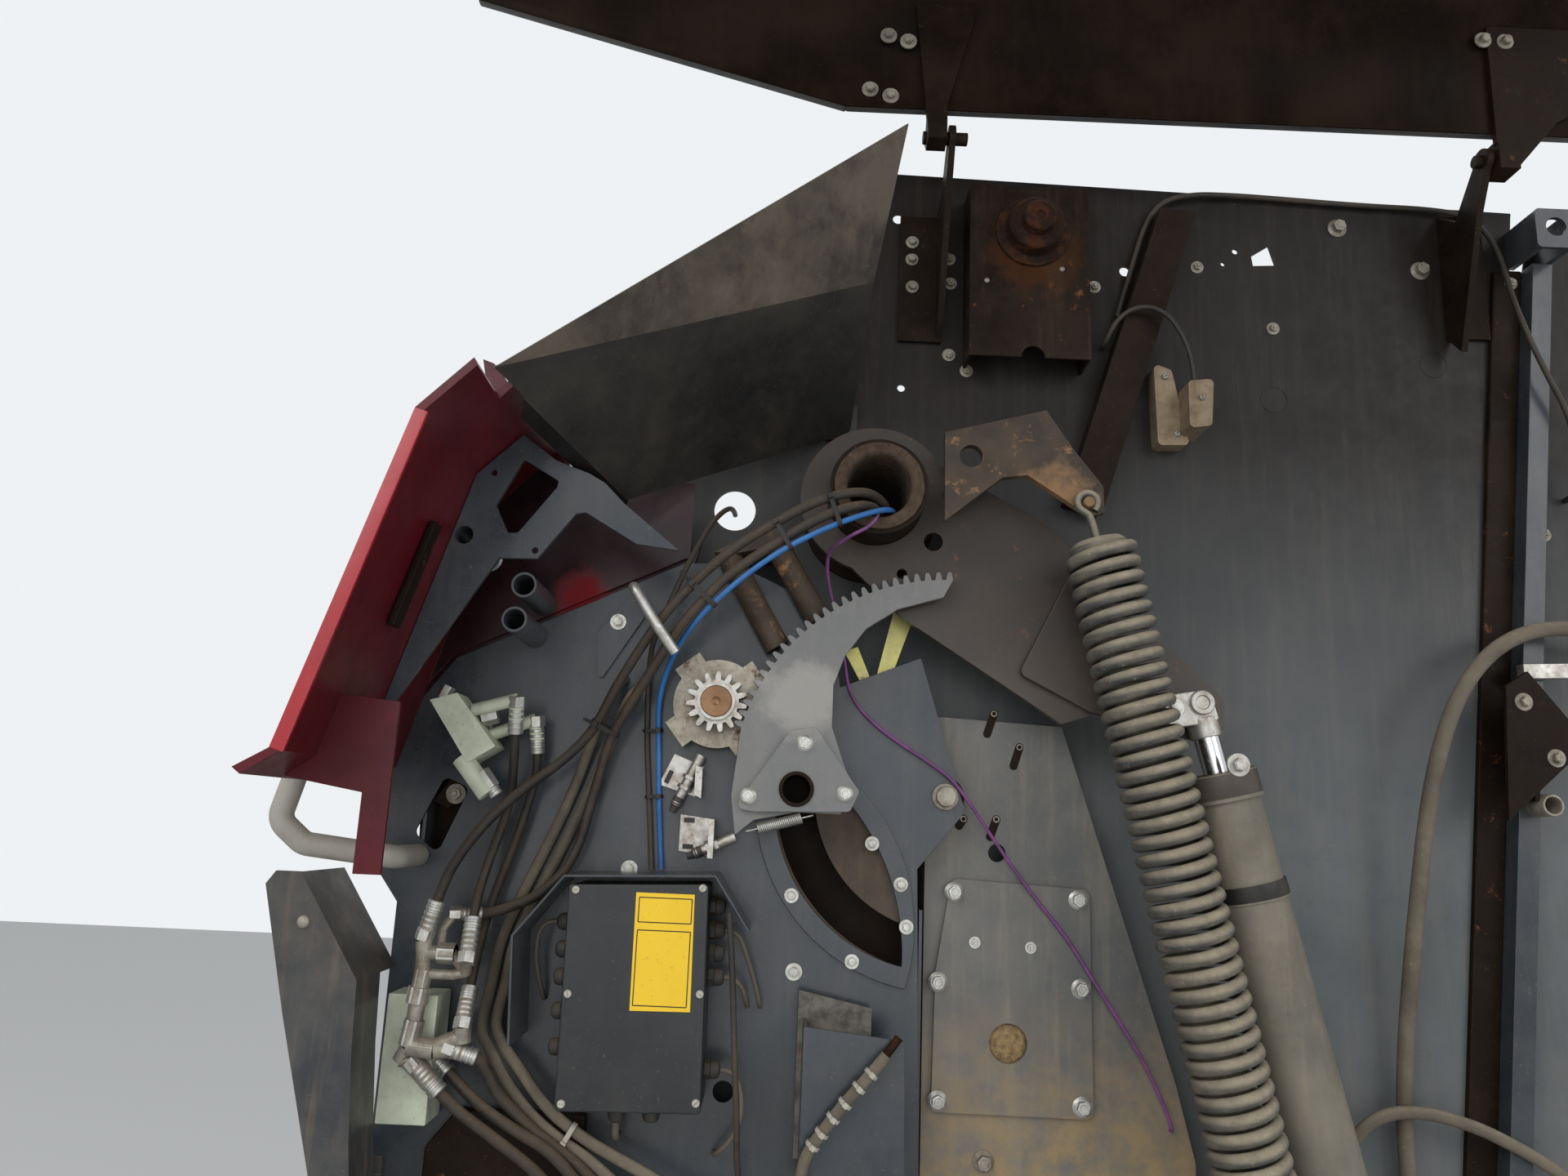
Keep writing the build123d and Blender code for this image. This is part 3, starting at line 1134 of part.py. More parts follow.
HOOD_OUT = 375
HOOD_CORNER_OUT = 290
CROSS_TUBE = (-588, 1193)
CROSS_TUBE_RADIUS = 13
TUBE_STUBS = [(-520, 1142), (-527, 1104)]
TUBE_STUB_RADIUS = 14
with BuildPart() as front_hood:
    with BuildSketch(Plane.XZ.offset(FRONT_OUT)) as hood_edge:
        with BuildLine():
            Polyline(
                (-540, 1318),
                (-590, 1266),
                (-682, 948),
                (-712, 930),
                (-704, 924),
                (-672, 946),
                (-582, 1262),
                (-536, 1310),
                close=True,
            )
        make_face()
    extrude(hood_edge.sketch, amount=HOOD_OUT - FRONT_OUT)
    plate([(-679, 948), (-700, 926), (-626, 914), (-626, 840), (-600, 840), (-600, 1000), (-655, 1005)], 290, 4)
    # Corner behind the skin panel, and the hood's inner wall above the front plate
    plate([(-540, 1318), (-520, 1339), (-515, 1333), (-536, 1310)], FRONT_OUT, HOOD_CORNER_OUT - FRONT_OUT)
    plate(
        [(-650, 1036), (-616.5, 1079), (-358, 1203.5), (-352, 1204), (-352, 1296), (-538, 1314), (-586, 1264)],
        FRONT_OUT,
        SHEET,
    )
    discs([CROSS_TUBE], CROSS_TUBE_RADIUS + 2, FRONT_OUT, SHEET, Mode.SUBTRACT)
front_hood.part.label = "front_hood"
export_step(front_hood.part, "parts/front_hood.step")

# Bracket plate between hood and wall, with its window and cross tubes
BRACKET_OUT = 180
bracket_outline = [
    (-534, 1309),
    (-495, 1281),
    (-458, 1268),
    (-440, 1258),
    (-418, 1236),
    (-355, 1186),
    (-401, 1191),
    (-459, 1224),
    (-469, 1222),
    (-507, 1170),
    (-548, 1169),
    (-636, 1020),
    (-662.4, 978),
    (-581.3, 1261.5),
]
with BuildPart() as bracket_plate:
    plate(bracket_outline, BRACKET_OUT, 6)
    window = [(-531, 1281), (-491, 1258), (-492, 1251), (-530, 1198), (-541, 1197), (-557, 1228)]
    rounded_plate(window, BRACKET_OUT, 6, 3, Mode.SUBTRACT)
    discs([CROSS_TUBE], CROSS_TUBE_RADIUS - 3, BRACKET_OUT, 6, Mode.SUBTRACT)
    discs([(-562, 1264), (-510, 1179)], 3.5, BRACKET_OUT, 6, Mode.SUBTRACT)
bracket_plate.part.label = "bracket_plate"
export_step(bracket_plate.part, "parts/bracket_plate.step")

with BuildPart() as cross_tubes:
    # Columns are centre, radius, inner end
    for centre, radius, inner in [
        (CROSS_TUBE, CROSS_TUBE_RADIUS, -30),
        (TUBE_STUBS[0], TUBE_STUB_RADIUS, FRONT_OUT + SHEET),
        (TUBE_STUBS[1], TUBE_STUB_RADIUS, FRONT_OUT),
    ]:
        discs([centre], radius, inner, BRACKET_OUT - inner)
        discs([centre], radius - 3, inner, BRACKET_OUT - inner, Mode.SUBTRACT)
cross_tubes.part.label = "cross_tubes"
export_step(cross_tubes.part, "parts/cross_tubes.step")

# Skin panel: a folded triangular sheet from the hood up to the wall's top
SKIN_CORNERS = {
    "low_front": at(-533, 1327, 330),
    "top": at(-118, 1708, 196),
    "low_rear": at(-165, 1394, 4),
    "foot": at(-422, 1258, 125),
    "fold": at(-150, 1529, 150),
    "flange_foot": at(-434, 1253, 85),
    "flange_start": at(-510.8, 1313.2, 289),
    "flange_front": at(-522.8, 1308.2, 249),
}
with BuildPart() as skin_panel:
    for names in [("low_front", "top", "fold"), ("low_front", "fold", "low_rear", "foot")]:
        corners = [Vector(*SKIN_CORNERS[name]) for name in names]
        normal = (corners[1] - corners[0]).cross(corners[2] - corners[0]).normalized()
        face_plane = Plane(origin=corners[0], x_dir=corners[1] - corners[0], z_dir=normal)
        flat = [face_plane.to_local_coords(corner) for corner in corners]
        with BuildSketch(face_plane) as facet:
            with BuildLine():
                Polyline(*[(point.X, point.Y) for point in flat], close=True)
            make_face()
        extrude(facet.sketch, amount=SHEET)
    # Flange folded inwards along the front edge, half of its sheet on each side
    flange_names = ("flange_start", "foot", "flange_foot", "flange_front")
    flange_corners = [Vector(*SKIN_CORNERS[name]) for name in flange_names]
    flange_normal = (flange_corners[1] - flange_corners[0]).cross(flange_corners[2] - flange_corners[0])
    flange_plane = Plane(
        origin=flange_corners[0], x_dir=flange_corners[1] - flange_corners[0], z_dir=flange_normal.normalized()
    )
    with BuildSketch(flange_plane) as skin_flange:
        with BuildLine():
            Polyline(
                *[(point.X, point.Y) for point in map(flange_plane.to_local_coords, flange_corners)], close=True
            )
        make_face()
    extrude(skin_flange.sketch, amount=SHEET / 2, both=True)
    plate([(-196, 1384), (-156, 1384), (-156, 1430), (-186, 1430)], 0, 6)
skin_panel.part.label = "skin_panel"
export_step(skin_panel.part, "parts/skin_panel.step")

# Small brackets on the front plate
HOOK_OUT = 172
HOOK_RADIUS = 6
with BuildPart() as hose_hook:
    rounded_plate([(-455, 1110), (-416, 1158), (-392, 1146), (-450, 1050)], FRONT_OUT, 5, 4)
    with BuildLine() as hook_line:
        FilletPolyline(
            at(-404, 1148, FRONT_OUT + 4),
            at(-404, 1148, HOOK_OUT),
            at(-374, 1104, HOOK_OUT),
            at(-354, 1078, HOOK_OUT - 8),
            radius=10,
        )
    with BuildSketch(Plane(origin=hook_line.line @ 0, z_dir=hook_line.line % 0)) as hook_section:
        Circle(HOOK_RADIUS)
    sweep(hook_section.sketch, path=hook_line.line)
hose_hook.part.label = "hose_hook"
export_step(hose_hook.part, "parts/hose_hook.step")

with BuildPart() as low_plates:
    plate([(-200, 540), (-200, 700), (-97, 690), (-94, 540)], 142, 5)
    plate([(-200, 540), (-200, 700), (-196, 700), (-196, 540)], FRONT_OUT, 72)
    plate([(-205, 560), (-205, 728), (-126, 712), (-126, 560)], 86, 4)
    plate([(-205, 560), (-205, 600), (-201, 600), (-201, 560)], FRONT_OUT, 16)
low_plates.part.label = "low_plates"
export_step(low_plates.part, "parts/low_plates.step")

# Small brackets on the wall and the rear plate
with BuildPart() as sensor_box:
    rounded_plate([(219, 1498), (242, 1490), (262, 1390), (222, 1388)], 0, 26, 6)
    rounded_plate([(250, 1400), (250, 1462), (282, 1466), (278, 1404)], 0, 60, 6)
sensor_box.part.label = "sensor_box"
export_step(sensor_box.part, "parts/sensor_box.step")

with BuildPart() as triangle_bracket:
    plate([(612, 1097), (640, 1116), (690, 1052), (690, 1020), (602, 941)], 52, 6)
    plate([(638, 965), (651, 1075), (657, 1075), (644, 965)], POST_DEPTH, 52 - POST_DEPTH)
triangle_bracket.part.label = "triangle_bracket"
export_step(triangle_bracket.part, "parts/triangle_bracket.step")

with BuildPart() as rear_lugs:
    plate([(704, 1664), (704, 1716), (712, 1716), (712, 1664)], 0, 60)
    plate([(740, 1664), (740, 1710), (748, 1710), (748, 1664)], 0, 60)
    rounded_plate([(700, 1662), (700, 1716), (748, 1716), (752, 1662)], 60, 6, 6)
    discs([(726, 1691)], 13, 60, 6, Mode.SUBTRACT)
rear_lugs.part.label = "rear_lugs"
export_step(rear_lugs.part, "parts/rear_lugs.step")

# Door, raised: its sheet climbs from the hinge, then reaches out over the machine
DOOR_FRONT = -760
DOOR_BEHIND_PIN = 10
door_face = HINGE_OUT + DOOR_BEHIND_PIN + DOOR_SHEET
# Columns are out and height of each fold from the hinge pin
door_profile = [(HINGE_OUT + out, HINGE_HEIGHT + rise) for out, rise in [
    (DOOR_BEHIND_PIN, 32),
    (DOOR_BEHIND_PIN, 183),
    (98, 305),
    (1124, 505),
]]
# What the door's slanted front edge leaves out: x and height from the hinge pin
door_front_edge = [
    (-189, -55),
    (-189, 32),
    (-665, 163),
    (-690, 305),
    (-755, 507),
    (-755, 645),
    (-900, 645),
    (-900, -55),
]
with BuildPart() as door_panel:
    folded_sheet(
        [(-out, z) for out, z in door_profile], Plane.YZ.offset(DOOR_FRONT), DOOR_REAR - DOOR_FRONT, DOOR_SHEET
    )
    plate([(x, HINGE_HEIGHT + rise) for x, rise in door_front_edge], -50, 1400, Mode.SUBTRACT)
door_panel.part.label = "door_panel"
export_step(door_panel.part, "parts/door_panel.step")

DOOR_ARM_SHEET = 8
with BuildPart() as door_arm_front:
    plate(
        [
            (-104, HINGE_HEIGHT + 177),
            (-24, HINGE_HEIGHT + 177),
            (-62, HINGE_HEIGHT + 35),
            (-62, HINGE_HEIGHT),
            (-86, HINGE_HEIGHT),
        ],
        door_face,
        DOOR_ARM_SHEET,
    )
    with BuildSketch(Plane.YZ.offset(-86)) as eye:
        with BuildLine():
            Polyline(
                (-HINGE_OUT - 21, HINGE_HEIGHT + 30),
                (-HINGE_OUT - 21, HINGE_HEIGHT - 12),
                (-HINGE_OUT, HINGE_HEIGHT - 18),
                (-HINGE_OUT + 16, HINGE_HEIGHT),
                (-HINGE_OUT, HINGE_HEIGHT + 26),
                close=True,
            )
        make_face()
    extrude(amount=24)
    rod((-90, -HINGE_OUT, HINGE_HEIGHT), (-34, -HINGE_OUT, HINGE_HEIGHT), HINGE_PIN_RADIUS)
door_arm_front.part.label = "door_arm_front"
export_step(door_arm_front.part, "parts/door_arm_front.step")

with BuildPart() as door_arm_rear:
    plate(
        [
            (623, HINGE_HEIGHT + 180),
            (622, HINGE_HEIGHT + 15),
            (650, HINGE_HEIGHT - 15),
            (700, HINGE_HEIGHT + 45),
            (780, HINGE_HEIGHT + 95),
            (800, HINGE_HEIGHT + 180),
        ],
        door_face,
        DOOR_ARM_SHEET,
    )
    rod((605, -HINGE_OUT, HINGE_HEIGHT), (650, -HINGE_OUT, HINGE_HEIGHT), HINGE_PIN_RADIUS)
    plate(
        [
            (624, HINGE_HEIGHT - 20),
            (624, HINGE_HEIGHT + 20),
            (650, HINGE_HEIGHT + 20),
            (650, HINGE_HEIGHT - 20),
        ],
        HINGE_OUT - 12,
        33,
    )
door_arm_rear.part.label = "door_arm_rear"
export_step(door_arm_rear.part, "parts/door_arm_rear.step")
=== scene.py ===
import logging
import math
from dataclasses import dataclass, field
from enum import Enum

import bpy
from mathutils import Matrix, Vector


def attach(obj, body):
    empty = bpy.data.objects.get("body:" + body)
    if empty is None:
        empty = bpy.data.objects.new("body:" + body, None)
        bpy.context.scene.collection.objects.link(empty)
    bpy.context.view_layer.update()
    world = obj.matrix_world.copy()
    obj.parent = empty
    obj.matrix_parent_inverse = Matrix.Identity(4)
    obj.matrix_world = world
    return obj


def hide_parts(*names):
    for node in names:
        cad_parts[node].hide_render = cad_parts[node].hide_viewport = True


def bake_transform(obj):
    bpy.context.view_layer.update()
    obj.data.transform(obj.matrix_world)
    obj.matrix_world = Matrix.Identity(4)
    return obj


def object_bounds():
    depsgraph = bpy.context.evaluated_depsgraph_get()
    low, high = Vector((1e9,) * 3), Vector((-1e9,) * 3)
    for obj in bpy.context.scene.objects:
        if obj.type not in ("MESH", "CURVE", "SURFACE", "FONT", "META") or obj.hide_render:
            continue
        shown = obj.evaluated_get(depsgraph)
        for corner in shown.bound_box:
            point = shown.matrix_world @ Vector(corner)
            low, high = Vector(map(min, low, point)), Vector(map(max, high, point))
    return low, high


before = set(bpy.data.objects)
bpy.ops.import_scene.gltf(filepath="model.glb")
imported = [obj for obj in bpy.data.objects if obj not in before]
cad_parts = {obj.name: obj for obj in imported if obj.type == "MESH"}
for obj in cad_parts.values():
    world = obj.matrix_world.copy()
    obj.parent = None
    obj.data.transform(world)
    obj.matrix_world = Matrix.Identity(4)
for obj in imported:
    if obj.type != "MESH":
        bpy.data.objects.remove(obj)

log = logging.getLogger("baler side")
CAD_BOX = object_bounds()
PIECES: list[bpy.types.Object] = []

Flat = tuple[float, float]
Spot = tuple[float, float, float]


def at(x: float, z: float, out: float) -> Vector:
    """Turn millimetres along, up and out from the wall into a point in metres.

    Args:
        x: Millimetres rearwards.
        z: Millimetres up.
        out: Millimetres outwards from the wall's outer face.

    Returns:
        The point in the shared frame, in metres.
    """
    return Vector((x / 1000, -out / 1000, z / 1000))


OUTWARDS = Vector((0.0, -1.0, 0.0))


# Finishes


class Tree:
    """The nodes of one material, laid out from short calls."""

    def __init__(self, name: str) -> None:
        """Start an empty material with its shader and output.

        Args:
            name: The material's name.
        """
        self.material = bpy.data.materials.new(name)
        self.material.use_nodes = True
        self.nodes = self.material.node_tree.nodes
        self.links = self.material.node_tree.links
        self.nodes.clear()
        self.output = self.nodes.new("ShaderNodeOutputMaterial")
        self.shader = self.nodes.new("ShaderNodeBsdfPrincipled")
        self.links.new(self.shader.outputs["BSDF"], self.output.inputs["Surface"])
        self.place = self.nodes.new("ShaderNodeTexCoord").outputs["Object"]

    def noise(self, scale: float, detail: float = 4.0, roughness: float = 0.6,
              stretch: Spot = (1.0, 1.0, 1.0), turn: Spot = (0.0, 0.0, 0.0)) -> bpy.types.NodeSocket:
        """Add a noise pattern in the piece's own space.

        Args:
            scale: Patches per metre.
            detail: Levels of finer detail.
            roughness: Strength of the finer levels.
            stretch: Scale along each axis before the pattern is read.
            turn: Rotation of the pattern, in radians.

        Returns:
            The noise value socket.
        """
        mapping = self.nodes.new("ShaderNodeMapping")
        mapping.inputs["Scale"].default_value = stretch
        mapping.inputs["Rotation"].default_value = turn
        self.links.new(self.place, mapping.inputs["Vector"])
        noise = self.nodes.new("ShaderNodeTexNoise")
        noise.inputs["Scale"].default_value = scale
        noise.inputs["Detail"].default_value = detail
        noise.inputs["Roughness"].default_value = roughness
        self.links.new(mapping.outputs["Vector"], noise.inputs["Vector"])
        return noise.outputs["Fac"]

    def band(self, value: bpy.types.NodeSocket, low: float, high: float,
             least: float = 0.0, most: float = 1.0) -> bpy.types.NodeSocket:
        """Spread a value between two limits, and clamp it.

        Args:
            value: The socket to spread.
            low: The value that gives least.
            high: The value that gives most.
            least: Result at low.
            most: Result at high.

        Returns:
            The spread value socket.
        """
        spread = self.nodes.new("ShaderNodeMapRange")
        spread.clamp = True
        spread.inputs["From Min"].default_value = low
        spread.inputs["From Max"].default_value = high
        spread.inputs["To Min"].default_value = least
        spread.inputs["To Max"].default_value = most
        self.links.new(value, spread.inputs["Value"])
        return spread.outputs["Result"]

    def sum(self, operation: str, first: bpy.types.NodeSocket,
            second: bpy.types.NodeSocket | float) -> bpy.types.NodeSocket:
        """Do a sum with two values.

        Args:
            operation: Blender's name of the operation, such as MULTIPLY.
            first: The first value socket.
            second: The second value, as a socket or a number.

        Returns:
            The result's socket.
        """
        node = self.nodes.new("ShaderNodeMath")
        node.operation = operation
        self.links.new(first, node.inputs[0])
        if isinstance(second, float):
            node.inputs[1].default_value = second
        else:
            self.links.new(second, node.inputs[1])
        return node.outputs["Value"]

    def blend(self, factor: bpy.types.NodeSocket, under: object, over: object) -> bpy.types.NodeSocket:
        """Lay one colour over another.

        Args:
            factor: How much of the upper colour shows.
            under: The lower colour, as a socket or three numbers.
            over: The upper colour, as a socket or three numbers.

        Returns:
            The mixed colour's socket.
        """
        mix = self.nodes.new("ShaderNodeMix")
        mix.data_type = "RGBA"
        self.links.new(factor, mix.inputs["Factor"])
        for socket, colour in ((mix.inputs[6], under), (mix.inputs[7], over)):
            if isinstance(colour, tuple):
                socket.default_value = (*colour, 1.0)
            else:
                self.links.new(colour, socket)
        return mix.outputs[2]

    def facing(self, direction: Spot) -> bpy.types.NodeSocket:
        """Measure how much a surface faces a fixed direction of the frame.

        Args:
            direction: The direction, as three numbers.

        Returns:
            A socket from -1, facing away, to 1, facing it.
        """
        geometry = self.nodes.new("ShaderNodeNewGeometry")
        dot = self.nodes.new("ShaderNodeVectorMath")
        dot.operation = "DOT_PRODUCT"
        dot.inputs[1].default_value = direction
        self.links.new(geometry.outputs["Normal"], dot.inputs[0])
        return dot.outputs["Value"]

    def height(self) -> bpy.types.NodeSocket:
        """Measure the height above the sill's underside.

        Returns:
            The height's socket, in metres.
        """
        split = self.nodes.new("ShaderNodeSeparateXYZ")
        self.links.new(self.place, split.inputs["Vector"])
        return split.outputs["Z"]

    def near(self, spot: Spot, reach: float) -> bpy.types.NodeSocket:
        """Measure how near a point is to a spot of the frame.

        Args:
            spot: The spot in metres.
            reach: Distance in metres at which the measure ends.

        Returns:
            A socket from 1, at the spot, to 0, at the reach and beyond.
        """
        distance = self.nodes.new("ShaderNodeVectorMath")
        distance.operation = "DISTANCE"
        distance.inputs[1].default_value = spot
        self.links.new(self.place, distance.inputs[0])
        return self.band(distance.outputs["Value"], 0.0, reach, 1.0, 0.0)

    def relief(self, heights: list[tuple[bpy.types.NodeSocket, float]]) -> None:
        """Raise the surface by one or more patterns.

        Args:
            heights: Each pattern's socket and the depth of its relief in metres.
        """
        normal = None
        for value, depth in heights:
            bump = self.nodes.new("ShaderNodeBump")
            bump.inputs["Strength"].default_value = 1.0
            bump.inputs["Distance"].default_value = depth
            self.links.new(value, bump.inputs["Height"])
            if normal is not None:
                self.links.new(normal, bump.inputs["Normal"])
            normal = bump.outputs["Normal"]
        if normal is not None:
            self.links.new(normal, self.shader.inputs["Normal"])


@dataclass(frozen=True)
class Finish:
    """A worn and dusty surface: its coat, the patches in it, and what lies on it; on some finishes, also painted
    shade and light.
    """

    name: str
    slot: str
    colour: Spot
    patch: Spot
    roughness: float = 0.45
    shine_spread: float = 0.2
    metal: float = 0.0
    coat: float = 0.0
    gleam: float = 0.3
    patch_size: float = 6.0
    dust: float = 0.25
    dust_colour: Spot = (0.2, 0.15, 0.1)
    dust_and_light_side: Spot = (0.0, -0.1, 1.0)
    scratches: float = 0.2
    bare: Spot = (0.2, 0.2, 0.2)
    rust: float = 0.0
    rust_colour: Spot = (0.11, 0.04, 0.015)
    stain_and_shade: float = 0.0
    stain_and_shade_colour: Spot = (0.03, 0.018, 0.012)
    stain_and_shade_from: float = 1.0
    stain_and_shade_to: float = 1.5
    stain_and_shade_size: float = 2.2
    stain_and_shade_gaps: float = 0.12
    streaks: float = 0.0
    spot: Spot | None = None
    spot_reach: float = 0.12
    spot_colour: Spot = (0.05, 0.018, 0.007)
    grain: float = 900.0
    grain_depth: float = 0.00004

    def material(self) -> bpy.types.Material:
        """Build the finish once, and give it again after that.

        Returns:
            The finish as a material.
        """
        known = bpy.data.materials.get(self.name)
        if known is not None:
            return known
        tree = Tree(self.name)
        patches = tree.noise(self.patch_size, 6.0, 0.65)
        colour = tree.blend(tree.band(patches, 0.42, 0.62), self.colour, self.patch)
        rough = tree.band(tree.noise(self.patch_size * 4.0, 5.0, 0.7), 0.3, 0.7,
                          self.roughness - self.shine_spread / 2, self.roughness + self.shine_spread / 2)
        clear_of_stain_and_shade = None
        # A height band with cloudy gaps: a real stain on some finishes, painted shade on others, such as the wall's
        # dark top.
        if self.stain_and_shade:
            low = tree.band(tree.height(), self.stain_and_shade_from, self.stain_and_shade_to)
            cloud = tree.band(tree.noise(self.stain_and_shade_size, 6.0, 0.65), 0.36, 0.6, 1.0 - self.stain_and_shade_gaps, 1.0)
            stain_and_shade = tree.sum("MULTIPLY", tree.sum("MULTIPLY", low, cloud), self.stain_and_shade)
            colour = tree.blend(stain_and_shade, colour, self.stain_and_shade_colour)
            rough = tree.sum("ADD", rough, tree.sum("MULTIPLY", stain_and_shade, 0.12))
            clear_of_stain_and_shade = tree.band(stain_and_shade, 0.0, 1.0, 1.0, 0.2)
        if self.scratches:
            lines = [
                tree.noise(30.0, 2.0, 0.5, (1.0, 1.0, 26.0), (0.0, 0.6, 0.0)),
                tree.noise(26.0, 2.0, 0.5, (22.0, 1.0, 1.0), (0.0, -0.5, 0.0)),
            ]
            line = tree.sum("MAXIMUM", lines[0], lines[1])
            worn = tree.band(tree.noise(7.0, 3.0, 0.6), 0.5, 0.7)
            scratch = tree.sum("MULTIPLY", tree.sum("MULTIPLY", tree.band(line, 0.7, 0.76), worn), self.scratches)
            colour = tree.blend(scratch, colour, self.bare)
        heights = [(tree.noise(self.grain, 3.0, 0.6), self.grain_depth)]
        if self.rust:
            spots = tree.band(tree.noise(34.0, 7.0, 0.75), 0.66 - 0.3 * self.rust, 0.76 - 0.3 * self.rust)
            shade = tree.band(tree.noise(160.0, 4.0, 0.7), 0.3, 0.7)
            rusty = tree.blend(shade, self.rust_colour, tuple(c * 2.2 for c in self.rust_colour))
            colour = tree.blend(spots, colour, rusty)
            rough = tree.sum("MAXIMUM", rough, tree.sum("MULTIPLY", spots, 0.85))
            heights.append((tree.noise(420.0, 4.0, 0.7), 0.00022 * self.rust))
        if self.spot:
            cloud = tree.sum("ADD", tree.near(self.spot, self.spot_reach), tree.noise(38.0, 7.0, 0.7))
            mark = tree.band(cloud, 0.8, 1.15)
            colour = tree.blend(mark, colour, self.spot_colour)
            rough = tree.sum("MAXIMUM", rough, tree.sum("MULTIPLY", mark, 0.8))
        if self.streaks:
            run = tree.noise(5.0, 6.0, 0.7, (9.0, 9.0, 0.7))
            run = tree.band(run, 0.5, 0.72, 0.0, self.streaks)
            colour = tree.blend(tree.sum("MULTIPLY", run, clear_of_stain_and_shade) if clear_of_stain_and_shade else run, colour, self.dust_colour)
        if self.dust:
            film = tree.band(tree.noise(11.0, 7.0, 0.7), 0.44, 0.74, 0.0, 0.75)
            # Faces that look towards the finish's dust side take dust; where that side leans towards the lamp, as on
            # the spring, this also paints highlights.
            dust_and_light_facing = tree.band(tree.facing(self.dust_and_light_side), 0.2, 0.8)
            specks = tree.band(tree.noise(240.0, 3.0, 0.5), 0.67, 0.71, 0.0, 0.9)
            amount = tree.sum("MULTIPLY", tree.sum("MAXIMUM", film, dust_and_light_facing), self.dust)
            amount = tree.sum("ADD", amount, tree.sum("MULTIPLY", specks, 0.25 + 0.4 * self.dust))
            amount = tree.sum("MULTIPLY", amount, clear_of_stain_and_shade) if clear_of_stain_and_shade else amount
            shade = tree.band(tree.noise(70.0, 4.0, 0.7), 0.3, 0.7)
            powder = tree.blend(shade, self.dust_colour, tuple(c * 0.62 for c in self.dust_colour))
            colour = tree.blend(amount, colour, powder)
            rough = tree.sum("ADD", rough, tree.sum("MULTIPLY", amount, 0.5))
            heights.append((film, 0.0002 * self.dust))
        shader = tree.shader
        tree.links.new(colour, shader.inputs["Base Color"])
        tree.links.new(tree.band(rough, 0.0, 1.0), shader.inputs["Roughness"])
        shader.inputs["Metallic"].default_value = self.metal
        shader.inputs["Specular IOR Level"].default_value = self.gleam
        shader.inputs["Coat Weight"].default_value = self.coat
        shader.inputs["Coat Roughness"].default_value = 0.18
        tree.relief(heights)
        return tree.material


ANTHRACITE = (0.03, 0.036, 0.044)
DARK_BROWN = (0.0095, 0.006, 0.0042)


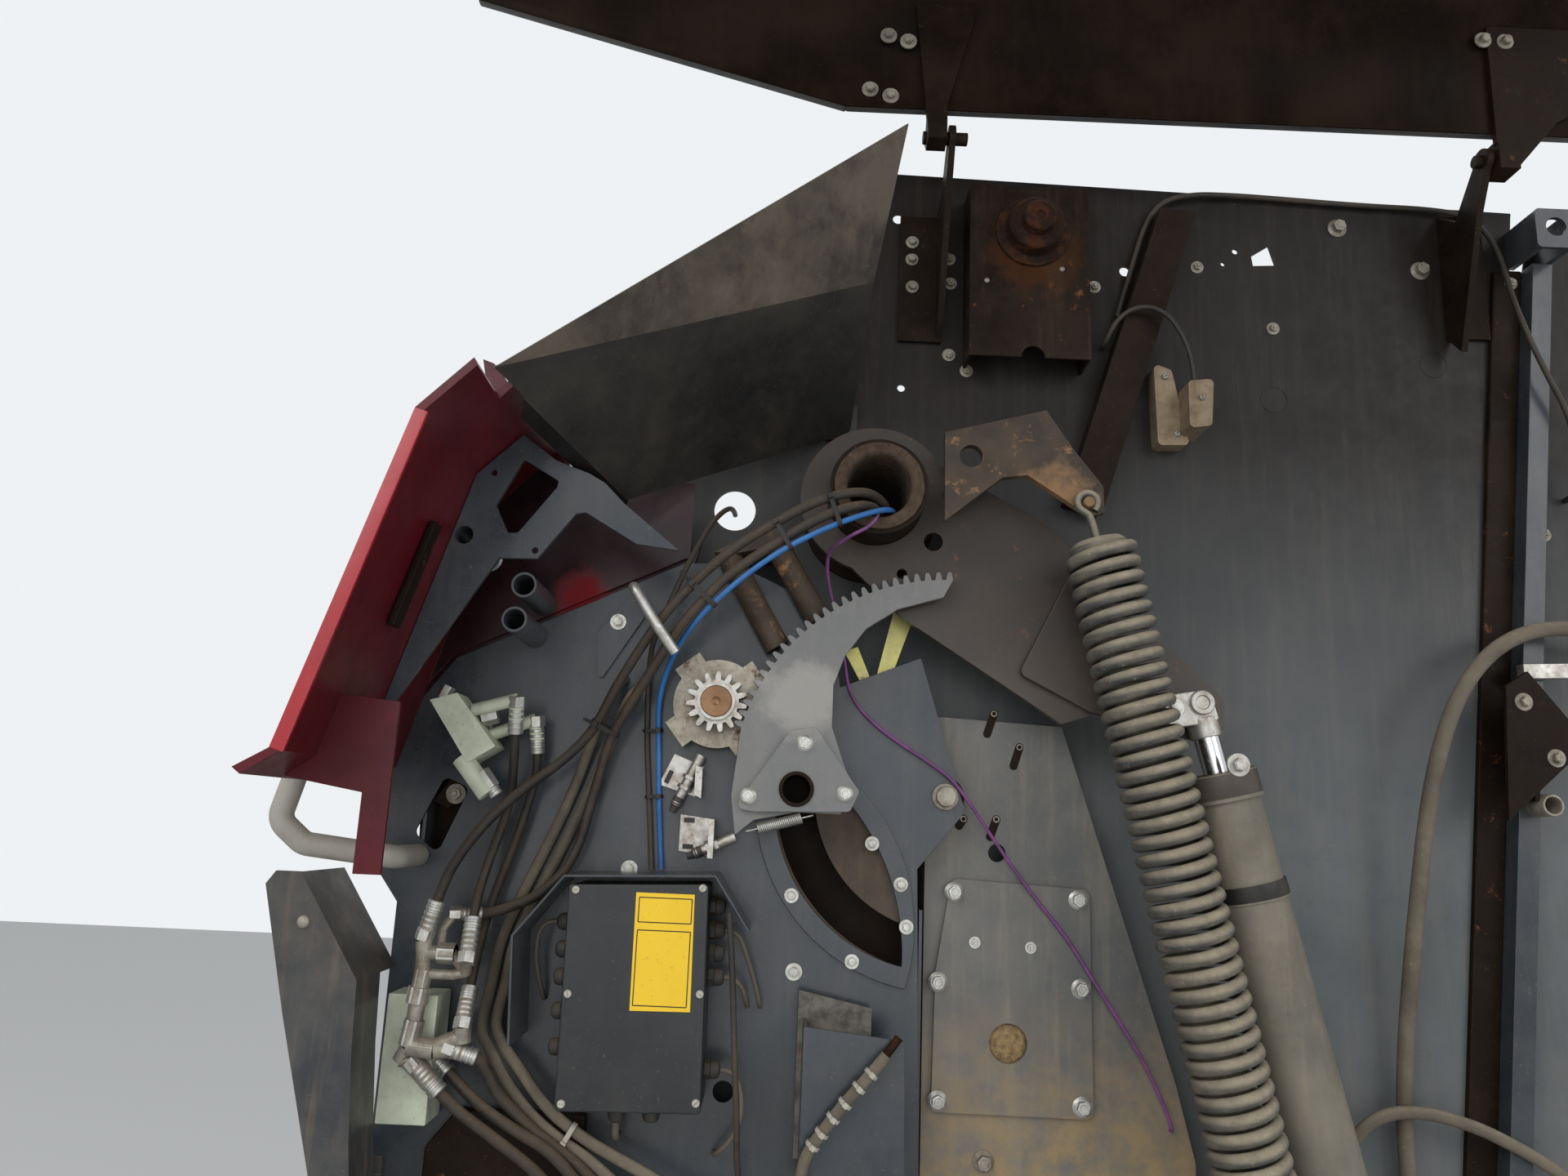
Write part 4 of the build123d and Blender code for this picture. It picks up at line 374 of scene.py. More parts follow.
class Look(Enum):
    """The finishes of this side frame."""

    # The wall's top darkens to brown-black above 0.92 m: painted shade under the raised door.
    WALL = Finish("wall_paint_and_painted_shade", "dark_paint", (0.104, 0.113, 0.118), (0.13, 0.138, 0.142), 0.32, 0.2, gleam=0.16,
                  dust=0.2, dust_colour=(0.22, 0.19, 0.15), scratches=0.3, bare=(0.24, 0.24, 0.23), streaks=0.25,
                  stain_and_shade=0.96, stain_and_shade_colour=DARK_BROWN, stain_and_shade_from=0.92, stain_and_shade_to=1.42, stain_and_shade_gaps=0.05)
    SHEET = Finish("anthracite_paint", "grey_paint", ANTHRACITE, (0.044, 0.051, 0.06), 0.3, 0.2, coat=0.2,
                   dust=0.18, dust_colour=(0.22, 0.19, 0.15), scratches=0.4, bare=(0.24, 0.25, 0.25), streaks=0.12)
    PANEL = Finish("bearing_panel_paint", "grey_paint", (0.1, 0.102, 0.1), (0.155, 0.15, 0.138), 0.4, 0.22,
                   dust=0.4, dust_colour=(0.3, 0.25, 0.18), scratches=0.4, bare=(0.3, 0.3, 0.28), rust=0.06,
                   rust_colour=(0.14, 0.08, 0.035), streaks=0.4, stain_and_shade=0.95, stain_and_shade_colour=(0.28, 0.2, 0.1),
                   stain_and_shade_from=0.74, stain_and_shade_to=0.56, stain_and_shade_size=26.0, stain_and_shade_gaps=0.85)
    BROWNED = Finish("browned_paint", "dark_paint", DARK_BROWN, (0.018, 0.011, 0.0075), 0.48, 0.25, gleam=0.07,
                     dust=0.14, dust_colour=(0.13, 0.085, 0.05), scratches=0.3, bare=(0.1, 0.08, 0.06), rust=0.12)
    HUB_PLATE = Finish("rust_stained_paint", "dark_paint", DARK_BROWN, (0.019, 0.012, 0.0085), 0.45, 0.25, gleam=0.08,
                       dust=0.16, dust_colour=(0.13, 0.085, 0.05), scratches=0.35, bare=(0.11, 0.09, 0.07),
                       rust=0.15, streaks=0.2, spot=(0.062, -0.052, 1.635), spot_reach=0.1,
                       spot_colour=(0.045, 0.016, 0.006))
    # The arm's colour darkens towards its top.
    ARM = Finish("arm_paint", "dark_paint", (0.05, 0.041, 0.035), (0.075, 0.062, 0.052), 0.36, 0.2, gleam=0.35,
                 dust=0.35, dust_colour=(0.17, 0.12, 0.075), scratches=0.5, bare=(0.2, 0.18, 0.16), rust=0.12,
                 stain_and_shade=0.85, stain_and_shade_colour=(0.016, 0.010, 0.007), stain_and_shade_from=1.02, stain_and_shade_to=1.22, stain_and_shade_gaps=0.35)
    PEELING = Finish("peeling_paint", "dark_paint", (0.035, 0.027, 0.021), (0.06, 0.043, 0.03), 0.55, 0.3,
                     patch_size=26.0, dust=0.3, dust_colour=(0.2, 0.12, 0.06), scratches=0.3,
                     bare=(0.2, 0.12, 0.07), rust=0.3, rust_colour=(0.17, 0.09, 0.04), gleam=0.25,
                     spot=(0.06, -0.165, 1.262), spot_reach=0.085, spot_colour=(0.24, 0.14, 0.07))
    SECTOR = Finish("sector_paint", "grey_paint", (0.115, 0.119, 0.12), (0.165, 0.165, 0.16), 0.32, 0.2, coat=0.15,
                    dust=0.22, dust_colour=(0.3, 0.27, 0.22), scratches=0.95, bare=(0.42, 0.41, 0.39), streaks=0.2,
                    spot=(-0.212, -0.112, 1.04), spot_reach=0.075, spot_colour=(0.3, 0.29, 0.27))
    HOOD = Finish("hood_paint", "red_paint", (0.36, 0.02, 0.028), (0.27, 0.016, 0.022), 0.34, 0.12, coat=0.25,
                  dust=0.14, scratches=0.08, bare=(0.5, 0.1, 0.08))
    # The hood's red in painted shade, for its inner face and the corner plate.
    HOOD_PAINTED_SHADE = Finish("red_paint_painted_shade", "red_paint", (0.1, 0.0055, 0.0105), (0.06, 0.004, 0.008), 0.4, 0.2,
                         dust=0.14, dust_colour=(0.16, 0.06, 0.04), scratches=0.1, gleam=0.25)
    # The hood's red in deep painted shade near the wall, with one less shaded patch painted a lighter red.
    HOOD_PAINTED_DEEP_SHADE = Finish("red_paint_painted_deep_shade", "red_paint", (0.011, 0.0035, 0.0055), (0.022, 0.005, 0.008), 0.32, 0.2,
                       dust=0.2, dust_colour=(0.1, 0.05, 0.035), gleam=0.3, spot=(-0.474, -0.074, 1.152),
                       spot_reach=0.055, spot_colour=(0.16, 0.006, 0.01))
    RAIL = Finish("worn_grey_paint", "light_grey_paint", (0.36, 0.34, 0.3), (0.28, 0.26, 0.225), 0.5, 0.2,
                  dust=0.3, dust_colour=(0.24, 0.19, 0.13), scratches=0.4, bare=(0.46, 0.45, 0.43))
    # Skin facets that face outwards, rearwards and a little down are painted lighter: painted light, with real dust,
    # rust and streaks on them. The rest of the skin is painted shade.
    SKIN_PAINTED_LIGHT = Finish("skin_paint_painted_light", "dark_paint", (0.11, 0.09, 0.072), (0.045, 0.038, 0.033), 0.7, 0.15,
                       patch_size=9.0, dust=0.5, dust_colour=(0.2, 0.165, 0.125), scratches=0.15, grain=300.0,
                       grain_depth=0.00015, gleam=0.2, rust=0.1, streaks=0.3)
    SKIN_LOW = Finish("shaded_skin_paint", "dark_paint", (0.016, 0.015, 0.0145), (0.034, 0.03, 0.025), 0.34, 0.2,
                      coat=0.1, dust=0.25, dust_colour=(0.1, 0.08, 0.06), scratches=0.25)
    RUST = Finish("rust_crust", "rusty_steel", (0.019, 0.008, 0.0045), (0.011, 0.0055, 0.004), 0.7, 0.2,
                  patch_size=30.0, dust=0.12, dust_colour=(0.11, 0.055, 0.025), scratches=0.1, rust=0.6,
                  rust_colour=(0.03, 0.011, 0.0045), grain_depth=0.0002, gleam=0.12)
    # The coils' dust side leans outwards towards the lamp and camera: real dust on the coil tops, and painted
    # highlights on the coil sides that face outwards.
    SPRING = Finish("dusty_coils_and_painted_highlight", "spring_paint", (0.04, 0.044, 0.047), (0.08, 0.076, 0.066), 0.4, 0.2,
                    dust=0.95, dust_colour=(0.36, 0.31, 0.225), dust_and_light_side=(-0.1, -0.62, 0.7), scratches=0.3,
                    bare=(0.2, 0.19, 0.17))
    ZINC = Finish("white_zinc", "zinc", (0.5, 0.5, 0.47), (0.36, 0.35, 0.32), 0.4, 0.2, metal=0.85,
                  patch_size=40.0, dust=0.3, dust_colour=(0.3, 0.25, 0.18), scratches=0.2, bare=(0.6, 0.6, 0.6))
    DULL_ZINC = Finish("dull_zinc", "zinc", (0.34, 0.32, 0.27), (0.2, 0.175, 0.14), 0.55, 0.2, metal=0.6,
                       patch_size=45.0, dust=0.45, dust_colour=(0.26, 0.19, 0.12), scratches=0.25, rust=0.12)
    BLOCK = Finish("green_grey_zinc", "zinc", (0.56, 0.6, 0.47), (0.46, 0.49, 0.38), 0.5, 0.15, metal=0.1,
                   patch_size=30.0, dust=0.3, dust_colour=(0.24, 0.19, 0.13), scratches=0.4, bare=(0.6, 0.6, 0.55))
    YELLOW_ZINC = Finish("dull_yellow_zinc", "yellow_zinc", (0.36, 0.33, 0.27), (0.25, 0.22, 0.17), 0.45, 0.2,
                         metal=0.4, patch_size=60.0, dust=0.35, dust_colour=(0.2, 0.15, 0.11), scratches=0.2,
                         rust=0.3, rust_colour=(0.11, 0.075, 0.05))
    GOLD_LINK = Finish("yellow_zinc_link", "yellow_zinc", (0.5, 0.47, 0.16), (0.44, 0.4, 0.2), 0.4, 0.15, metal=0.6,
                       patch_size=30.0, dust=0.15, dust_colour=(0.24, 0.18, 0.08), scratches=0.1)
    STEEL = Finish("bright_steel", "zinc", (0.46, 0.45, 0.42), (0.3, 0.27, 0.23), 0.42, 0.2, metal=0.8,
                   patch_size=50.0, dust=0.35, dust_colour=(0.22, 0.16, 0.1), scratches=0.4, rust=0.15)
    SHAFT = Finish("browned_shaft", "zinc", (0.23, 0.13, 0.07), (0.17, 0.095, 0.05), 0.38, 0.15, metal=0.7,
                   patch_size=25.0, dust=0.15, scratches=0.2)
    CHROME = Finish("hard_chrome", "chrome", (0.7, 0.7, 0.7), (0.62, 0.62, 0.62), 0.16, 0.1, metal=1.0,
                    dust=0.1, scratches=0.1, bare=(0.5, 0.5, 0.5))
    BARREL = Finish("dusty_barrel", "grey_paint", (0.19, 0.175, 0.138), (0.12, 0.112, 0.09), 0.5, 0.2,
                    dust=0.55, dust_colour=(0.3, 0.24, 0.165), scratches=0.45, bare=(0.3, 0.28, 0.24), streaks=0.5)
    BOX = Finish("black_moulded_box", "black_plastic", (0.013, 0.0145, 0.017), (0.019, 0.021, 0.024), 0.34, 0.15,
                 coat=0.1, dust=0.2, dust_colour=(0.16, 0.14, 0.115), scratches=0.15, bare=(0.1, 0.1, 0.1),
                 grain=1500.0)
    GLAND = Finish("gland_plastic", "black_plastic", (0.022, 0.023, 0.024), (0.045, 0.042, 0.038), 0.5, 0.15,
                   dust=0.45, dust_colour=(0.18, 0.14, 0.095), scratches=0.0)
    COVER = Finish("black_cover_paint", "black_plastic", (0.036, 0.039, 0.044), (0.075, 0.073, 0.068), 0.36, 0.25,
                   dust=0.45, dust_colour=(0.2, 0.15, 0.1), scratches=0.9, bare=(0.24, 0.21, 0.17), streaks=0.45)
    RUBBER = Finish("torn_rubber", "rubber", (0.045, 0.034, 0.026), (0.08, 0.062, 0.047), 0.75, 0.15, dust=0.5,
                    dust_colour=(0.16, 0.115, 0.075), scratches=0.0, grain=500.0, grain_depth=0.0001, streaks=0.3)
    HOSE = Finish("hose_rubber", "rubber", (0.02, 0.017, 0.0145), (0.045, 0.035, 0.026), 0.5, 0.2, dust=0.6,
                  dust_colour=(0.17, 0.12, 0.075), scratches=0.2, bare=(0.12, 0.1, 0.08), grain=700.0,
                  grain_depth=0.00008)
    DIRTY_HOSE = Finish("dirty_hose_rubber", "rubber", (0.09, 0.076, 0.058), (0.16, 0.135, 0.1), 0.75, 0.15,
                        dust=0.75, dust_colour=(0.28, 0.235, 0.17), scratches=0.0, grain=500.0,
                        grain_depth=0.00015)
    FOAM = Finish("coarse_foam", "foam", (0.075, 0.052, 0.034), (0.04, 0.027, 0.019), 0.95, 0.05, patch_size=90.0,
                  dust=0.5, dust_colour=(0.15, 0.105, 0.07), scratches=0.0, grain=380.0, grain_depth=0.0012)
    BLUE = Finish("blue_sheath", "cable_sheath", (0.03, 0.16, 0.42), (0.02, 0.1, 0.3), 0.4, 0.15, dust=0.15,
                  scratches=0.0)
    CABLE = Finish("black_sheath", "cable_sheath", (0.02, 0.019, 0.018), (0.05, 0.04, 0.03), 0.5, 0.2, dust=0.5,
                   dust_colour=(0.15, 0.11, 0.075), scratches=0.0)
    GREY_CABLE = Finish("grey_sheath", "cable_sheath", (0.085, 0.075, 0.06), (0.13, 0.11, 0.085), 0.6, 0.15,
                        dust=0.4, dust_colour=(0.2, 0.155, 0.11), scratches=0.0)
    PURPLE = Finish("purple_strands", "purple_twine", (0.2, 0.06, 0.21), (0.11, 0.05, 0.12), 0.6, 0.1, dust=0.12,
                    scratches=0.0, patch_size=60.0)
    TIE = Finish("black_tie_nylon", "black_plastic", (0.012, 0.012, 0.012), (0.02, 0.02, 0.02), 0.4, 0.1, dust=0.2,
                 scratches=0.0)
    PALE_TIE = Finish("pale_tie_nylon", "black_plastic", (0.5, 0.48, 0.42), (0.36, 0.33, 0.27), 0.5, 0.1, dust=0.3,
                      dust_colour=(0.25, 0.19, 0.12), scratches=0.0)
    YELLOW = Finish("yellow_panel", "black_plastic", (0.84, 0.55, 0.02), (0.78, 0.5, 0.018), 0.4, 0.1,
                    dust=0.05, scratches=0.05, bare=(0.5, 0.4, 0.2))
    BLACK_LINE = Finish("black_border", "black_plastic", (0.02, 0.018, 0.012), (0.03, 0.025, 0.015), 0.45, 0.1,
                        dust=0.05, scratches=0.0)
    PALE_PLASTIC = Finish("pale_screw_plastic", "black_plastic", (0.5, 0.48, 0.42), (0.4, 0.38, 0.33), 0.5, 0.1,
                          dust=0.3, scratches=0.0)
    STRAW = Finish("straw", "foam", (0.3, 0.21, 0.1), (0.16, 0.1, 0.05), 0.85, 0.1, patch_size=160.0, dust=0.3,
                   scratches=0.0, grain=260.0, grain_depth=0.0012)
    SPECKLED = Finish("speckled_plate", "grey_paint", (0.15, 0.138, 0.12), (0.06, 0.055, 0.05), 0.6, 0.2,
                      patch_size=55.0, dust=0.5, dust_colour=(0.24, 0.2, 0.15), scratches=0.3, rust=0.2,
                      rust_colour=(0.13, 0.07, 0.04))
    DOOR = Finish("door_inside", "dark_paint", (0.007, 0.0042, 0.0026), (0.018, 0.0105, 0.0065), 0.45, 0.2,
                  dust=0.07, dust_colour=(0.07, 0.042, 0.022), scratches=0.2, bare=(0.08, 0.06, 0.045), gleam=0.04,
                  streaks=0.06)
    PALE_EDGE = Finish("lit_edge_paint", "grey_paint", (0.1, 0.1, 0.098), (0.06, 0.06, 0.06), 0.4, 0.15,
                       dust=0.3, dust_colour=(0.2, 0.16, 0.12), scratches=0.3, bare=(0.3, 0.3, 0.3))
    SENSOR_BOX = Finish("sensor_box_zinc", "zinc", (0.27, 0.21, 0.14), (0.17, 0.12, 0.08), 0.55, 0.2, metal=0.3,
                        patch_size=20.0, dust=0.5, dust_colour=(0.2, 0.14, 0.08), scratches=0.2)


# The bench: modelling steps on one piece at a time


class Bench:
    """Primitives and edit-mode steps, as done by hand on one piece at a time."""

    CREASE = math.radians(38)
    SAME_CORNER = 0.00002

    @staticmethod
    def pick(*pieces: bpy.types.Object) -> None:
        """Select these pieces alone, the last one active.

        Args:
            pieces: The pieces, or none to deselect everything.
        """
        active = bpy.context.view_layer.objects.active
        if active is not None and active.mode != "OBJECT":
            bpy.ops.object.mode_set(mode="OBJECT")
        bpy.ops.object.select_all(action="DESELECT")
        for piece in pieces:
            piece.select_set(True)
        if pieces:
            bpy.context.view_layer.objects.active = pieces[-1]

    @staticmethod
    def settle(piece: bpy.types.Object) -> bpy.types.Object:
        """Put a piece's place into its mesh, so that its object sits at the origin.

        Args:
            piece: The piece.

        Returns:
            The same piece.
        """
        Bench.pick(piece)
        bpy.ops.object.transform_apply(location=True, rotation=True, scale=True)
        return piece

    @staticmethod
    def round_edges(piece: bpy.types.Object, width: float) -> bpy.types.Object:
        """Round a piece's sharp edges and shade it smooth.

        Args:
            piece: The piece.
            width: Width of the rounding in metres.

        Returns:
            The same piece.
        """
        Bench.pick(piece)
        bevel = piece.modifiers.new("rounding", "BEVEL")
        bevel.width = width
        bevel.segments = 2
        bevel.limit_method = "ANGLE"
        bevel.angle_limit = Bench.CREASE
        bevel.use_clamp_overlap = True
        bpy.ops.object.modifier_apply(modifier=bevel.name)
        bpy.ops.object.shade_smooth_by_angle(angle=Bench.CREASE)
        weighted = piece.modifiers.new("flat_faces", "WEIGHTED_NORMAL")
        weighted.keep_sharp = True
        weighted.weight = 90
        bpy.ops.object.modifier_apply(modifier=weighted.name)
        return piece

    @staticmethod
    def join(pieces: list[bpy.types.Object]) -> bpy.types.Object:
        """Join pieces into one.

        Args:
            pieces: The pieces, the last of which stays.

        Returns:
            The joined piece.
        """
        Bench.pick(*pieces)
        if len(pieces) > 1:
            bpy.ops.object.join()
        return bpy.context.view_layer.objects.active

    @staticmethod
    def edit(piece: bpy.types.Object, mode: str = "FACE") -> None:
        """Open a piece in edit mode with everything selected.

        Args:
            piece: The piece.
            mode: What is selected, as FACE, EDGE or VERT.
        """
        Bench.pick(piece)
        bpy.ops.object.mode_set(mode="EDIT")
        bpy.ops.mesh.select_mode(type=mode)
        bpy.ops.mesh.select_all(action="SELECT")

    @staticmethod
    def close(piece: bpy.types.Object, merge: float = 0.0) -> bpy.types.Object:
        """Leave edit mode with the normals outwards.

        Args:
            piece: The piece.
            merge: Distance in metres within which corners are merged.

        Returns:
            The same piece.
        """
        bpy.ops.mesh.select_all(action="SELECT")
        if merge:
            bpy.ops.mesh.remove_doubles(threshold=merge)
        bpy.ops.mesh.normals_make_consistent(inside=False)
        bpy.ops.object.mode_set(mode="OBJECT")
        return piece

    @staticmethod
    def drum(radius: float, depth: float, start: Vector, direction: Vector = OUTWARDS, sides: int = 32,
             rounding: float = 0.0004) -> bpy.types.Object:
        """Make a round or many-sided bar with broken edges.

        Args:
            radius: Radius in metres.
            depth: Length in metres.
            start: Middle of its first end.
            direction: The way it runs.
            sides: Number of sides.
            rounding: Width of the broken edge in metres.

        Returns:
            The new piece, at its place.
        """
        way = direction.normalized()
        Bench.pick()
        bpy.ops.mesh.primitive_cylinder_add(vertices=sides, radius=radius, depth=depth,
                                            location=start + way * depth / 2,
                                            rotation=way.to_track_quat("Z", "Y").to_euler())
        return Bench.round_edges(Bench.settle(bpy.context.object), rounding)

    @staticmethod
    def lathe(profile: list[Flat], start: Vector, direction: Vector = OUTWARDS, sides: int = 40,
              angle: float = 30.0) -> bpy.types.Object:
        """Spin a closed outline of radius and height, both in millimetres, about an axis.

        Args:
            profile: The outline's corners as radius and height along the axis.
            start: Where the axis starts.
            direction: The way the axis runs.
            sides: Steps round the axis.
            angle: Corners sharper than this many degrees stay sharp.

        Returns:
            The new piece, at its place.
        """
        Bench.pick()
        bpy.ops.mesh.primitive_circle_add(vertices=len(profile), radius=0.01, fill_type="NOTHING")
        piece = bpy.context.object
        for vertex, (radius, height) in zip(piece.data.vertices, profile):
            vertex.co = (radius / 1000, 0.0, height / 1000)
        Bench.edit(piece, "VERT")
        bpy.ops.mesh.spin(steps=sides, angle=2 * math.pi, center=(0, 0, 0), axis=(0, 0, 1))
        bpy.ops.mesh.select_mode(type="FACE")
        Bench.close(piece, 0.000002)
        piece.rotation_euler = direction.to_track_quat("Z", "Y").to_euler()
        piece.location = start
        Bench.settle(piece)
        bpy.ops.object.shade_smooth_by_angle(angle=math.radians(angle))
        return piece

    @staticmethod
    def cut_plate(points: list[Flat], inner: float, thickness: float,
                  rounding: float = 0.0008) -> bpy.types.Object:
        """Cut a plate parallel to the wall from its corners.

        Args:
            points: Corners as x and z in millimetres.
            inner: Distance of its inner face from the wall, in millimetres.
            thickness: Thickness in millimetres.
            rounding: Width of the broken edges in metres.

        Returns:
            The new piece, at its place.
        """
        Bench.pick()
        bpy.ops.mesh.primitive_circle_add(vertices=len(points), radius=0.01, fill_type="NGON")
        piece = bpy.context.object
        for vertex, (x, z) in zip(piece.data.vertices, points):
            vertex.co = at(x, z, inner)
        Bench.edit(piece)
        bpy.ops.mesh.extrude_region_move(TRANSFORM_OT_translate={"value": (0, -thickness / 1000, 0)})
        Bench.close(piece)
        return Bench.round_edges(piece, rounding)

    @staticmethod
    def bar(start: Vector, end: Vector, width: float, height: float, rounding: float = 0.0008,
            upright: Vector = Vector((0, 0, 1))) -> bpy.types.Object:
        """Make a square bar between two points.

        Args:
            start: Middle of its first end.
            end: Middle of its far end.
            width: Width across in metres.
            height: Height along upright in metres.
            rounding: Width of the broken edges in metres.
            upright: The direction that height is measured along.

        Returns:
            The new piece, at its place.
        """
        way = (end - start).normalized()
        across = way.cross(upright).normalized()
        up = across.cross(way)
        Bench.pick()
        bpy.ops.mesh.primitive_cube_add(size=1)
        piece = bpy.context.object
        turn = Matrix((across, way, up)).transposed().to_4x4()
        size = Matrix.Diagonal((width, (end - start).length, height, 1.0))
        piece.matrix_world = Matrix.Translation((start + end) / 2) @ turn @ size
        Bench.settle(piece)
        return Bench.round_edges(piece, rounding)

    @staticmethod
    def bent_bar(points: list[Vector], radius: float, sides: int = 6) -> bpy.types.Object:
        """Bend a round bar through points, and make it a mesh with closed ends.

        Args:
            points: The bar's guide points in metres.
            radius: Its radius in metres.
            sides: Steps of its section's quarter.

        Returns:
            The new piece.
        """
        piece = Bench.line(points, radius, sides)
        Bench.pick(piece)
        bpy.ops.object.convert(target="MESH")
        piece = bpy.context.object
        Bench.edit(piece)
        Bench.close(piece, 0.00001)
        bpy.ops.object.shade_smooth_by_angle(angle=math.radians(40))
        return piece

    @staticmethod
    def line(points: list[Vector], radius: float, sides: int = 4) -> bpy.types.Object:
        """Draw a smooth round cord whose control points are given.

        Args:
            points: The control points in metres.
            radius: The cord's radius in metres.
            sides: Steps of its section's quarter.

        Returns:
            The new curve.
        """
        curve = bpy.data.curves.new("cord", "CURVE")
        curve.dimensions = "3D"
        curve.bevel_depth = radius
        curve.bevel_resolution = sides
        curve.use_fill_caps = True
        curve.resolution_u = 10
        spline = curve.splines.new("NURBS")
        spline.points.add(len(points) - 1)
        for knot, point in zip(spline.points, points):
            knot.co = (*point, 1.0)
        spline.order_u = 3
        spline.use_endpoint_u = True
        piece = bpy.data.objects.new("cord", curve)
        bpy.context.scene.collection.objects.link(piece)
        return piece

    @staticmethod
    def copy_to(master: bpy.types.Object, start: Vector, direction: Vector = OUTWARDS, spin: float = 0.0,
                size: float = 1.0) -> bpy.types.Object:
        """Copy a piece that was modelled at the origin along +Z, with its own mesh.

        Args:
            master: The piece that is copied.
            start: Where its base goes.
            direction: The way its top points.
            spin: Turn about its own axis, in degrees.
            size: Scale of the copy.

        Returns:
            The copy, at its place.
        """
        Bench.pick(master)
        bpy.ops.object.duplicate(linked=False)
        piece = bpy.context.object
        turn = direction.to_track_quat("Z", "Y").to_matrix().to_4x4()
        piece.matrix_world = (Matrix.Translation(start) @ turn @ Matrix.Rotation(math.radians(spin), 4, "Z")
                              @ Matrix.Scale(size, 4))
        return Bench.settle(piece)

    @staticmethod
    def discard(piece: bpy.types.Object) -> None:
        """Throw away a piece that only served to be copied."""
        Bench.pick(piece)
        bpy.ops.object.delete()

    @staticmethod
    def paint(piece: bpy.types.Object, look: Look) -> bpy.types.Object:
        """Give a whole piece one finish.

        Args:
            piece: The piece.
            look: The finish.

        Returns:
            The same piece.
        """
        piece.data.materials.clear()
        piece.data.materials.append(look.value.material())
        return piece

    @staticmethod
    def from_node(node: str, rounding: float) -> bpy.types.Object:
        """Copy a solid of the shared frame, clean its mesh and round its edges.

        Args:
            node: The solid's name.
            rounding: Width of the rounding in metres.

        Returns:
            The cleaned copy.
        """
        Bench.pick(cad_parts[node])
        bpy.ops.object.duplicate(linked=False)
        piece = bpy.context.object
        piece.parent = None
        piece.matrix_world = Matrix.Identity(4)
        for key in list(piece.keys()):
            del piece[key]
        Bench.edit(piece)
        bpy.ops.mesh.remove_doubles(threshold=Bench.SAME_CORNER)
        bpy.ops.mesh.dissolve_limited(angle_limit=math.radians(0.6))
        Bench.close(piece)
        if piece.data.has_custom_normals:
            bpy.ops.mesh.customdata_custom_splitnormals_clear()
        return Bench.round_edges(piece, rounding)


# Sub-assemblies


class Head(Enum):
    """The kinds of fastener, with the height of each head for ten millimetres across its flats."""

    FLANGE = 7.0
    HEX = 8.0
    NUT = 9.5
    BUTTON = 3.4
    SLOTTED = 4.4


class Hardware:
    """Fasteners, each kind modelled once at the origin and copied to its places."""

    masters: dict[Head, bpy.types.Object] = {}

    @classmethod
    def master(cls, head: Head) -> bpy.types.Object:
        """Give the one model of a kind of fastener.

        Args:
            head: The kind.

        Returns:
            The model, at the origin, with its head along +Z.
        """
        if head not in cls.masters:
            cls.masters[head] = cls.model(head)
            cls.masters[head].hide_render = True
        return cls.masters[head]

    @staticmethod
    def model(head: Head) -> bpy.types.Object:
        """Model a fastener ten millimetres across its flats.

        Args:
            head: The kind.

        Returns:
            The model, at the origin.
        """
        up = Vector((0, 0, 1))
        foot = Vector((0, 0, 0))
        if head is Head.BUTTON:
            return Bench.lathe([(0, -1), (5, -1), (5, 0.6), (4.4, 2), (2.6, 3.2), (0, 3.4)], foot, up, 20)
        if head is Head.SLOTTED:
            screw = Bench.lathe([(0, -1), (5, -1), (5, 2.6), (4.2, 3.9), (2.2, 4.4), (0, 4.4)], foot, up, 24)
            slot = Bench.bar(Vector((-0.008, 0, 0.0042)), Vector((0.008, 0, 0.0042)), 0.0014, 0.0028, 0.0001)
            Bench.pick(screw)
            cut = screw.modifiers.new("slot", "BOOLEAN")
            cut.object = slot
            bpy.ops.object.modifier_apply(modifier=cut.name)
            Bench.discard(slot)
            return screw
        hexagon = Bench.drum(0.00577, 0.0066, Vector((0, 0, 0.0004)), up, 6, 0.0006)
        if head is Head.FLANGE:
            washer = Bench.lathe([(0, -0.5), (8.4, -0.5), (8.4, 0.7), (6.2, 2.2), (0, 2.2)], foot, up, 28)
            stamp = Bench.lathe([(0, 6), (3.6, 6), (3.3, 7.3), (2.9, 6.9), (0, 6.8)], foot, up, 20)
            return Bench.join([washer, stamp, hexagon])
        washer = Bench.lathe([(0, -0.5), (9.6, -0.5), (9.6, 1.3), (9.2, 1.7), (0, 1.7)], foot, up, 28)
        if head is Head.HEX:
            stamp = Bench.lathe([(0, 6.5), (4.6, 6.5), (4.2, 7.7), (0, 8)], foot, up, 20)
            return Bench.join([washer, stamp, hexagon])
        stud = Bench.lathe([(0, 6), (2.9, 6), (2.9, 8.8), (2.3, 9.5), (0, 9.5)], foot, up, 16)
        return Bench.join([washer, stud, hexagon])

    @classmethod
    def clear(cls) -> None:
        """Throw the models away when every copy stands in its place."""
        for model in cls.masters.values():
            Bench.discard(model)
        cls.masters.clear()


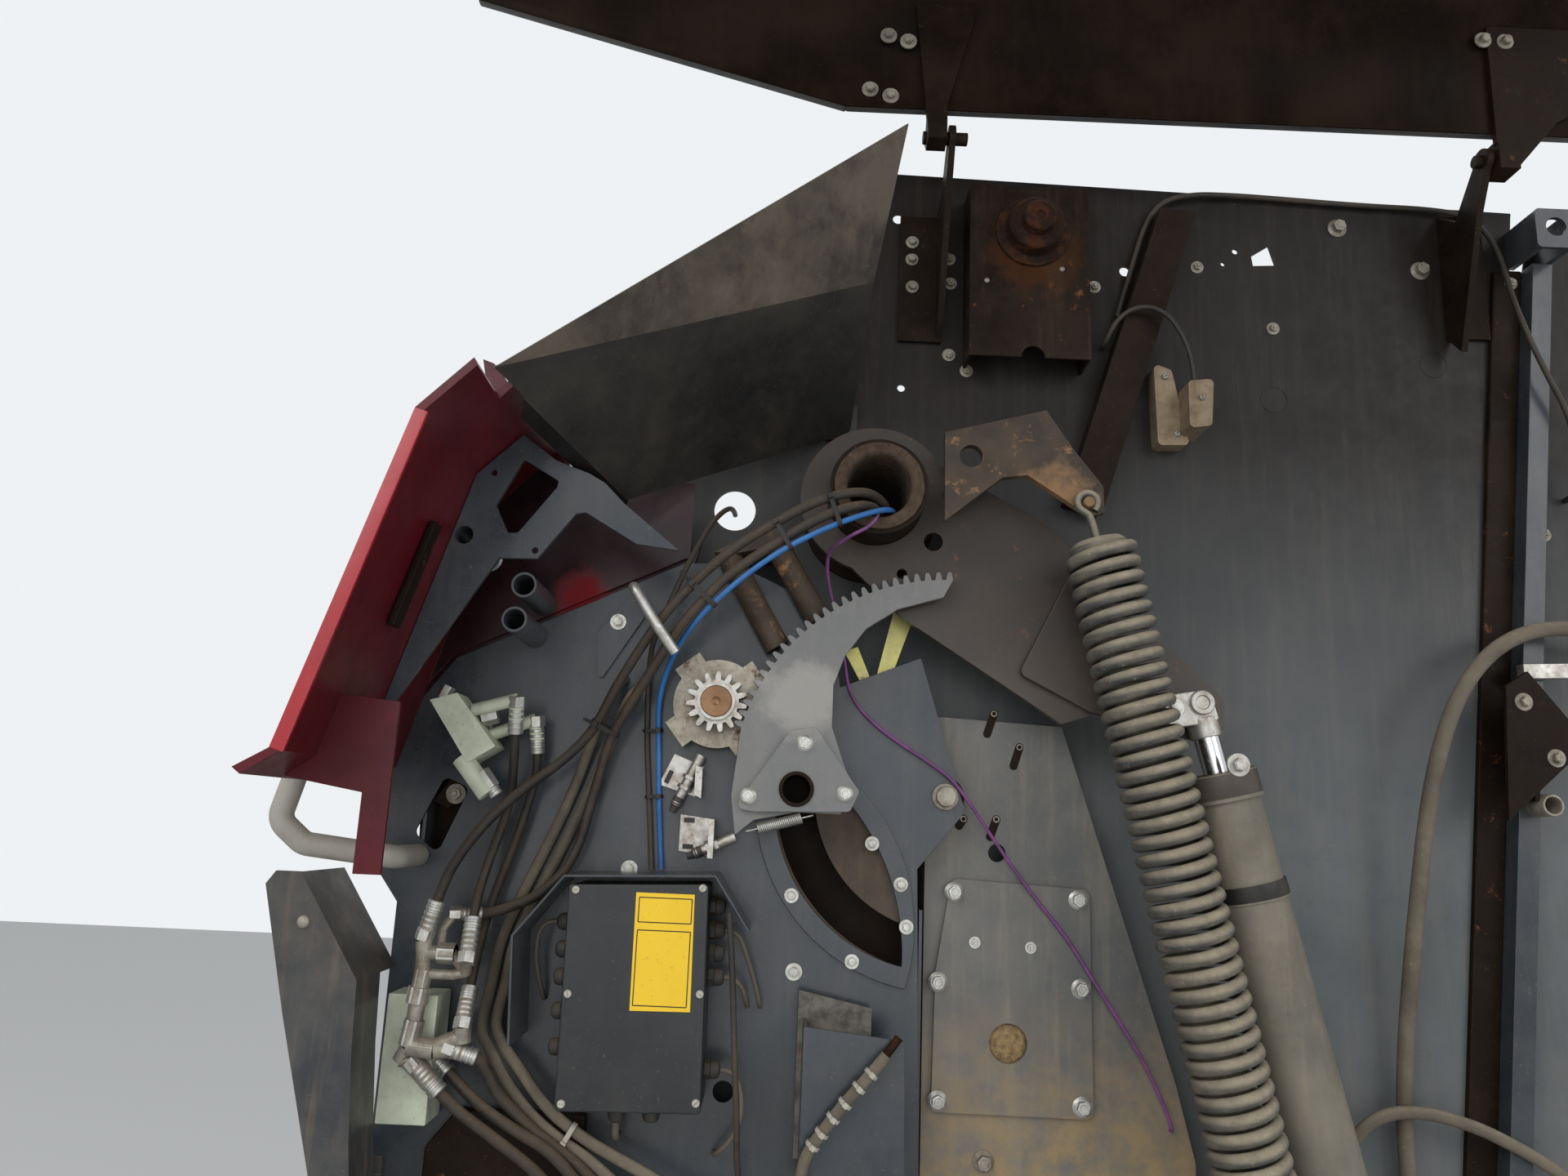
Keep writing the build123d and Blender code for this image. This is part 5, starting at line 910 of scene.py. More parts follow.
@dataclass
class SubAssembly:
    """Pieces that belong together, and the body that most of them ride on."""

    body: str = "frame"

    def keep(self, piece: bpy.types.Object, name: str, look: Look | None = None,
             replaces: tuple[str, ...] = (), body: str | None = None, rides: bool = True) -> bpy.types.Object:
        """Name, finish and seat a piece.

        Args:
            piece: The piece.
            name: Its name.
            look: Its finish, where the piece has none yet.
            replaces: The solids of the shared frame that it stands for.
            body: The body it rides on, where that isn't the sub-assembly's own.
            rides: Whether it rides on one body.

        Returns:
            The same piece.
        """
        if look is not None:
            Bench.paint(piece, look)
        piece.name = name
        piece.data.name = name
        if rides:
            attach(piece, body or self.body)
        if replaces:
            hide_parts(*replaces)
        PIECES.append(piece)
        log.info("%s: %s", type(self).__name__, name)
        return piece

    def refine(self, node: str, look: Look, rounding: float = 0.0012,
               body: str | None = None) -> bpy.types.Object:
        """Round the edges of one of the frame's solids, and finish it.

        Args:
            node: The solid's name.
            look: Its finish.
            rounding: Width of the rounding in metres.
            body: The body it rides on, where that isn't the sub-assembly's own.

        Returns:
            The new piece.
        """
        return self.keep(Bench.from_node(node, rounding), f"{node}_finished", look, (node,), body)

    def fasten(self, name: str, head: Head, across: float, spots: list[Spot], look: Look = Look.ZINC,
               body: str | None = None) -> bpy.types.Object:
        """Set fasteners of one kind in their places, as one piece.

        Args:
            name: The piece's name.
            head: The kind of fastener.
            across: Its size across the flats in millimetres.
            spots: Their places as x, z and out in millimetres.
            look: Their finish.
            body: The body they ride on, where that isn't the sub-assembly's own.

        Returns:
            The new piece.
        """
        master = Hardware.master(head)
        copies = []
        for count, (x, z, out) in enumerate(spots):
            copy = Bench.copy_to(master, at(x, z, out), OUTWARDS, 17.0 + 41.0 * count, across / 10)
            copy.hide_render = False
            copies.append(copy)
        return self.keep(Bench.join(copies), name, look, body=body)

    def second_look(self, piece: bpy.types.Object, look: Look, normal: Vector, least: float,
                    inner: float = -100.0, outer: float = 2000.0) -> None:
        """Give the faces that look one way another finish.

        Args:
            piece: The piece.
            look: The other finish.
            normal: The way those faces look.
            least: How closely they look that way, from 0 to 1.
            inner: Millimetres from the wall below which faces are left alone.
            outer: Millimetres from the wall beyond which faces are left alone.
        """
        piece.data.materials.append(look.value.material())
        other = len(piece.data.materials) - 1
        way = normal.normalized()
        for face in piece.data.polygons:
            if face.normal.dot(way) > least and inner < -1000 * face.center.y < outer:
                face.material_index = other


@dataclass
class Studio:
    """The camera at the photograph's place, the lamps, the floor and the background."""

    eye: Spot = (-0.24, -1.36, 0.9)
    pitch: float = 12.0
    roll: float = 2.5
    lens: float = 25.69
    lamps: list[tuple[Spot, Spot, float, float]] = field(default_factory=lambda: [
        ((-2.4, -3.6, 3.4), (0.0, 0.0, 1.0), 3.2, 95.0),
        ((2.8, -3.4, 2.4), (0.2, 0.0, 0.9), 2.6, 45.0),
        ((-0.2, -3.8, 0.7), (0.0, 0.0, 0.9), 2.4, 20.0),
    ])
    backdrop: Spot = (0.86, 0.88, 0.9)
    ambient: float = 0.5

    def set_camera(self) -> None:
        """Stand the camera where the photograph was taken."""
        pitch, roll = math.radians(self.pitch), math.radians(self.roll)
        level_up = Vector((0.0, -math.sin(pitch), math.cos(pitch)))
        forward = Vector((0.0, math.cos(pitch), math.sin(pitch)))
        side = Vector((1.0, 0.0, 0.0))
        right = side * math.cos(roll) + level_up * math.sin(roll)
        up = level_up * math.cos(roll) - side * math.sin(roll)
        data = bpy.data.cameras.new("view")
        data.sensor_width = 36.0
        data.lens = self.lens
        data.clip_start = 0.02
        camera = bpy.data.objects.new("view", data)
        bpy.context.scene.collection.objects.link(camera)
        camera.matrix_world = Matrix.Translation(self.eye) @ Matrix((right, up, -forward)).transposed().to_4x4()
        bpy.context.scene.camera = camera

    def set_lamps(self) -> None:
        """Hang the soft lamps."""
        for count, (place, target, size, power) in enumerate(self.lamps):
            data = bpy.data.lights.new(f"soft_lamp_{count}", "AREA")
            data.shape = "DISK"
            data.size = size
            data.energy = power
            lamp = bpy.data.objects.new(data.name, data)
            bpy.context.scene.collection.objects.link(lamp)
            way = Vector(target) - Vector(place)
            lamp.matrix_world = Matrix.Translation(place) @ way.to_track_quat("-Z", "Y").to_matrix().to_4x4()

    def set_background(self) -> None:
        """Make the pale background, which light from it doesn't brighten."""
        world = bpy.data.worlds.new("studio")
        world.use_nodes = True
        bpy.context.scene.world = world
        nodes, links = world.node_tree.nodes, world.node_tree.links
        nodes.clear()
        output = nodes.new("ShaderNodeOutputWorld")
        seen, lit = nodes.new("ShaderNodeBackground"), nodes.new("ShaderNodeBackground")
        seen.inputs["Color"].default_value = (*self.backdrop, 1.0)
        lit.inputs["Color"].default_value = (0.93, 0.96, 1.0, 1.0)
        lit.inputs["Strength"].default_value = self.ambient
        rays = nodes.new("ShaderNodeLightPath")
        either, all_three = nodes.new("ShaderNodeMath"), nodes.new("ShaderNodeMath")
        either.operation = all_three.operation = "MAXIMUM"
        links.new(rays.outputs["Is Camera Ray"], either.inputs[0])
        links.new(rays.outputs["Is Glossy Ray"], either.inputs[1])
        links.new(either.outputs[0], all_three.inputs[0])
        links.new(rays.outputs["Is Transmission Ray"], all_three.inputs[1])
        mix = nodes.new("ShaderNodeMixShader")
        links.new(all_three.outputs[0], mix.inputs["Fac"])
        links.new(lit.outputs[0], mix.inputs[1])
        links.new(seen.outputs[0], mix.inputs[2])
        links.new(mix.outputs[0], output.inputs["Surface"])

    def lay_floor(self) -> None:
        """Lay the plain pale floor under the sill."""
        Bench.pick()
        bpy.ops.mesh.primitive_plane_add(size=14, location=(0, 0, CAD_BOX[0][2] - 0.0005))
        floor = Bench.settle(bpy.context.object)
        floor.name = "floor"
        material = bpy.data.materials.new("pale_floor")
        material.use_nodes = True
        shader = material.node_tree.nodes["Principled BSDF"]
        shader.inputs["Base Color"].default_value = (0.72, 0.72, 0.71, 1.0)
        shader.inputs["Roughness"].default_value = 0.8
        floor.data.materials.append(material)

    def build(self) -> None:
        """Set the whole studio up."""
        self.set_camera()
        self.set_lamps()
        self.set_background()
        self.lay_floor()
        bpy.context.scene.view_settings.view_transform = "Standard"


@dataclass(frozen=True)
class Cord:
    """A hose, cable or cord: its name, radius, finish, solid and guide points as x, z and out, in millimetres."""

    name: str
    radius: float
    look: Look
    node: str
    points: tuple[Spot, ...]


CORDS = (
    Cord("pressure_hose", 5.5, Look.HOSE, "hydraulic_hoses", (
        (-121.5, 1258, -26), (-121.3, 1258.4, 30), (-121, 1258.8, 84), (-127.5, 1265.5, 124), (-147, 1270.5, 152),
        (-174, 1264, 172), (-210, 1250, 176), (-248, 1229, 171), (-287, 1204, 166), (-318, 1179, 161),
        (-347, 1149, 156), (-374, 1116, 152), (-398, 1078, 144), (-422, 1038, 130), (-442, 996, 116),
        (-473, 961, 112), (-513, 929, 120), (-544, 896, 132), (-568, 861, 140), (-584, 828, 142), (-592, 795, 142))),
    Cord("return_hose", 5.5, Look.HOSE, "hydraulic_hoses", (
        (-132, 1253, -26), (-132.3, 1252.7, 30), (-132.5, 1252.7, 84), (-133, 1255, 124), (-148, 1254.5, 157),
        (-172, 1247, 174), (-204, 1233, 173), (-237, 1213, 167), (-274, 1188, 163), (-305, 1164, 158),
        (-332, 1136, 151), (-357, 1104, 143), (-378, 1067, 137), (-404, 1026, 122), (-427, 985, 106), (-436, 946, 98),
        (-445, 910, 94), (-452, 872, 94), (-467, 839, 97), (-493, 814, 100), (-522, 801, 105), (-546, 794, 112),
        (-561, 794, 116))),
    Cord("branch_hose_a", 6, Look.DIRTY_HOSE, "hydraulic_hoses", (
        (-420, 1058, 70.2), (-420, 1058, 79), (-422.4, 1052, 89.5), (-427, 1041, 95.5), (-435, 1019, 96),
        (-446, 991, 91), (-456, 961, 84), (-465, 933, 80), (-481, 891, 79), (-499, 849, 79), (-518, 804, 79),
        (-533, 764, 80), (-537, 721, 83), (-543, 674, 96), (-526, 654, 103), (-513, 633, 106), (-494, 610, 106),
        (-472, 590, 108), (-446, 573, 110), (-417, 558, 111), (-369, 522, 112), (-340, 500, 110),
        (-313.2, 490.5, 105), (-303, 481, 97.5), (-296, 474, 84), (-296, 474, 70.2))),
    Cord("branch_hose_b", 6, Look.DIRTY_HOSE, "hydraulic_hoses", (
        (-405, 1044, 70.2), (-405, 1044, 79), (-407.4, 1038, 89.5), (-412, 1027, 95.5), (-420, 1005, 96),
        (-430, 978, 90.5), (-440, 949, 84), (-452, 920, 80), (-467, 882, 79), (-484, 843, 79), (-503, 802, 79.5),
        (-519, 763, 80), (-522, 721, 83), (-529, 680, 92), (-515, 660, 101), (-495, 639, 104), (-477, 617, 105),
        (-457, 598, 107), (-431, 581, 109), (-403, 566, 110), (-344, 540, 111), (-312, 520, 110), (-281.2, 509, 105),
        (-271, 499, 97.5), (-264, 492, 84), (-264, 492, 70.2))),
    Cord("valve_hose_a", 5, Look.HOSE, "hydraulic_hoses", (
        (-527, 1000, 128), (-528, 973, 120), (-529, 942, 108), (-533, 906, 99), (-543, 869, 102), (-549, 834, 116),
        (-551, 805, 131), (-550, 779, 142))),
    Cord("valve_hose_b", 5, Look.HOSE, "hydraulic_hoses", (
        (-508, 981, 100), (-505, 952, 95), (-512, 918, 91), (-521, 882, 91), (-532, 844, 90), (-543, 809, 91),
        (-548, 776, 100), (-550, 743, 113), (-550, 709, 130))),
    Cord("tee_hose", 6, Look.HOSE, "hydraulic_hoses", (
        (-547, 659, 138), (-531, 655, 136), (-522, 639, 129), (-513, 620, 125), (-495, 603, 123), (-473, 585, 122),
        (-447, 568, 122), (-420, 551, 121), (-381, 510, 117), (-358, 484, 113), (-341.7, 465.8, 105),
        (-333, 456, 97.5), (-328, 448, 84), (-328, 448, 70.2))),
    Cord("elbow_hose_a", 6, Look.HOSE, "hydraulic_hoses", (
        (-578, 629, 136), (-555, 608, 137), (-524, 589, 138), (-489, 568, 139), (-457, 545, 136), (-434, 515, 131),
        (-419, 484, 121), (-411.7, 453.8, 109.6), (-403, 438.7, 99.6), (-398, 430, 83.3), (-398, 430, 70.2))),
    Cord("elbow_hose_b", 6, Look.HOSE, "hydraulic_hoses", (
        (-578, 644, 112), (-556, 624, 113), (-525, 603, 123), (-489, 586, 132), (-452, 570, 135), (-421, 540, 134),
        (-398, 512, 128), (-383, 484, 119), (-375.7, 461.8, 109.6), (-367, 446.7, 99.6), (-362, 438, 83.3),
        (-362, 438, 70.2))),
    Cord("lever_hose", 6, Look.DIRTY_HOSE, "hydraulic_hoses", (
        (-116, 678, 158), (-135, 656, 160), (-156, 633, 160), (-177, 606, 158), (-196, 579, 156), (-199, 550, 156.5),
        (-202, 523, 150), (-205, 501, 132), (-206.5, 488, 102), (-206.5, 488, 70.2))),
    Cord("rear_hose", 9, Look.DIRTY_HOSE, "rear_hoses", (
        (782, 1152, 0.2), (782, 1152, 15), (772.4, 1154.8, 32.5), (755.8, 1159.6, 43.5), (728, 1166, 53),
        (694, 1170, 60), (639, 1163, 62), (590, 1134, 66), (552, 1088, 68), (525, 1026, 66), (509, 951, 58),
        (499, 869, 48), (490, 778, 36), (482, 679, 24), (478, 580, 17), (484, 470, 17), (486, 413, 21),
        (488, 359, 28), (488.5, 315, 34), (489, 281, 36.5), (489, 262, 36.5), (489, 247, 28), (489, 240, 13),
        (489, 240, 0.2))),
    Cord("rear_low_hose", 7, Look.DIRTY_HOSE, "rear_hoses", (
        (381, 446, 0.2), (381, 446, 12), (382, 453.5, 24.5), (384, 466, 32), (387, 488, 35), (390, 520, 35.5),
        (396, 556, 35.5), (413, 592, 35), (446, 618, 36), (492, 622, 38), (547, 609, 39), (592, 589, 39),
        (622, 573, 39), (648, 556, 38), (672.8, 541.5, 34), (685.6, 534.2, 26), (693, 530, 12.3), (693, 530, 0.2))),
    Cord("blue_cable", 3.2, Look.BLUE, "cables", (
        (-110.8, 1264.5, -26), (-110.6, 1265, 20), (-111, 1264.6, 72), (-117, 1257, 124), (-129, 1251, 158),
        (-158, 1238, 175), (-196, 1222, 174), (-240, 1199, 168), (-276, 1173, 163), (-306, 1147, 157),
        (-335, 1118, 145), (-354, 1094, 124), (-369, 1068, 98), (-378, 1032, 80), (-375, 991, 75), (-372, 938, 75),
        (-368, 895, 75), (-363, 846.6, 75))),
    Cord("black_cable", 3.2, Look.CABLE, "cables", (
        (-306, 1284, -14), (-307, 1284, 14), (-314, 1276, 42), (-326, 1256, 66), (-338, 1226, 88), (-350, 1192, 108),
        (-362, 1156, 120), (-374, 1124, 120), (-386, 1098, 104), (-390, 1076, 86), (-391, 1039, 76), (-389, 993, 74),
        (-384, 943, 74), (-379, 898, 74), (-374, 846, 75))),
    Cord("box_side_cable", 3.2, Look.CABLE, "cables", (
        (-282, 810, 158), (-277, 768, 160), (-273, 721, 160), (-269, 666, 158), (-264, 611, 152), (-263, 575, 140),
        (-260, 545, 123), (-256, 520, 108), (-251.7, 502.2, 98.4), (-248.1, 490.7, 91.4), (-246, 484, 79.3),
        (-246, 484, 70.2))),
    Cord("top_edge_cable", 3.5, Look.CABLE, "cables", (
        (179, 1568, 8), (198, 1634, 9), (219, 1704, 9), (240, 1735, 11), (280, 1748, 12), (336, 1750, 10),
        (400, 1749, 8), (466, 1746, 8), (530, 1744, 8), (590, 1743, 9), (638, 1737, 11), (668, 1716, 13),
        (683, 1682, 15), (685, 1646, 22), (683, 1606, 34), (686, 1568, 43), (696, 1530, 46), (710, 1493, 46),
        (730, 1451, 44), (739, 1412, 41), (743, 1388, 37), (745, 1366.5, 30.8), (745.5, 1353.5, 22.8),
        (746, 1346, 10.3), (746, 1346, 0.2))),
    Cord("sensor_cable", 3, Look.CABLE, "cables", (
        (160, 1526, 0.2), (160, 1526, 12), (163, 1535, 24.5), (170, 1550, 34), (186, 1564, 40), (210, 1568, 43),
        (232, 1556, 46), (247, 1532, 48), (256, 1508, 49), (261, 1484, 48), (262, 1464, 48))),
    Cord("left_gland_cable", 2.6, Look.GREY_CABLE, "cables", (
        (-467.2, 790, 110), (-474, 790, 110), (-481.8, 785.5, 110), (-486.3, 777.7, 109), (-487.8, 765, 106.5),
        (-488, 749, 102), (-485.5, 732, 95.5), (-482.3, 718.2, 88.6), (-481.5, 710.5, 84.1), (-481, 706, 76.5),
        (-481, 706, 70.2))),
    Cord("high_gland_cable", 2.6, Look.GREY_CABLE, "cables", (
        (-286.8, 788, 110), (-280, 788, 110), (-272.2, 783.5, 110), (-267.7, 775.7, 109), (-263, 763, 106),
        (-257, 747, 101), (-252, 731, 95), (-248.5, 718, 88.6), (-247, 711, 84.1), (-246.3, 707, 76.5),
        (-246.3, 707, 70.2))),
    Cord("middle_gland_cable", 2.6, Look.GREY_CABLE, "cables", (
        (-285.8, 740, 110), (-279, 740, 110), (-271.2, 736, 109), (-265, 728, 105), (-262.5, 719, 99),
        (-261, 711, 89), (-260, 707, 78), (-260, 707, 70.2))),
    Cord("low_gland_cable", 2.6, Look.GREY_CABLE, "cables", (
        (-284.3, 648, 110), (-277.5, 648, 110), (-269.7, 643.5, 110.5), (-264.5, 635.5, 111.5), (-260.5, 620, 112),
        (-261, 600, 111), (-268, 583, 107), (-279, 569, 99), (-285.5, 561.5, 90.5), (-288.5, 558, 79),
        (-288.5, 558, 70.2))),
    Cord("bottom_gland_cable", 4, Look.GREY_CABLE, "cables", (
        (-390, 593.2, 110), (-390, 585, 110), (-390, 577.5, 104.5), (-390.3, 573, 95), (-390.4, 571.6, 83.4),
        (-390.4, 571.6, 70.2))),
    Cord("purple_cord", 2, Look.PURPLE, "purple_cord", (
        (-138, 1247.2, -26), (-138.3, 1247.2, 16), (-138, 1247.2, 64), (-138.3, 1247.1, 112), (-138, 1247.2, 136),
        (-138.5, 1247.1, 154.5), (-140, 1238, 166), (-149, 1226, 170), (-166, 1218, 166), (-180, 1212, 150),
        (-191, 1206, 132), (-192, 1190, 108), (-186, 1168, 88), (-176, 1136, 79), (-167, 1093, 76), (-160, 1052, 75),
        (-136, 1023, 75), (-101, 998, 75), (-64, 977, 75), (-38, 958, 76), (-17, 931, 72), (8, 899, 58),
        (36, 862, 51), (65, 825, 51), (94, 792, 51), (120, 752, 51), (145, 715, 51), (168, 680, 51), (183, 654, 51),
        (197, 624, 51.2), (204, 607, 51.2), (206.6, 598.5, 50.5), (208.1, 594.4, 48), (209, 592, 44),
        (209, 592, 40.2))),
)


@dataclass(frozen=True)
class Tie:
    """A cable tie: the cords in it, a spot near it in millimetres, its width, finish and tail."""

    name: str
    cords: tuple[str, ...]
    spot: Spot
    width: float = 4.5
    look: Look = Look.TIE
    tail: float = 9.0


@dataclass
class Cords(SubAssembly):
    """Hoses, cables and the purple cord, with the ties that hold them."""

    ties: tuple[Tie, ...] = (
        Tie("tie_by_tube", ("pressure_hose", "return_hose", "blue_cable"), (-192, 1250, 174), 5.0, tail=14.0),
        Tie("tie_on_slope", ("pressure_hose", "return_hose", "blue_cable"), (-244, 1218, 170), 5.0, tail=6.0),
        Tie("tie_by_hook", ("pressure_hose", "return_hose", "blue_cable"), (-333, 1150, 156), 6.0, tail=16.0),
        Tie("tie_at_crossing", ("pressure_hose", "return_hose"), (-430, 996, 112), 5.0, tail=12.0),
        Tie("tie_blue_high", ("blue_cable", "black_cable"), (-380, 1000, 75), 3.5, Look.TIE, 6.0),
        Tie("tie_blue_low", ("blue_cable", "black_cable"), (-374, 925, 75), 3.5, Look.TIE, 6.0),
        Tie("tie_on_pair", ("branch_hose_a", "branch_hose_b"), (-440, 575, 110), 5.0, Look.PALE_TIE, 10.0),
        Tie("lever_tie_a", ("lever_hose",), (-133, 661, 158), 4.0, Look.PALE_TIE, 5.0),
        Tie("lever_tie_b", ("lever_hose",), (-146, 648, 158), 4.0, Look.PALE_TIE, 4.0),
        Tie("lever_tie_c", ("lever_hose",), (-160, 633, 158), 4.0, Look.PALE_TIE, 6.0),
        Tie("lever_tie_d", ("lever_hose",), (-171, 620, 158), 4.0, Look.PALE_TIE, 4.0),
        Tie("lever_tie_e", ("lever_hose",), (-181, 606, 158), 4.0, Look.PALE_TIE, 5.0),
        Tie("lever_tie_f", ("lever_hose",), (-191, 592, 158), 4.0, Look.PALE_TIE, 4.0),
    )
    band_gap: float = 0.0003
    band_thickness: float = 0.0013
    lock_rise: float = 0.0024
    lock_half: float = 0.0028
    lock_height: float = 0.0042
    lines: dict[str, list[Vector]] = field(default_factory=dict)
    radii: dict[str, float] = field(default_factory=dict)

    def lay(self, cord: Cord) -> None:
        """Lay one cord, and note the line that its smooth curve takes.

        Args:
            cord: The cord.
        """
        radius = cord.radius / 1000
        piece = Bench.line([at(*point) for point in cord.points], radius)
        piece.data.bevel_depth = 0.0
        piece.data.use_fill_caps = False
        reading = bpy.data.meshes.new_from_object(piece)
        self.lines[cord.name] = [vertex.co.copy() for vertex in reading.vertices]
        self.radii[cord.name] = radius
        bpy.data.meshes.remove(reading)
        piece.data.bevel_depth = radius
        piece.data.use_fill_caps = True
        self.keep(piece, cord.name, cord.look, (cord.node,))

    def crossing(self, name: str, centre: Vector, way: Vector) -> Vector:
        """Find where a cord goes through the plane of a tie.

        Args:
            name: The cord's name.
            centre: A point in the plane.
            way: The plane's normal.

        Returns:
            The point of the cord's line in that plane.
        """
        line = [point for point in self.lines[name] if (point - centre).length < 0.06]
        nearest = min(line, key=lambda point: abs((point - centre).dot(way)))
        return nearest - way * (nearest - centre).dot(way)

    def bind(self, tie: Tie) -> None:
        """Draw a band tight round the cords of a tie, with its lock and tail.

        Args:
            tie: The tie.
        """
        spot = at(*tie.spot)
        line = self.lines[tie.cords[0]]
        index = min(range(1, len(line) - 1), key=lambda step: (line[step] - spot).length)
        centre, way = line[index], (line[index + 1] - line[index - 1]).normalized()
        across = way.cross(OUTWARDS).normalized()
        out = across.cross(way)
        rim: list[Flat] = []
        for name in tie.cords:
            middle = self.crossing(name, centre, way) - centre
            reach = self.radii[name] + self.band_gap
            for step in range(20):
                turn = 2 * math.pi * step / 20
                rim.append((middle.dot(across) + reach * math.cos(turn), middle.dot(out) + reach * math.sin(turn)))
        hull = self.hull(rim)
        Bench.pick()
        bpy.ops.mesh.primitive_circle_add(vertices=len(hull), radius=0.01, fill_type="NOTHING")
        band = bpy.context.object
        half = tie.width / 2000
        for vertex, (u, v) in zip(band.data.vertices, hull):
            vertex.co = centre + across * u + out * v - way * half
        Bench.edit(band, "EDGE")
        bpy.ops.mesh.extrude_region_move(TRANSFORM_OT_translate={"value": tuple(way * 2 * half)})
        Bench.close(band)
        wall = band.modifiers.new("thickness", "SOLIDIFY")
        wall.thickness = self.band_thickness
        wall.offset = 1.0
        bpy.ops.object.modifier_apply(modifier=wall.name)
        bpy.ops.object.shade_smooth_by_angle(angle=math.radians(40))
        u, v = max(hull, key=lambda corner: corner[1])
        seat = centre + across * u + out * (v + self.lock_rise)
        side = across * self.lock_half
        lock = Bench.bar(seat - side, seat + side, (tie.width + 1.5) / 1000, self.lock_height, 0.0006, out)
        end = seat + across * tie.tail / 1000 + out * tie.tail / 1500
        tail = Bench.bar(seat, end, tie.width / 1300, 0.001, 0.0002, out)
        self.keep(Bench.join([lock, tail, band]), tie.name, tie.look)

    @staticmethod
    def hull(points: list[Flat]) -> list[Flat]:
        """Find the tight loop round flat points.

        Args:
            points: The points.

        Returns:
            The corners of the loop, in order.
        """
        rising = sorted(set(points))
        loop: list[Flat] = []
        for ordered in (rising, rising[::-1]):
            start = len(loop)
            for point in ordered:
                while len(loop) >= start + 2:
                    (ax, ay), (bx, by) = loop[-2], loop[-1]
                    if (bx - ax) * (point[1] - ay) - (by - ay) * (point[0] - ax) > 0:
                        break
                    loop.pop()
                loop.append(point)
            loop.pop()
        return loop

    def build(self) -> None:
        """Lay every cord, then bind them."""
        for cord in CORDS:
            self.lay(cord)
        for tie in self.ties:
            self.bind(tie)


@dataclass
class Wall(SubAssembly):
    """The side wall, its sill, posts and rear plates."""

    large_bolts: list[Spot] = field(default_factory=lambda: [(479, 1714, 0), (586, 1657, 0)])
    small_bolts: list[Spot] = field(default_factory=lambda: [
        (289, 1648, 0), (386, 1565, 0), (-40, 1644, 0), (-38, 1609, 0), (-39, 1508, 0), (152, 1613, 0),
        (-16, 1487, 0), (700, 1640, 8), (716, 1300, 0), (752, 1120, 0)])
    rib: list[Flat] = field(default_factory=lambda: [(503, 150), (680, 1660), (718, 1660), (537.5, 150)])
    marks: list[Flat] = field(default_factory=lambda: [(594, 1524), (383, 1466)])

    def build(self) -> None:
        """Build the wall's pieces."""
        self.refine("main_wall", Look.WALL)
        self.refine("sill_rail", Look.SHEET, 0.0025)
        self.refine("rear_post", Look.SHEET)
        self.refine("rear_plate", Look.WALL)
        self.refine("rear_lugs", Look.SHEET)
        self.refine("triangle_bracket", Look.BROWNED)
        self.keep(Bench.cut_plate(self.rib, -1, 9, 0.0035), "wall_rib", Look.BROWNED)
        self.fasten("wall_bolts", Head.FLANGE, 15, self.large_bolts, Look.DULL_ZINC)
        self.fasten("wall_screws", Head.NUT, 9, self.small_bolts, Look.DULL_ZINC)
        rings = [Bench.lathe([(16.4, -0.5), (18.2, -0.5), (17.9, 0.5), (16.8, 0.5)], at(x, z, 0), OUTWARDS, 48)
                 for x, z in self.marks]
        self.keep(Bench.join(rings), "pressed_rings", Look.WALL)
        self.fasten("triangle_bolts", Head.HEX, 11, [(631, 1079, 58), (663, 1015, 58)], Look.DULL_ZINC)
        stub = Bench.lathe([(9, 0), (13, 0), (13, 56), (12, 58), (10, 58), (9, 56)], at(655, 961, 0))
        self.keep(stub, "pipe_stub", Look.DULL_ZINC)
        block = Bench.cut_plate([(646, 1109), (646, 1127), (702, 1130), (702, 1112)], 28, 14, 0.0012)
        self.keep(block, "zinc_block", Look.STEEL)


@dataclass
class WallTop(SubAssembly):
    """The roller bearing plate with its rusty hub, hinge brackets, brace and sensor box."""

    hub_centre: Flat = (60, 1660)

    def hub(self) -> None:
        """Turn the rusty hub, with its shoulder, cap and centre hole."""
        profile = [(0, -0.5), (48, -0.5), (48, 4), (45, 5.5), (38, 7), (36.5, 10), (35, 24), (33, 26), (24, 28),
                   (21.5, 30), (20.5, 43), (18.5, 45), (6, 45), (4, 41), (0, 40)]
        hub = Bench.lathe(profile, at(*self.hub_centre, 50), OUTWARDS, 64)
        self.keep(hub, "rusty_hub", Look.RUST, ("roller_hub",))

    def build(self) -> None:
        """Build what the wall's top carries."""
        self.refine("roller_bearing_plate", Look.HUB_PLATE)
        self.hub()
        self.refine("hinge_bracket_front", Look.BROWNED)
        self.refine("hinge_bracket_rear", Look.BROWNED)
        self.refine("diagonal_brace", Look.BROWNED, 0.002)
        self.refine("sensor_box", Look.SENSOR_BOX, 0.0015)
        self.fasten("hinge_bolts", Head.FLANGE, 12, [(628, 1706, 6), (629, 1638, 6), (625, 1588, 6)], Look.STEEL)
        self.fasten("front_hinge_bolts", Head.HEX, 9, [(-90, 1663, 6), (-90, 1638, 6), (-89, 1599, 6)],
                    Look.DULL_ZINC)
        self.fasten("hub_screws", Head.BUTTON, 7, [(1, 1590, 50), (97, 1610, 50)], Look.DULL_ZINC)
        self.fasten("sensor_box_screws", Head.SLOTTED, 8, [(233, 1480, 26), (246, 1404, 26), (266, 1440, 60)],
                    Look.DULL_ZINC)


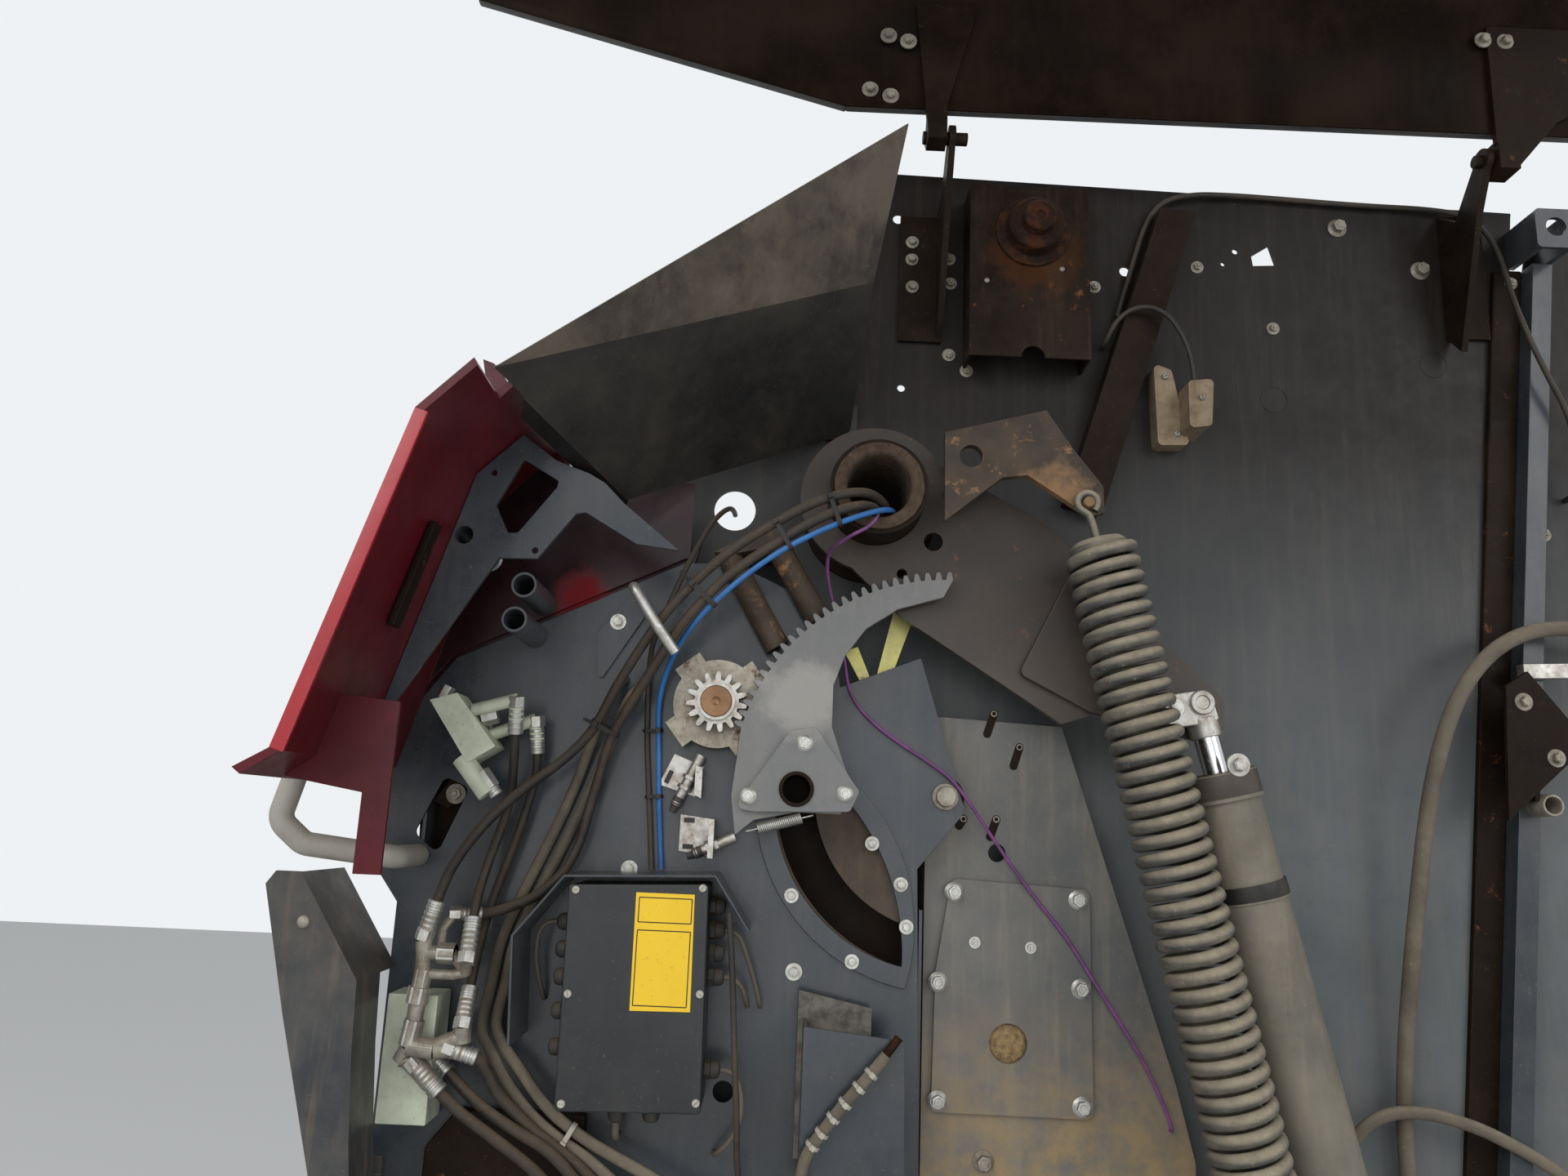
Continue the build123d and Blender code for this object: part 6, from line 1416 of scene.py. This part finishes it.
@dataclass
class FrontPlate(SubAssembly):
    """The deep front plate with its slot ring, torn flaps and small brackets."""

    ring_bolts: list[Spot] = field(default_factory=lambda: [
        (-129, 885, 76), (-89, 797, 76), (-148, 758, 76), (-217, 825, 76), (-96, 842, 76)])
    window_shade_back: list[Flat] = field(default_factory=lambda: [(-649, 845), (-575, 830), (-560, 960), (-655, 960)])
    slot_shade_back: list[Flat] = field(default_factory=lambda: [(-265, 735), (-60, 735), (-60, 1010), (-265, 1010)])

    def build(self) -> None:
        """Build the front plate's pieces."""
        self.refine("front_plate", Look.SHEET, 0.0015)
        self.refine("slot_ring", Look.SHEET, 0.0012)
        self.refine("slot_flaps", Look.RUBBER, 0.0004)
        self.refine("window_lever", Look.BROWNED)
        # Dark plates behind the window and the slot: painted shade in the recesses behind them.
        self.keep(Bench.cut_plate(self.window_shade_back, 24, 3), "window_shade_back", Look.BROWNED)
        self.keep(Bench.cut_plate(self.slot_shade_back, 0.5, 3), "slot_shade_back", Look.BROWNED)
        hook = self.refine("hose_hook", Look.SHEET, 0.0008)
        self.second_look(hook, Look.ZINC, OUTWARDS, -2.0, 76.0)
        self.fasten("ring_bolts", Head.HEX, 8.5, self.ring_bolts, Look.ZINC)
        self.fasten("plate_bolts", Head.HEX, 10, [(-211, 744, 70), (-399, 846, 70), (-431, 1124, 75)], Look.ZINC)
        self.fasten("lever_nut", Head.NUT, 12, [(-603, 920, 60)], Look.DULL_ZINC)


@dataclass
class BearingPanel(SubAssembly):
    """The bearing panel beside the front plate, its cover, and the straw behind the hole."""

    cover_bolts: list[Spot] = field(default_factory=lambda: [
        (-32, 835, 46), (109, 832, 46), (-49, 737, 46), (111, 736, 46), (-48, 613, 46), (111, 613, 46)])
    marks: list[tuple[float, float, float, float]] = field(default_factory=lambda: [
        (14, 1040, 6, 1016), (44, 1002, 37, 980), (17, 918, 10, 898), (-21, 917, -26, 909)])

    def build(self) -> None:
        """Build the panel, its cover and bolts."""
        self.refine("bearing_panel", Look.PANEL, 0.0015)
        self.refine("bearing_cover", Look.PANEL, 0.0015)
        self.fasten("cover_bolts", Head.FLANGE, 13, self.cover_bolts, Look.ZINC)
        self.fasten("cover_screws", Head.NUT, 7, [(-8, 781, 46), (55, 778, 46), (-40, 942, 40)], Look.ZINC)
        self.fasten("panel_bolt", Head.FLANGE, 14, [(4, 552, 40)], Look.DULL_ZINC)
        pressed, rims = [], []
        for top_x, top_z, foot_x, foot_z in self.marks:
            pressed.append(Bench.bar(at(top_x, top_z, 40), at(foot_x, foot_z, 40), 0.0095, 0.0011, 0.0004, OUTWARDS))
            pressed += [Bench.lathe([(0, -0.4), (4.75, -0.4), (4.75, 0.4), (4.3, 0.5), (0, 0.5)], at(x, z, 40),
                                    OUTWARDS, 24) for x, z in ((top_x, top_z), (foot_x, foot_z))]
            rims.append(Bench.lathe([(2.2, 0.2), (3.8, 0.2), (3.5, 0.9), (2.5, 0.9)], at(top_x, top_z, 40)))
        self.keep(Bench.join(rims), "pressed_rims", Look.DULL_ZINC)
        self.keep(Bench.join(pressed), "pressed_marks", Look.BROWNED)
        straw = Bench.lathe([(0, 0), (22, 0), (22, 9), (17, 12), (9, 13.5), (0, 14)], at(30, 675, 30), OUTWARDS, 40)
        self.keep(straw, "straw_plug", Look.STRAW)


@dataclass
class BeltArm(SubAssembly):
    """The belt tension arm, its lug and ear, and the foam-lined tube that it swings about."""

    body: str = "tension_arm"
    pivot: Flat = (-137, 1281)
    bore: float = 36.0
    lining_radius: float = 49.8

    def lining(self) -> None:
        """Turn the foam lining, and roughen its crumbling lip."""
        r, b = self.lining_radius, self.bore
        profile = [(b, -30), (r, -30)]
        profile += [(r, height) for height in (20, 60, 100, 130, 144)]
        profile += [(r + 1.5, 147), (r + 1, 150), (r - 4, 151.5), (b + 6, 151.6), (b + 1.5, 149.5)]
        profile += [(b, height) for height in (144, 136, 128, 118, 100, 60, 20)]
        lining = Bench.lathe(profile, at(*self.pivot, 0), OUTWARDS, 120, 60)
        lumps = bpy.data.textures.new("foam_lumps", "CLOUDS")
        lumps.noise_scale = 0.006
        Bench.pick(lining)
        rough = lining.modifiers.new("crumbs", "DISPLACE")
        rough.texture = lumps
        rough.texture_coords = "GLOBAL"
        rough.strength = 0.0012
        rough.mid_level = 0.7
        bpy.ops.object.modifier_apply(modifier=rough.name)
        self.keep(lining, "foam_lining", Look.FOAM, ("pivot_lining",), "frame")
        # A black disc closes the tube's far end: painted shade in its depth.
        floor = Bench.lathe([(0, -40), (self.bore + 4, -40), (self.bore + 4, -31), (0, -31)],
                            at(*self.pivot, 0), OUTWARDS, 48)
        self.keep(floor, "tube_shade_disc", Look.TIE, body="frame")

    def build(self) -> None:
        """Build the arm and its tube."""
        self.refine("pivot_tube", Look.BROWNED, 0.0012, "frame")
        self.lining()
        self.refine("tension_arm", Look.ARM, 0.0015)
        self.refine("cylinder_lug", Look.ARM, 0.0015)
        self.refine("spring_ear", Look.PEELING, 0.002)
        slot = Bench.cut_plate([(69, 1089), (73, 1094), (77, 1090), (86, 1061), (83, 1056), (78, 1059)], 94, 1.2,
                               0.0006)
        self.keep(slot, "arm_slot_rim", Look.ARM)


@dataclass
class TensionSpring(SubAssembly):
    """The long close-coiled spring and its end hooks, which stretch between wall and arm."""

    top: Flat = (105, 1222)
    foot: Flat = (292, 392)
    out: float = 160.0
    radius: float = 34.0
    wire: float = 7.0
    turns: int = 49
    steps: int = 22
    pin: float = 46.0
    post: float = 55.0

    def coil(self, start: Vector, way: Vector, length: float) -> bpy.types.Object:
        """Wind the coil with a screw modifier.

        Args:
            start: Middle of its first end.
            way: The way it is wound.
            length: Length in metres between the middles of its end turns.

        Returns:
            The coil.
        """
        Bench.pick()
        bpy.ops.mesh.primitive_circle_add(vertices=12, radius=self.wire / 1000, fill_type="NOTHING",
                                          location=(self.radius / 1000, 0, 0), rotation=(math.pi / 2, 0, 0))
        coil = Bench.settle(bpy.context.object)
        screw = coil.modifiers.new("winding", "SCREW")
        screw.axis = "Z"
        screw.screw_offset = length / self.turns
        screw.iterations = self.turns
        screw.steps = screw.render_steps = self.steps
        screw.use_merge_vertices = False
        bpy.ops.object.modifier_apply(modifier=screw.name)
        coil.matrix_world = Matrix.Translation(start) @ way.to_track_quat("Z", "Y").to_matrix().to_4x4()
        Bench.settle(coil)
        Bench.edit(coil)
        bpy.ops.mesh.fill_holes(sides=0)
        Bench.close(coil)
        bpy.ops.object.shade_smooth_by_angle(angle=math.radians(50))
        return coil

    def hook(self, seat: Vector, post: Vector, post_radius: float, wire: float) -> list[bpy.types.Object]:
        """Bend an end hook from a plug in the coil round a pin.

        Args:
            seat: Middle of the coil's end.
            post: Middle of the pin that the hook goes round.
            post_radius: The pin's radius in metres.
            wire: The hook's radius in metres.

        Returns:
            The plug and the hook.
        """
        way = (post - seat).normalized()
        plug = Bench.lathe([(0, -18), (28, -18), (31, -14), (32, -4), (26, 2), (12, 4), (0, 4)], seat, way, 40)
        side = way.cross(OUTWARDS).normalized()
        ring = post_radius + wire + 0.0003
        points = [seat, post - way * (ring + 0.006)]
        for step in range(9):
            turn = math.radians(-150 + 37.5 * step)
            points.append(post + way * ring * 1.08 * math.cos(turn) + side * ring * 1.08 * math.sin(turn))
        return [plug, Bench.bent_bar(points, wire)]

    def build(self) -> None:
        """Build the spring as one piece between both ends, riding on no body."""
        top, foot = at(*self.top, self.out), at(*self.foot, self.out)
        way = (foot - top).normalized()
        wire = self.wire / 1000
        coil = self.coil(top + way * wire, way, (foot - top).length - 2 * wire)
        parts = self.hook(top, top - way * self.pin / 1000, 0.006, 0.0045)
        parts += self.hook(foot, foot + way * self.post / 1000, 0.011, 0.0055)
        spring = self.keep(Bench.join([*parts, coil]), "coil_spring", Look.SPRING, ("tension_spring",),
                           rides=False)
        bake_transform(spring)


@dataclass
class Cylinder(SubAssembly):
    """The hydraulic cylinder beside the spring, its rod and eye."""

    body: str = "cylinder"
    lug: Flat = (224, 1052)
    anchor: Flat = (400, 330)
    out: float = 122.0
    eye_block: list[Flat] = field(default_factory=lambda: [
        (188, 1022), (180, 1052), (185, 1059), (228, 1067), (235, 1063), (243, 1036), (239, 1030)])

    def along(self, distance: float) -> Vector:
        """Find the point on the cylinder's axis at a distance in millimetres from the lug's pin."""
        start, end = at(*self.lug, self.out), at(*self.anchor, self.out)
        return start + (end - start).normalized() * distance / 1000

    def build(self) -> None:
        """Build the cylinder's pieces."""
        self.refine("cylinder_barrel", Look.BARREL, 0.0012)
        self.refine("cylinder_rod", Look.CHROME, 0.0015, "cylinder_rod")
        way = (self.along(100) - self.along(0)).normalized()
        pin = [(0, -40), (12, -40), (12, 0), (13.5, 0), (13.5, 3), (12.5, 4), (8, 4), (7, 2.6), (0, 2.6)]
        eye = [Bench.cut_plate(self.eye_block, 110, 26, 0.0025),
               Bench.drum(0.0172, 0.022, self.along(16), way, 40, 0.0015), Bench.lathe(pin, at(*self.lug, 136))]
        self.keep(Bench.join(eye), "rod_eye_block", Look.STEEL, ("rod_eye",), "cylinder_rod")
        collar = Bench.lathe([(14.5, 0), (40, 0), (42.3, 2), (42.3, 26), (40, 30), (38.1, 31), (14.5, 31)],
                             self.along(77.5), way, 56)
        self.keep(collar, "barrel_collar", Look.ARM)
        band = Bench.lathe([(38.05, 0), (40.4, 0), (40.6, 1), (40.6, 15), (40.4, 16), (38.05, 16)], self.along(196),
                           way, 56)
        self.keep(band, "pipe_clamp_band", Look.TIE)
        self.fasten("eye_screw", Head.HEX, 11, [(194, 1045, 136)], Look.ZINC, body="cylinder_rod")
        self.fasten("collar_bolt", Head.HEX, 13, [(250, 984, 163)], Look.STEEL)
        self.refine("lower_anchor", Look.ARM, 0.0015, "frame")


@dataclass
class SensingGear(SubAssembly):
    """The sector gear on the bale size arm, and the pinion with its pulse disc."""

    body: str = "sensing_arm"
    pinion_centre: Flat = (-309.38, 1031.88)

    def little_spring(self) -> None:
        """Wind the small extension spring under the boss plate."""
        start, end = at(-268, 893, 120), at(-200, 912, 120)
        way = (end - start).normalized()
        body = TensionSpring(radius=5.2, wire=0.95, turns=24, steps=12)
        coil = body.coil(start + way * 0.011, way, 0.049)
        parts = [coil]
        for place, side in ((start, 1.0), (end, -1.0)):
            loop = [place + way * side * step for step in (0.012, 0.008)]
            loop += [place + Vector((0, -0.003, 0)), place - way * side * 0.003, place + Vector((0, 0.003, 0)),
                     place + way * side * 0.006]
            parts.append(Bench.bent_bar(loop, 0.00095, 3))
        self.keep(Bench.join(parts), "small_spring", Look.ZINC)

    def probe(self, name: str, tip: Spot, end: Spot) -> None:
        """Turn a threaded sensor with two thin nuts, and its black boot.

        Args:
            name: The sensor's name.
            tip: Its sensing end in millimetres.
            end: Its cable end in millimetres.
        """
        start, stop = at(*tip), at(*end)
        way = (stop - start).normalized()
        length = (stop - start).length * 1000
        thread = [(0, 0), (5.4, 0)]
        for ridge in range(int((length - 14) / 2)):
            thread += [(5.9, 0.6 + 2 * ridge), (5.3, 1.6 + 2 * ridge)]
        thread += [(5.6, length - 12), (5.6, length - 8), (0, length - 8)]
        pieces = [Bench.lathe(thread, start, way, 24)]
        for place in (length * 0.42, length * 0.62):
            pieces.append(Bench.drum(0.0088, 0.0045, start + way * place / 1000, way, 6, 0.0005))
        self.keep(Bench.join(pieces), name, Look.STEEL, body="frame")
        boot = Bench.lathe([(0, -10), (6, -10), (6.3, -4), (5.9, -3.4), (6.2, -1), (5.4, 0.6), (4.2, 4), (3.4, 9),
                            (0, 9)], stop, way, 24)
        self.keep(boot, f"{name}_boot", Look.GLAND, body="frame")

    def build(self) -> None:
        """Build the gears, the small spring and the two speed sensors."""
        self.refine("sector_gear", Look.SECTOR, 0.0006)
        self.refine("sensing_boss", Look.SECTOR, 0.0012)
        self.refine("sensing_arm", Look.BROWNED, 0.001)
        self.refine("sensing_pivot", Look.DULL_ZINC, 0.0012, "frame")
        self.refine("pinion_gear", Look.STEEL, 0.0006, "pinion")
        self.refine("pulse_disc", Look.YELLOW_ZINC, 0.0006, "pinion")
        self.refine("pinion_bearing", Look.DULL_ZINC, 0.001, "frame")
        self.refine("sensor_brackets", Look.STEEL, 0.0008, "frame")
        shaft = Bench.lathe([(0, 0), (17.5, 0), (17.5, 1.5), (16.6, 2.4), (5, 2.4), (3, 1.2), (0, 1)],
                            at(*self.pinion_centre, 123.6), OUTWARDS, 48)
        self.keep(shaft, "shaft_end", Look.SHAFT, body="pinion")
        self.fasten("boss_bolts", Head.FLANGE, 11, [(-210, 990, 122), (-164, 937, 122), (-269, 930, 122)], Look.ZINC)
        self.little_spring()
        self.probe("upper_speed_sensor", (-325, 974, 82), (-351, 918, 82))
        self.probe("lower_speed_sensor", (-282, 886, 90), (-326, 866, 90))
        self.refine("zinc_links", Look.GOLD_LINK, 0.0008, "frame")
        self.fasten("link_screw", Head.BUTTON, 10, [(-128, 1054, 58)], Look.ZINC, body="frame")
        slots = [Bench.bar(at(ax, az, 74), at(bx, bz, 74), 0.0055, 0.001, 0.0004, OUTWARDS)
                 for ax, az, bx, bz in ((-364, 942, -358, 956), (-337, 934, -331, 948), (-341, 873, -329, 873),
                                        (-341, 902, -329, 902))]
        self.keep(Bench.join(slots), "bracket_slots", Look.TIE, body="frame")


@dataclass
class ElectricBox(SubAssembly):
    """The electric box with its lid, blank panel and cable glands, under a folded canopy."""

    screws: list[Spot] = field(default_factory=lambda: [
        (-443, 826, 151), (-311, 833, 151), (-443, 723, 151), (-308, 728, 151), (-441, 618, 151), (-306, 624, 151)])
    panel: list[Flat] = field(default_factory=lambda: [(-380, 826), (-319, 826), (-317, 710), (-379, 709)])
    glands: list[tuple[float, float, int, int]] = field(default_factory=lambda: [
        (-449.5, 790, -1, 0), (-449, 762, -1, 0), (-449, 734, -1, 0), (-448.5, 700, -1, 0), (-448.5, 664, -1, 0),
        (-304.5, 812, 1, 0), (-304, 788, 1, 0), (-303.5, 764, 1, 0), (-303, 740, 1, 0), (-302, 648, 1, 0),
        (-390, 611, 0, -1), (-354, 611.5, 0, -1)])

    def set_glands(self) -> None:
        """Turn one gland, with its nut and domed cap, and copy it round the box."""
        up = Vector((0, 0, 1))
        cap = Bench.lathe([(0, -2), (7.6, -2), (7.6, 6), (9, 7), (9, 12), (7.4, 15.6), (5, 17), (0, 17)],
                          Vector((0, 0, 0)), up, 24)
        nut = Bench.drum(0.0104, 0.006, Vector((0, 0, 0.0005)), up, 6, 0.0006)
        gland = Bench.join([cap, nut])
        copies = [Bench.copy_to(gland, at(x, z, 110), Vector((dx, 0, dz)), 12.0 * count)
                  for count, (x, z, dx, dz) in enumerate(self.glands)]
        Bench.discard(gland)
        self.keep(Bench.join(copies), "cable_glands", Look.GLAND, ("box_glands",))

    def stick_panel(self) -> None:
        """Stick the blank yellow panel on the lid, with its thin black border."""
        panel = Bench.cut_plate(self.panel, 150.9, 0.5, 0.0001)
        self.keep(panel, "blank_panel", Look.YELLOW)
        middle = (sum(x for x, z in self.panel) / 4, sum(z for x, z in self.panel) / 4)
        borders = []
        for low, high in ((0.5, 0.93), (-0.93, 0.36)):
            corners = [(middle[0] + side * 27.5, middle[1] + level * 57.5)
                       for side, level in ((-1, high), (1, high), (1, low), (-1, low))]
            for (ax, az), (bx, bz) in zip(corners, corners[1:] + corners[:1]):
                borders.append(Bench.bar(at(ax, az, 151.4), at(bx, bz, 151.4), 0.0011, 0.0003, 0.00005, OUTWARDS))
        self.keep(Bench.join(borders), "panel_border", Look.BLACK_LINE)

    def build(self) -> None:
        """Build the box and what is on it."""
        self.refine("electric_box", Look.BOX, 0.0025)
        self.refine("electric_box_lid", Look.BOX, 0.002)
        self.set_glands()
        self.stick_panel()
        self.fasten("lid_screws", Head.SLOTTED, 8, self.screws, Look.PALE_PLASTIC)
        self.refine("box_canopy", Look.SHEET, 0.0012)


class Part(Enum):
    """What a length of a hydraulic fitting looks like."""

    SLEEVE = "crimped sleeve"
    NUT = "hexagon nut"
    PIPE = "round pipe"


@dataclass
class Hydraulics(SubAssembly):
    """The valve block and the manifold, with sleeves, nuts and elbows on their hoses."""

    fittings: list[tuple[Spot, Spot, float, Part]] = field(default_factory=lambda: [
        ((-597, 776, 142), (-596, 737, 142), 8, Part.SLEEVE),
        ((-595, 740, 142), (-598, 712, 142), 9.5, Part.NUT),
        ((-597, 722, 142), (-599, 706, 142), 12, Part.NUT),
        ((-598, 708, 142), (-600, 684, 142), 8.5, Part.PIPE),
        ((-599, 690, 142), (-603, 665, 142), 11, Part.NUT),
        ((-596, 756, 142), (-566, 756, 142), 7.5, Part.PIPE),
        ((-582, 756, 142), (-564, 756, 142), 11, Part.NUT),
        ((-603, 665, 142), (-576, 662, 142), 10, Part.PIPE),
        ((-595, 735, 142), (-562, 735, 142), 5, Part.PIPE),
    ])

    def fitting(self, start: Vector, end: Vector, radius: float, part: Part) -> bpy.types.Object:
        """Make one length of a fitting.

        Args:
            start: Middle of its first end.
            end: Middle of its far end.
            radius: Its radius in millimetres.
            part: What it looks like.

        Returns:
            The new piece.
        """
        way = (end - start).normalized()
        length = (end - start).length * 1000
        if part is Part.NUT:
            return Bench.drum(radius / 1000, length / 1000, start, way, 6, 0.0008)
        if part is Part.PIPE:
            return Bench.drum(radius / 1000, length / 1000, start, way, 24, 0.0006)
        low, high = radius * 0.93, radius
        profile = [(0, 0), (low, 0), (high, 0.8)]
        grooves = max(2, int(length / 6))
        for groove in range(grooves):
            middle = 2.5 + (length - 5) * (groove + 0.5) / grooves
            profile += [(high, middle - 1.6), (low, middle - 0.9), (low, middle + 0.9), (high, middle + 1.6)]
        profile += [(high, length - 0.8), (low, length), (0, length)]
        return Bench.lathe(profile, start, way, 28)

    def sleeve_on(self, cords: Cords, name: str, far: bool, length: float, radius: float) -> list[bpy.types.Object]:
        """Crimp a sleeve on a hose's end, with a thin nut beyond it.

        Args:
            cords: The laid cords.
            name: The hose's name.
            far: Whether it is the hose's last end rather than its first.
            length: The sleeve's length in millimetres.
            radius: The sleeve's radius in millimetres.

        Returns:
            The sleeve and its nut.
        """
        line = cords.lines[name]
        end, before = (line[-1], line[-4]) if far else (line[0], line[3])
        way = (end - before).normalized()
        tip = end + way * length / 1000
        return [self.fitting(end - way * 0.014, tip, radius, Part.SLEEVE),
                self.fitting(tip - way * 0.004, tip + way * 0.008, radius + 1.2, Part.NUT)]

    def build(self, cords: Cords) -> None:
        """Build the blocks and the fittings on the hoses.

        Args:
            cords: The laid cords, whose ends carry sleeves.
        """
        self.refine("manifold", Look.BLOCK, 0.002)
        self.refine("manifold_fittings", Look.DULL_ZINC, 0.0008)
        self.refine("valve_block", Look.BLOCK, 0.0012)
        stack = [self.fitting(at(*start), at(*end), radius, part) for start, end, radius, part in self.fittings]
        for name, far, length, radius in (
                ("pressure_hose", True, 20, 8.8), ("valve_hose_a", True, 26, 8.8), ("valve_hose_a", False, 20, 8.4),
                ("return_hose", True, 12, 7.4), ("valve_hose_b", True, 22, 8.8), ("valve_hose_b", False, 20, 8.4),
                ("tee_hose", False, 14, 8.8), ("elbow_hose_a", False, 24, 10.2), ("elbow_hose_b", False, 20, 9.3)):
            stack += self.sleeve_on(cords, name, far, length, radius)
        self.keep(Bench.join(stack), "hose_fittings", Look.ZINC)
        valve = [
            self.fitting(at(-566, 1001, 120), at(-549, 1006, 120), 9, Part.NUT),
            self.fitting(at(-560, 943, 128), at(-546, 926, 128), 10, Part.NUT),
            self.fitting(at(-550, 931, 128), at(-540, 919, 128), 7.5, Part.SLEEVE),
            self.fitting(at(-612, 1022, 118), at(-606, 1036, 118), 8, Part.NUT),
        ]
        self.keep(Bench.join(valve), "valve_fittings", Look.ZINC)
        self.refine("twin_valve", Look.PEELING, 0.002)


@dataclass
class FrontSheets(SubAssembly):
    """The red hood, bracket plate, skin panel, front cover and handrail at the front."""

    lip: list[Flat] = field(default_factory=lambda: [(-590, 1266), (-577, 1262), (-669, 944), (-682, 948)])
    corner: list[Flat] = field(default_factory=lambda: [
        (-623, 1447), (-609, 1442), (-547, 1366), (-490, 1298), (-550, 1283), (-609, 1384)])
    rail_plate: list[Flat] = field(default_factory=lambda: [(-700, 1092), (-645, 1080), (-640, 1068), (-690, 1068)])
    shade_backing: list[Flat] = field(default_factory=lambda: [
        (-672, 965), (-640, 1025), (-578, 1078), (-352, 1180), (-340, 1225), (-600, 1112), (-668, 1050), (-690, 990)])

    def build(self) -> None:
        """Build the front sheets."""
        # The hood's inner face takes its red in painted shade.
        hood = self.refine("front_hood", Look.HOOD_PAINTED_SHADE, 0.0015)
        # Hood faces that look outwards within 80 mm of the wall take the deep painted shade.
        self.second_look(hood, Look.HOOD_PAINTED_DEEP_SHADE, OUTWARDS, 0.8, outer=80.0)
        self.keep(Bench.cut_plate(self.lip, 371.2, 4.6, 0.0012), "hood_lip", Look.HOOD)
        stiffener = Bench.bar(at(-597, 1187, 254), at(-628, 1078, 256), 0.008, 0.02, 0.002, OUTWARDS)
        self.keep(stiffener, "hood_stiffener", Look.BROWNED)
        # A dark red plate stands in for the shaded inside of the hood: painted deep shade.
        self.keep(Bench.cut_plate(self.shade_backing, 56, 10), "hood_shade_backing", Look.HOOD_PAINTED_DEEP_SHADE)
        # The corner plate takes the hood's red in painted shade.
        self.keep(Bench.cut_plate(self.corner, 60, 6), "hood_corner", Look.HOOD_PAINTED_SHADE)
        self.refine("bracket_plate", Look.SHEET, 0.0018)
        self.refine("cross_tubes", Look.SHEET, 0.0008)
        skin = self.refine("skin_panel", Look.SKIN_LOW, 0.0012)
        # Facets facing outwards, rearwards and a little down take the painted light; the rest keeps the painted
        # shade.
        self.second_look(skin, Look.SKIN_PAINTED_LIGHT, Vector((0.53, -0.79, -0.3)), 0.965)
        self.keep(Bench.cut_plate(self.rail_plate, 194, 6), "rail_bracket", Look.BROWNED)
        self.refine("front_cover", Look.COVER, 0.003)
        self.refine("handrail", Look.RAIL, 0.0006)
        self.fasten("rail_bolts", Head.FLANGE, 9, [(-698, 1080, 208), (-708, 1005, 212)], Look.DULL_ZINC)
        self.fasten("cover_bolt", Head.BUTTON, 13, [(-702, 787, 200)], Look.DULL_ZINC)


@dataclass
class LowPlates(SubAssembly):
    """The folded plates at the foot, with the rusty lever rod."""

    shelf: list[Flat] = field(default_factory=lambda: [
        (-592, 555), (-562, 592), (-425, 592), (-425, 470), (-592, 470)])
    rod: list[Spot] = field(default_factory=lambda: [
        (-103, 694, 150), (-106, 690, 151), (-116, 678, 154), (-131, 661, 158)])

    def build(self) -> None:
        """Build the low plates."""
        piece = self.refine("low_plates", Look.SHEET, 0.0012)
        piece.data.materials.append(Look.SPECKLED.value.material())
        for face in piece.data.polygons:
            if -0.0905 < face.center.y < -0.085:
                face.material_index = 1
        self.keep(Bench.cut_plate(self.shelf, 70, 16, 0.003), "low_shelf", Look.BROWNED)
        self.keep(Bench.bent_bar([at(*spot) for spot in self.rod], 0.0045), "lever_rod", Look.RUST)


@dataclass
class Door(SubAssembly):
    """The raised side door, seen from below, with its two hinge arms."""

    body: str = "door"

    def build(self) -> None:
        """Build the door and its arms."""
        self.refine("door_panel", Look.DOOR, 0.001)
        # The pale lips along the door's edges are a painted highlight.
        lips = [Bench.bar(at(*start, 105), at(*end, 105), 0.012, 0.006, 0.0025)
                for start, end in (((-189, 1790), (814, 1790)), ((-188, 1789), (-664, 1920)))]
        self.keep(Bench.join(lips), "door_lips", Look.PALE_EDGE)
        self.refine("door_arm_front", Look.BROWNED, 0.002)
        self.refine("door_arm_rear", Look.BROWNED, 0.002)
        self.fasten("door_bolts", Head.HEX, 11, [
            (-159, 1811, 113), (-133, 1803, 113), (-138, 1883, 121), (-113, 1876, 121), (617, 1914, 121),
            (645, 1913, 121)], Look.DULL_ZINC)


def main() -> None:
    """Build every sub-assembly."""
    logging.basicConfig(level=logging.INFO, format="%(name)s: %(message)s")
    Studio().build()
    cords = Cords()
    cords.build()
    Wall().build()
    WallTop().build()
    FrontPlate().build()
    BearingPanel().build()
    BeltArm().build()
    TensionSpring().build()
    Cylinder().build()
    SensingGear().build()
    ElectricBox().build()
    Hydraulics().build(cords)
    FrontSheets().build()
    LowPlates().build()
    Door().build()
    Hardware.clear()
    log.info("%d pieces", len(PIECES))


if __name__ == "__main__":
    main()
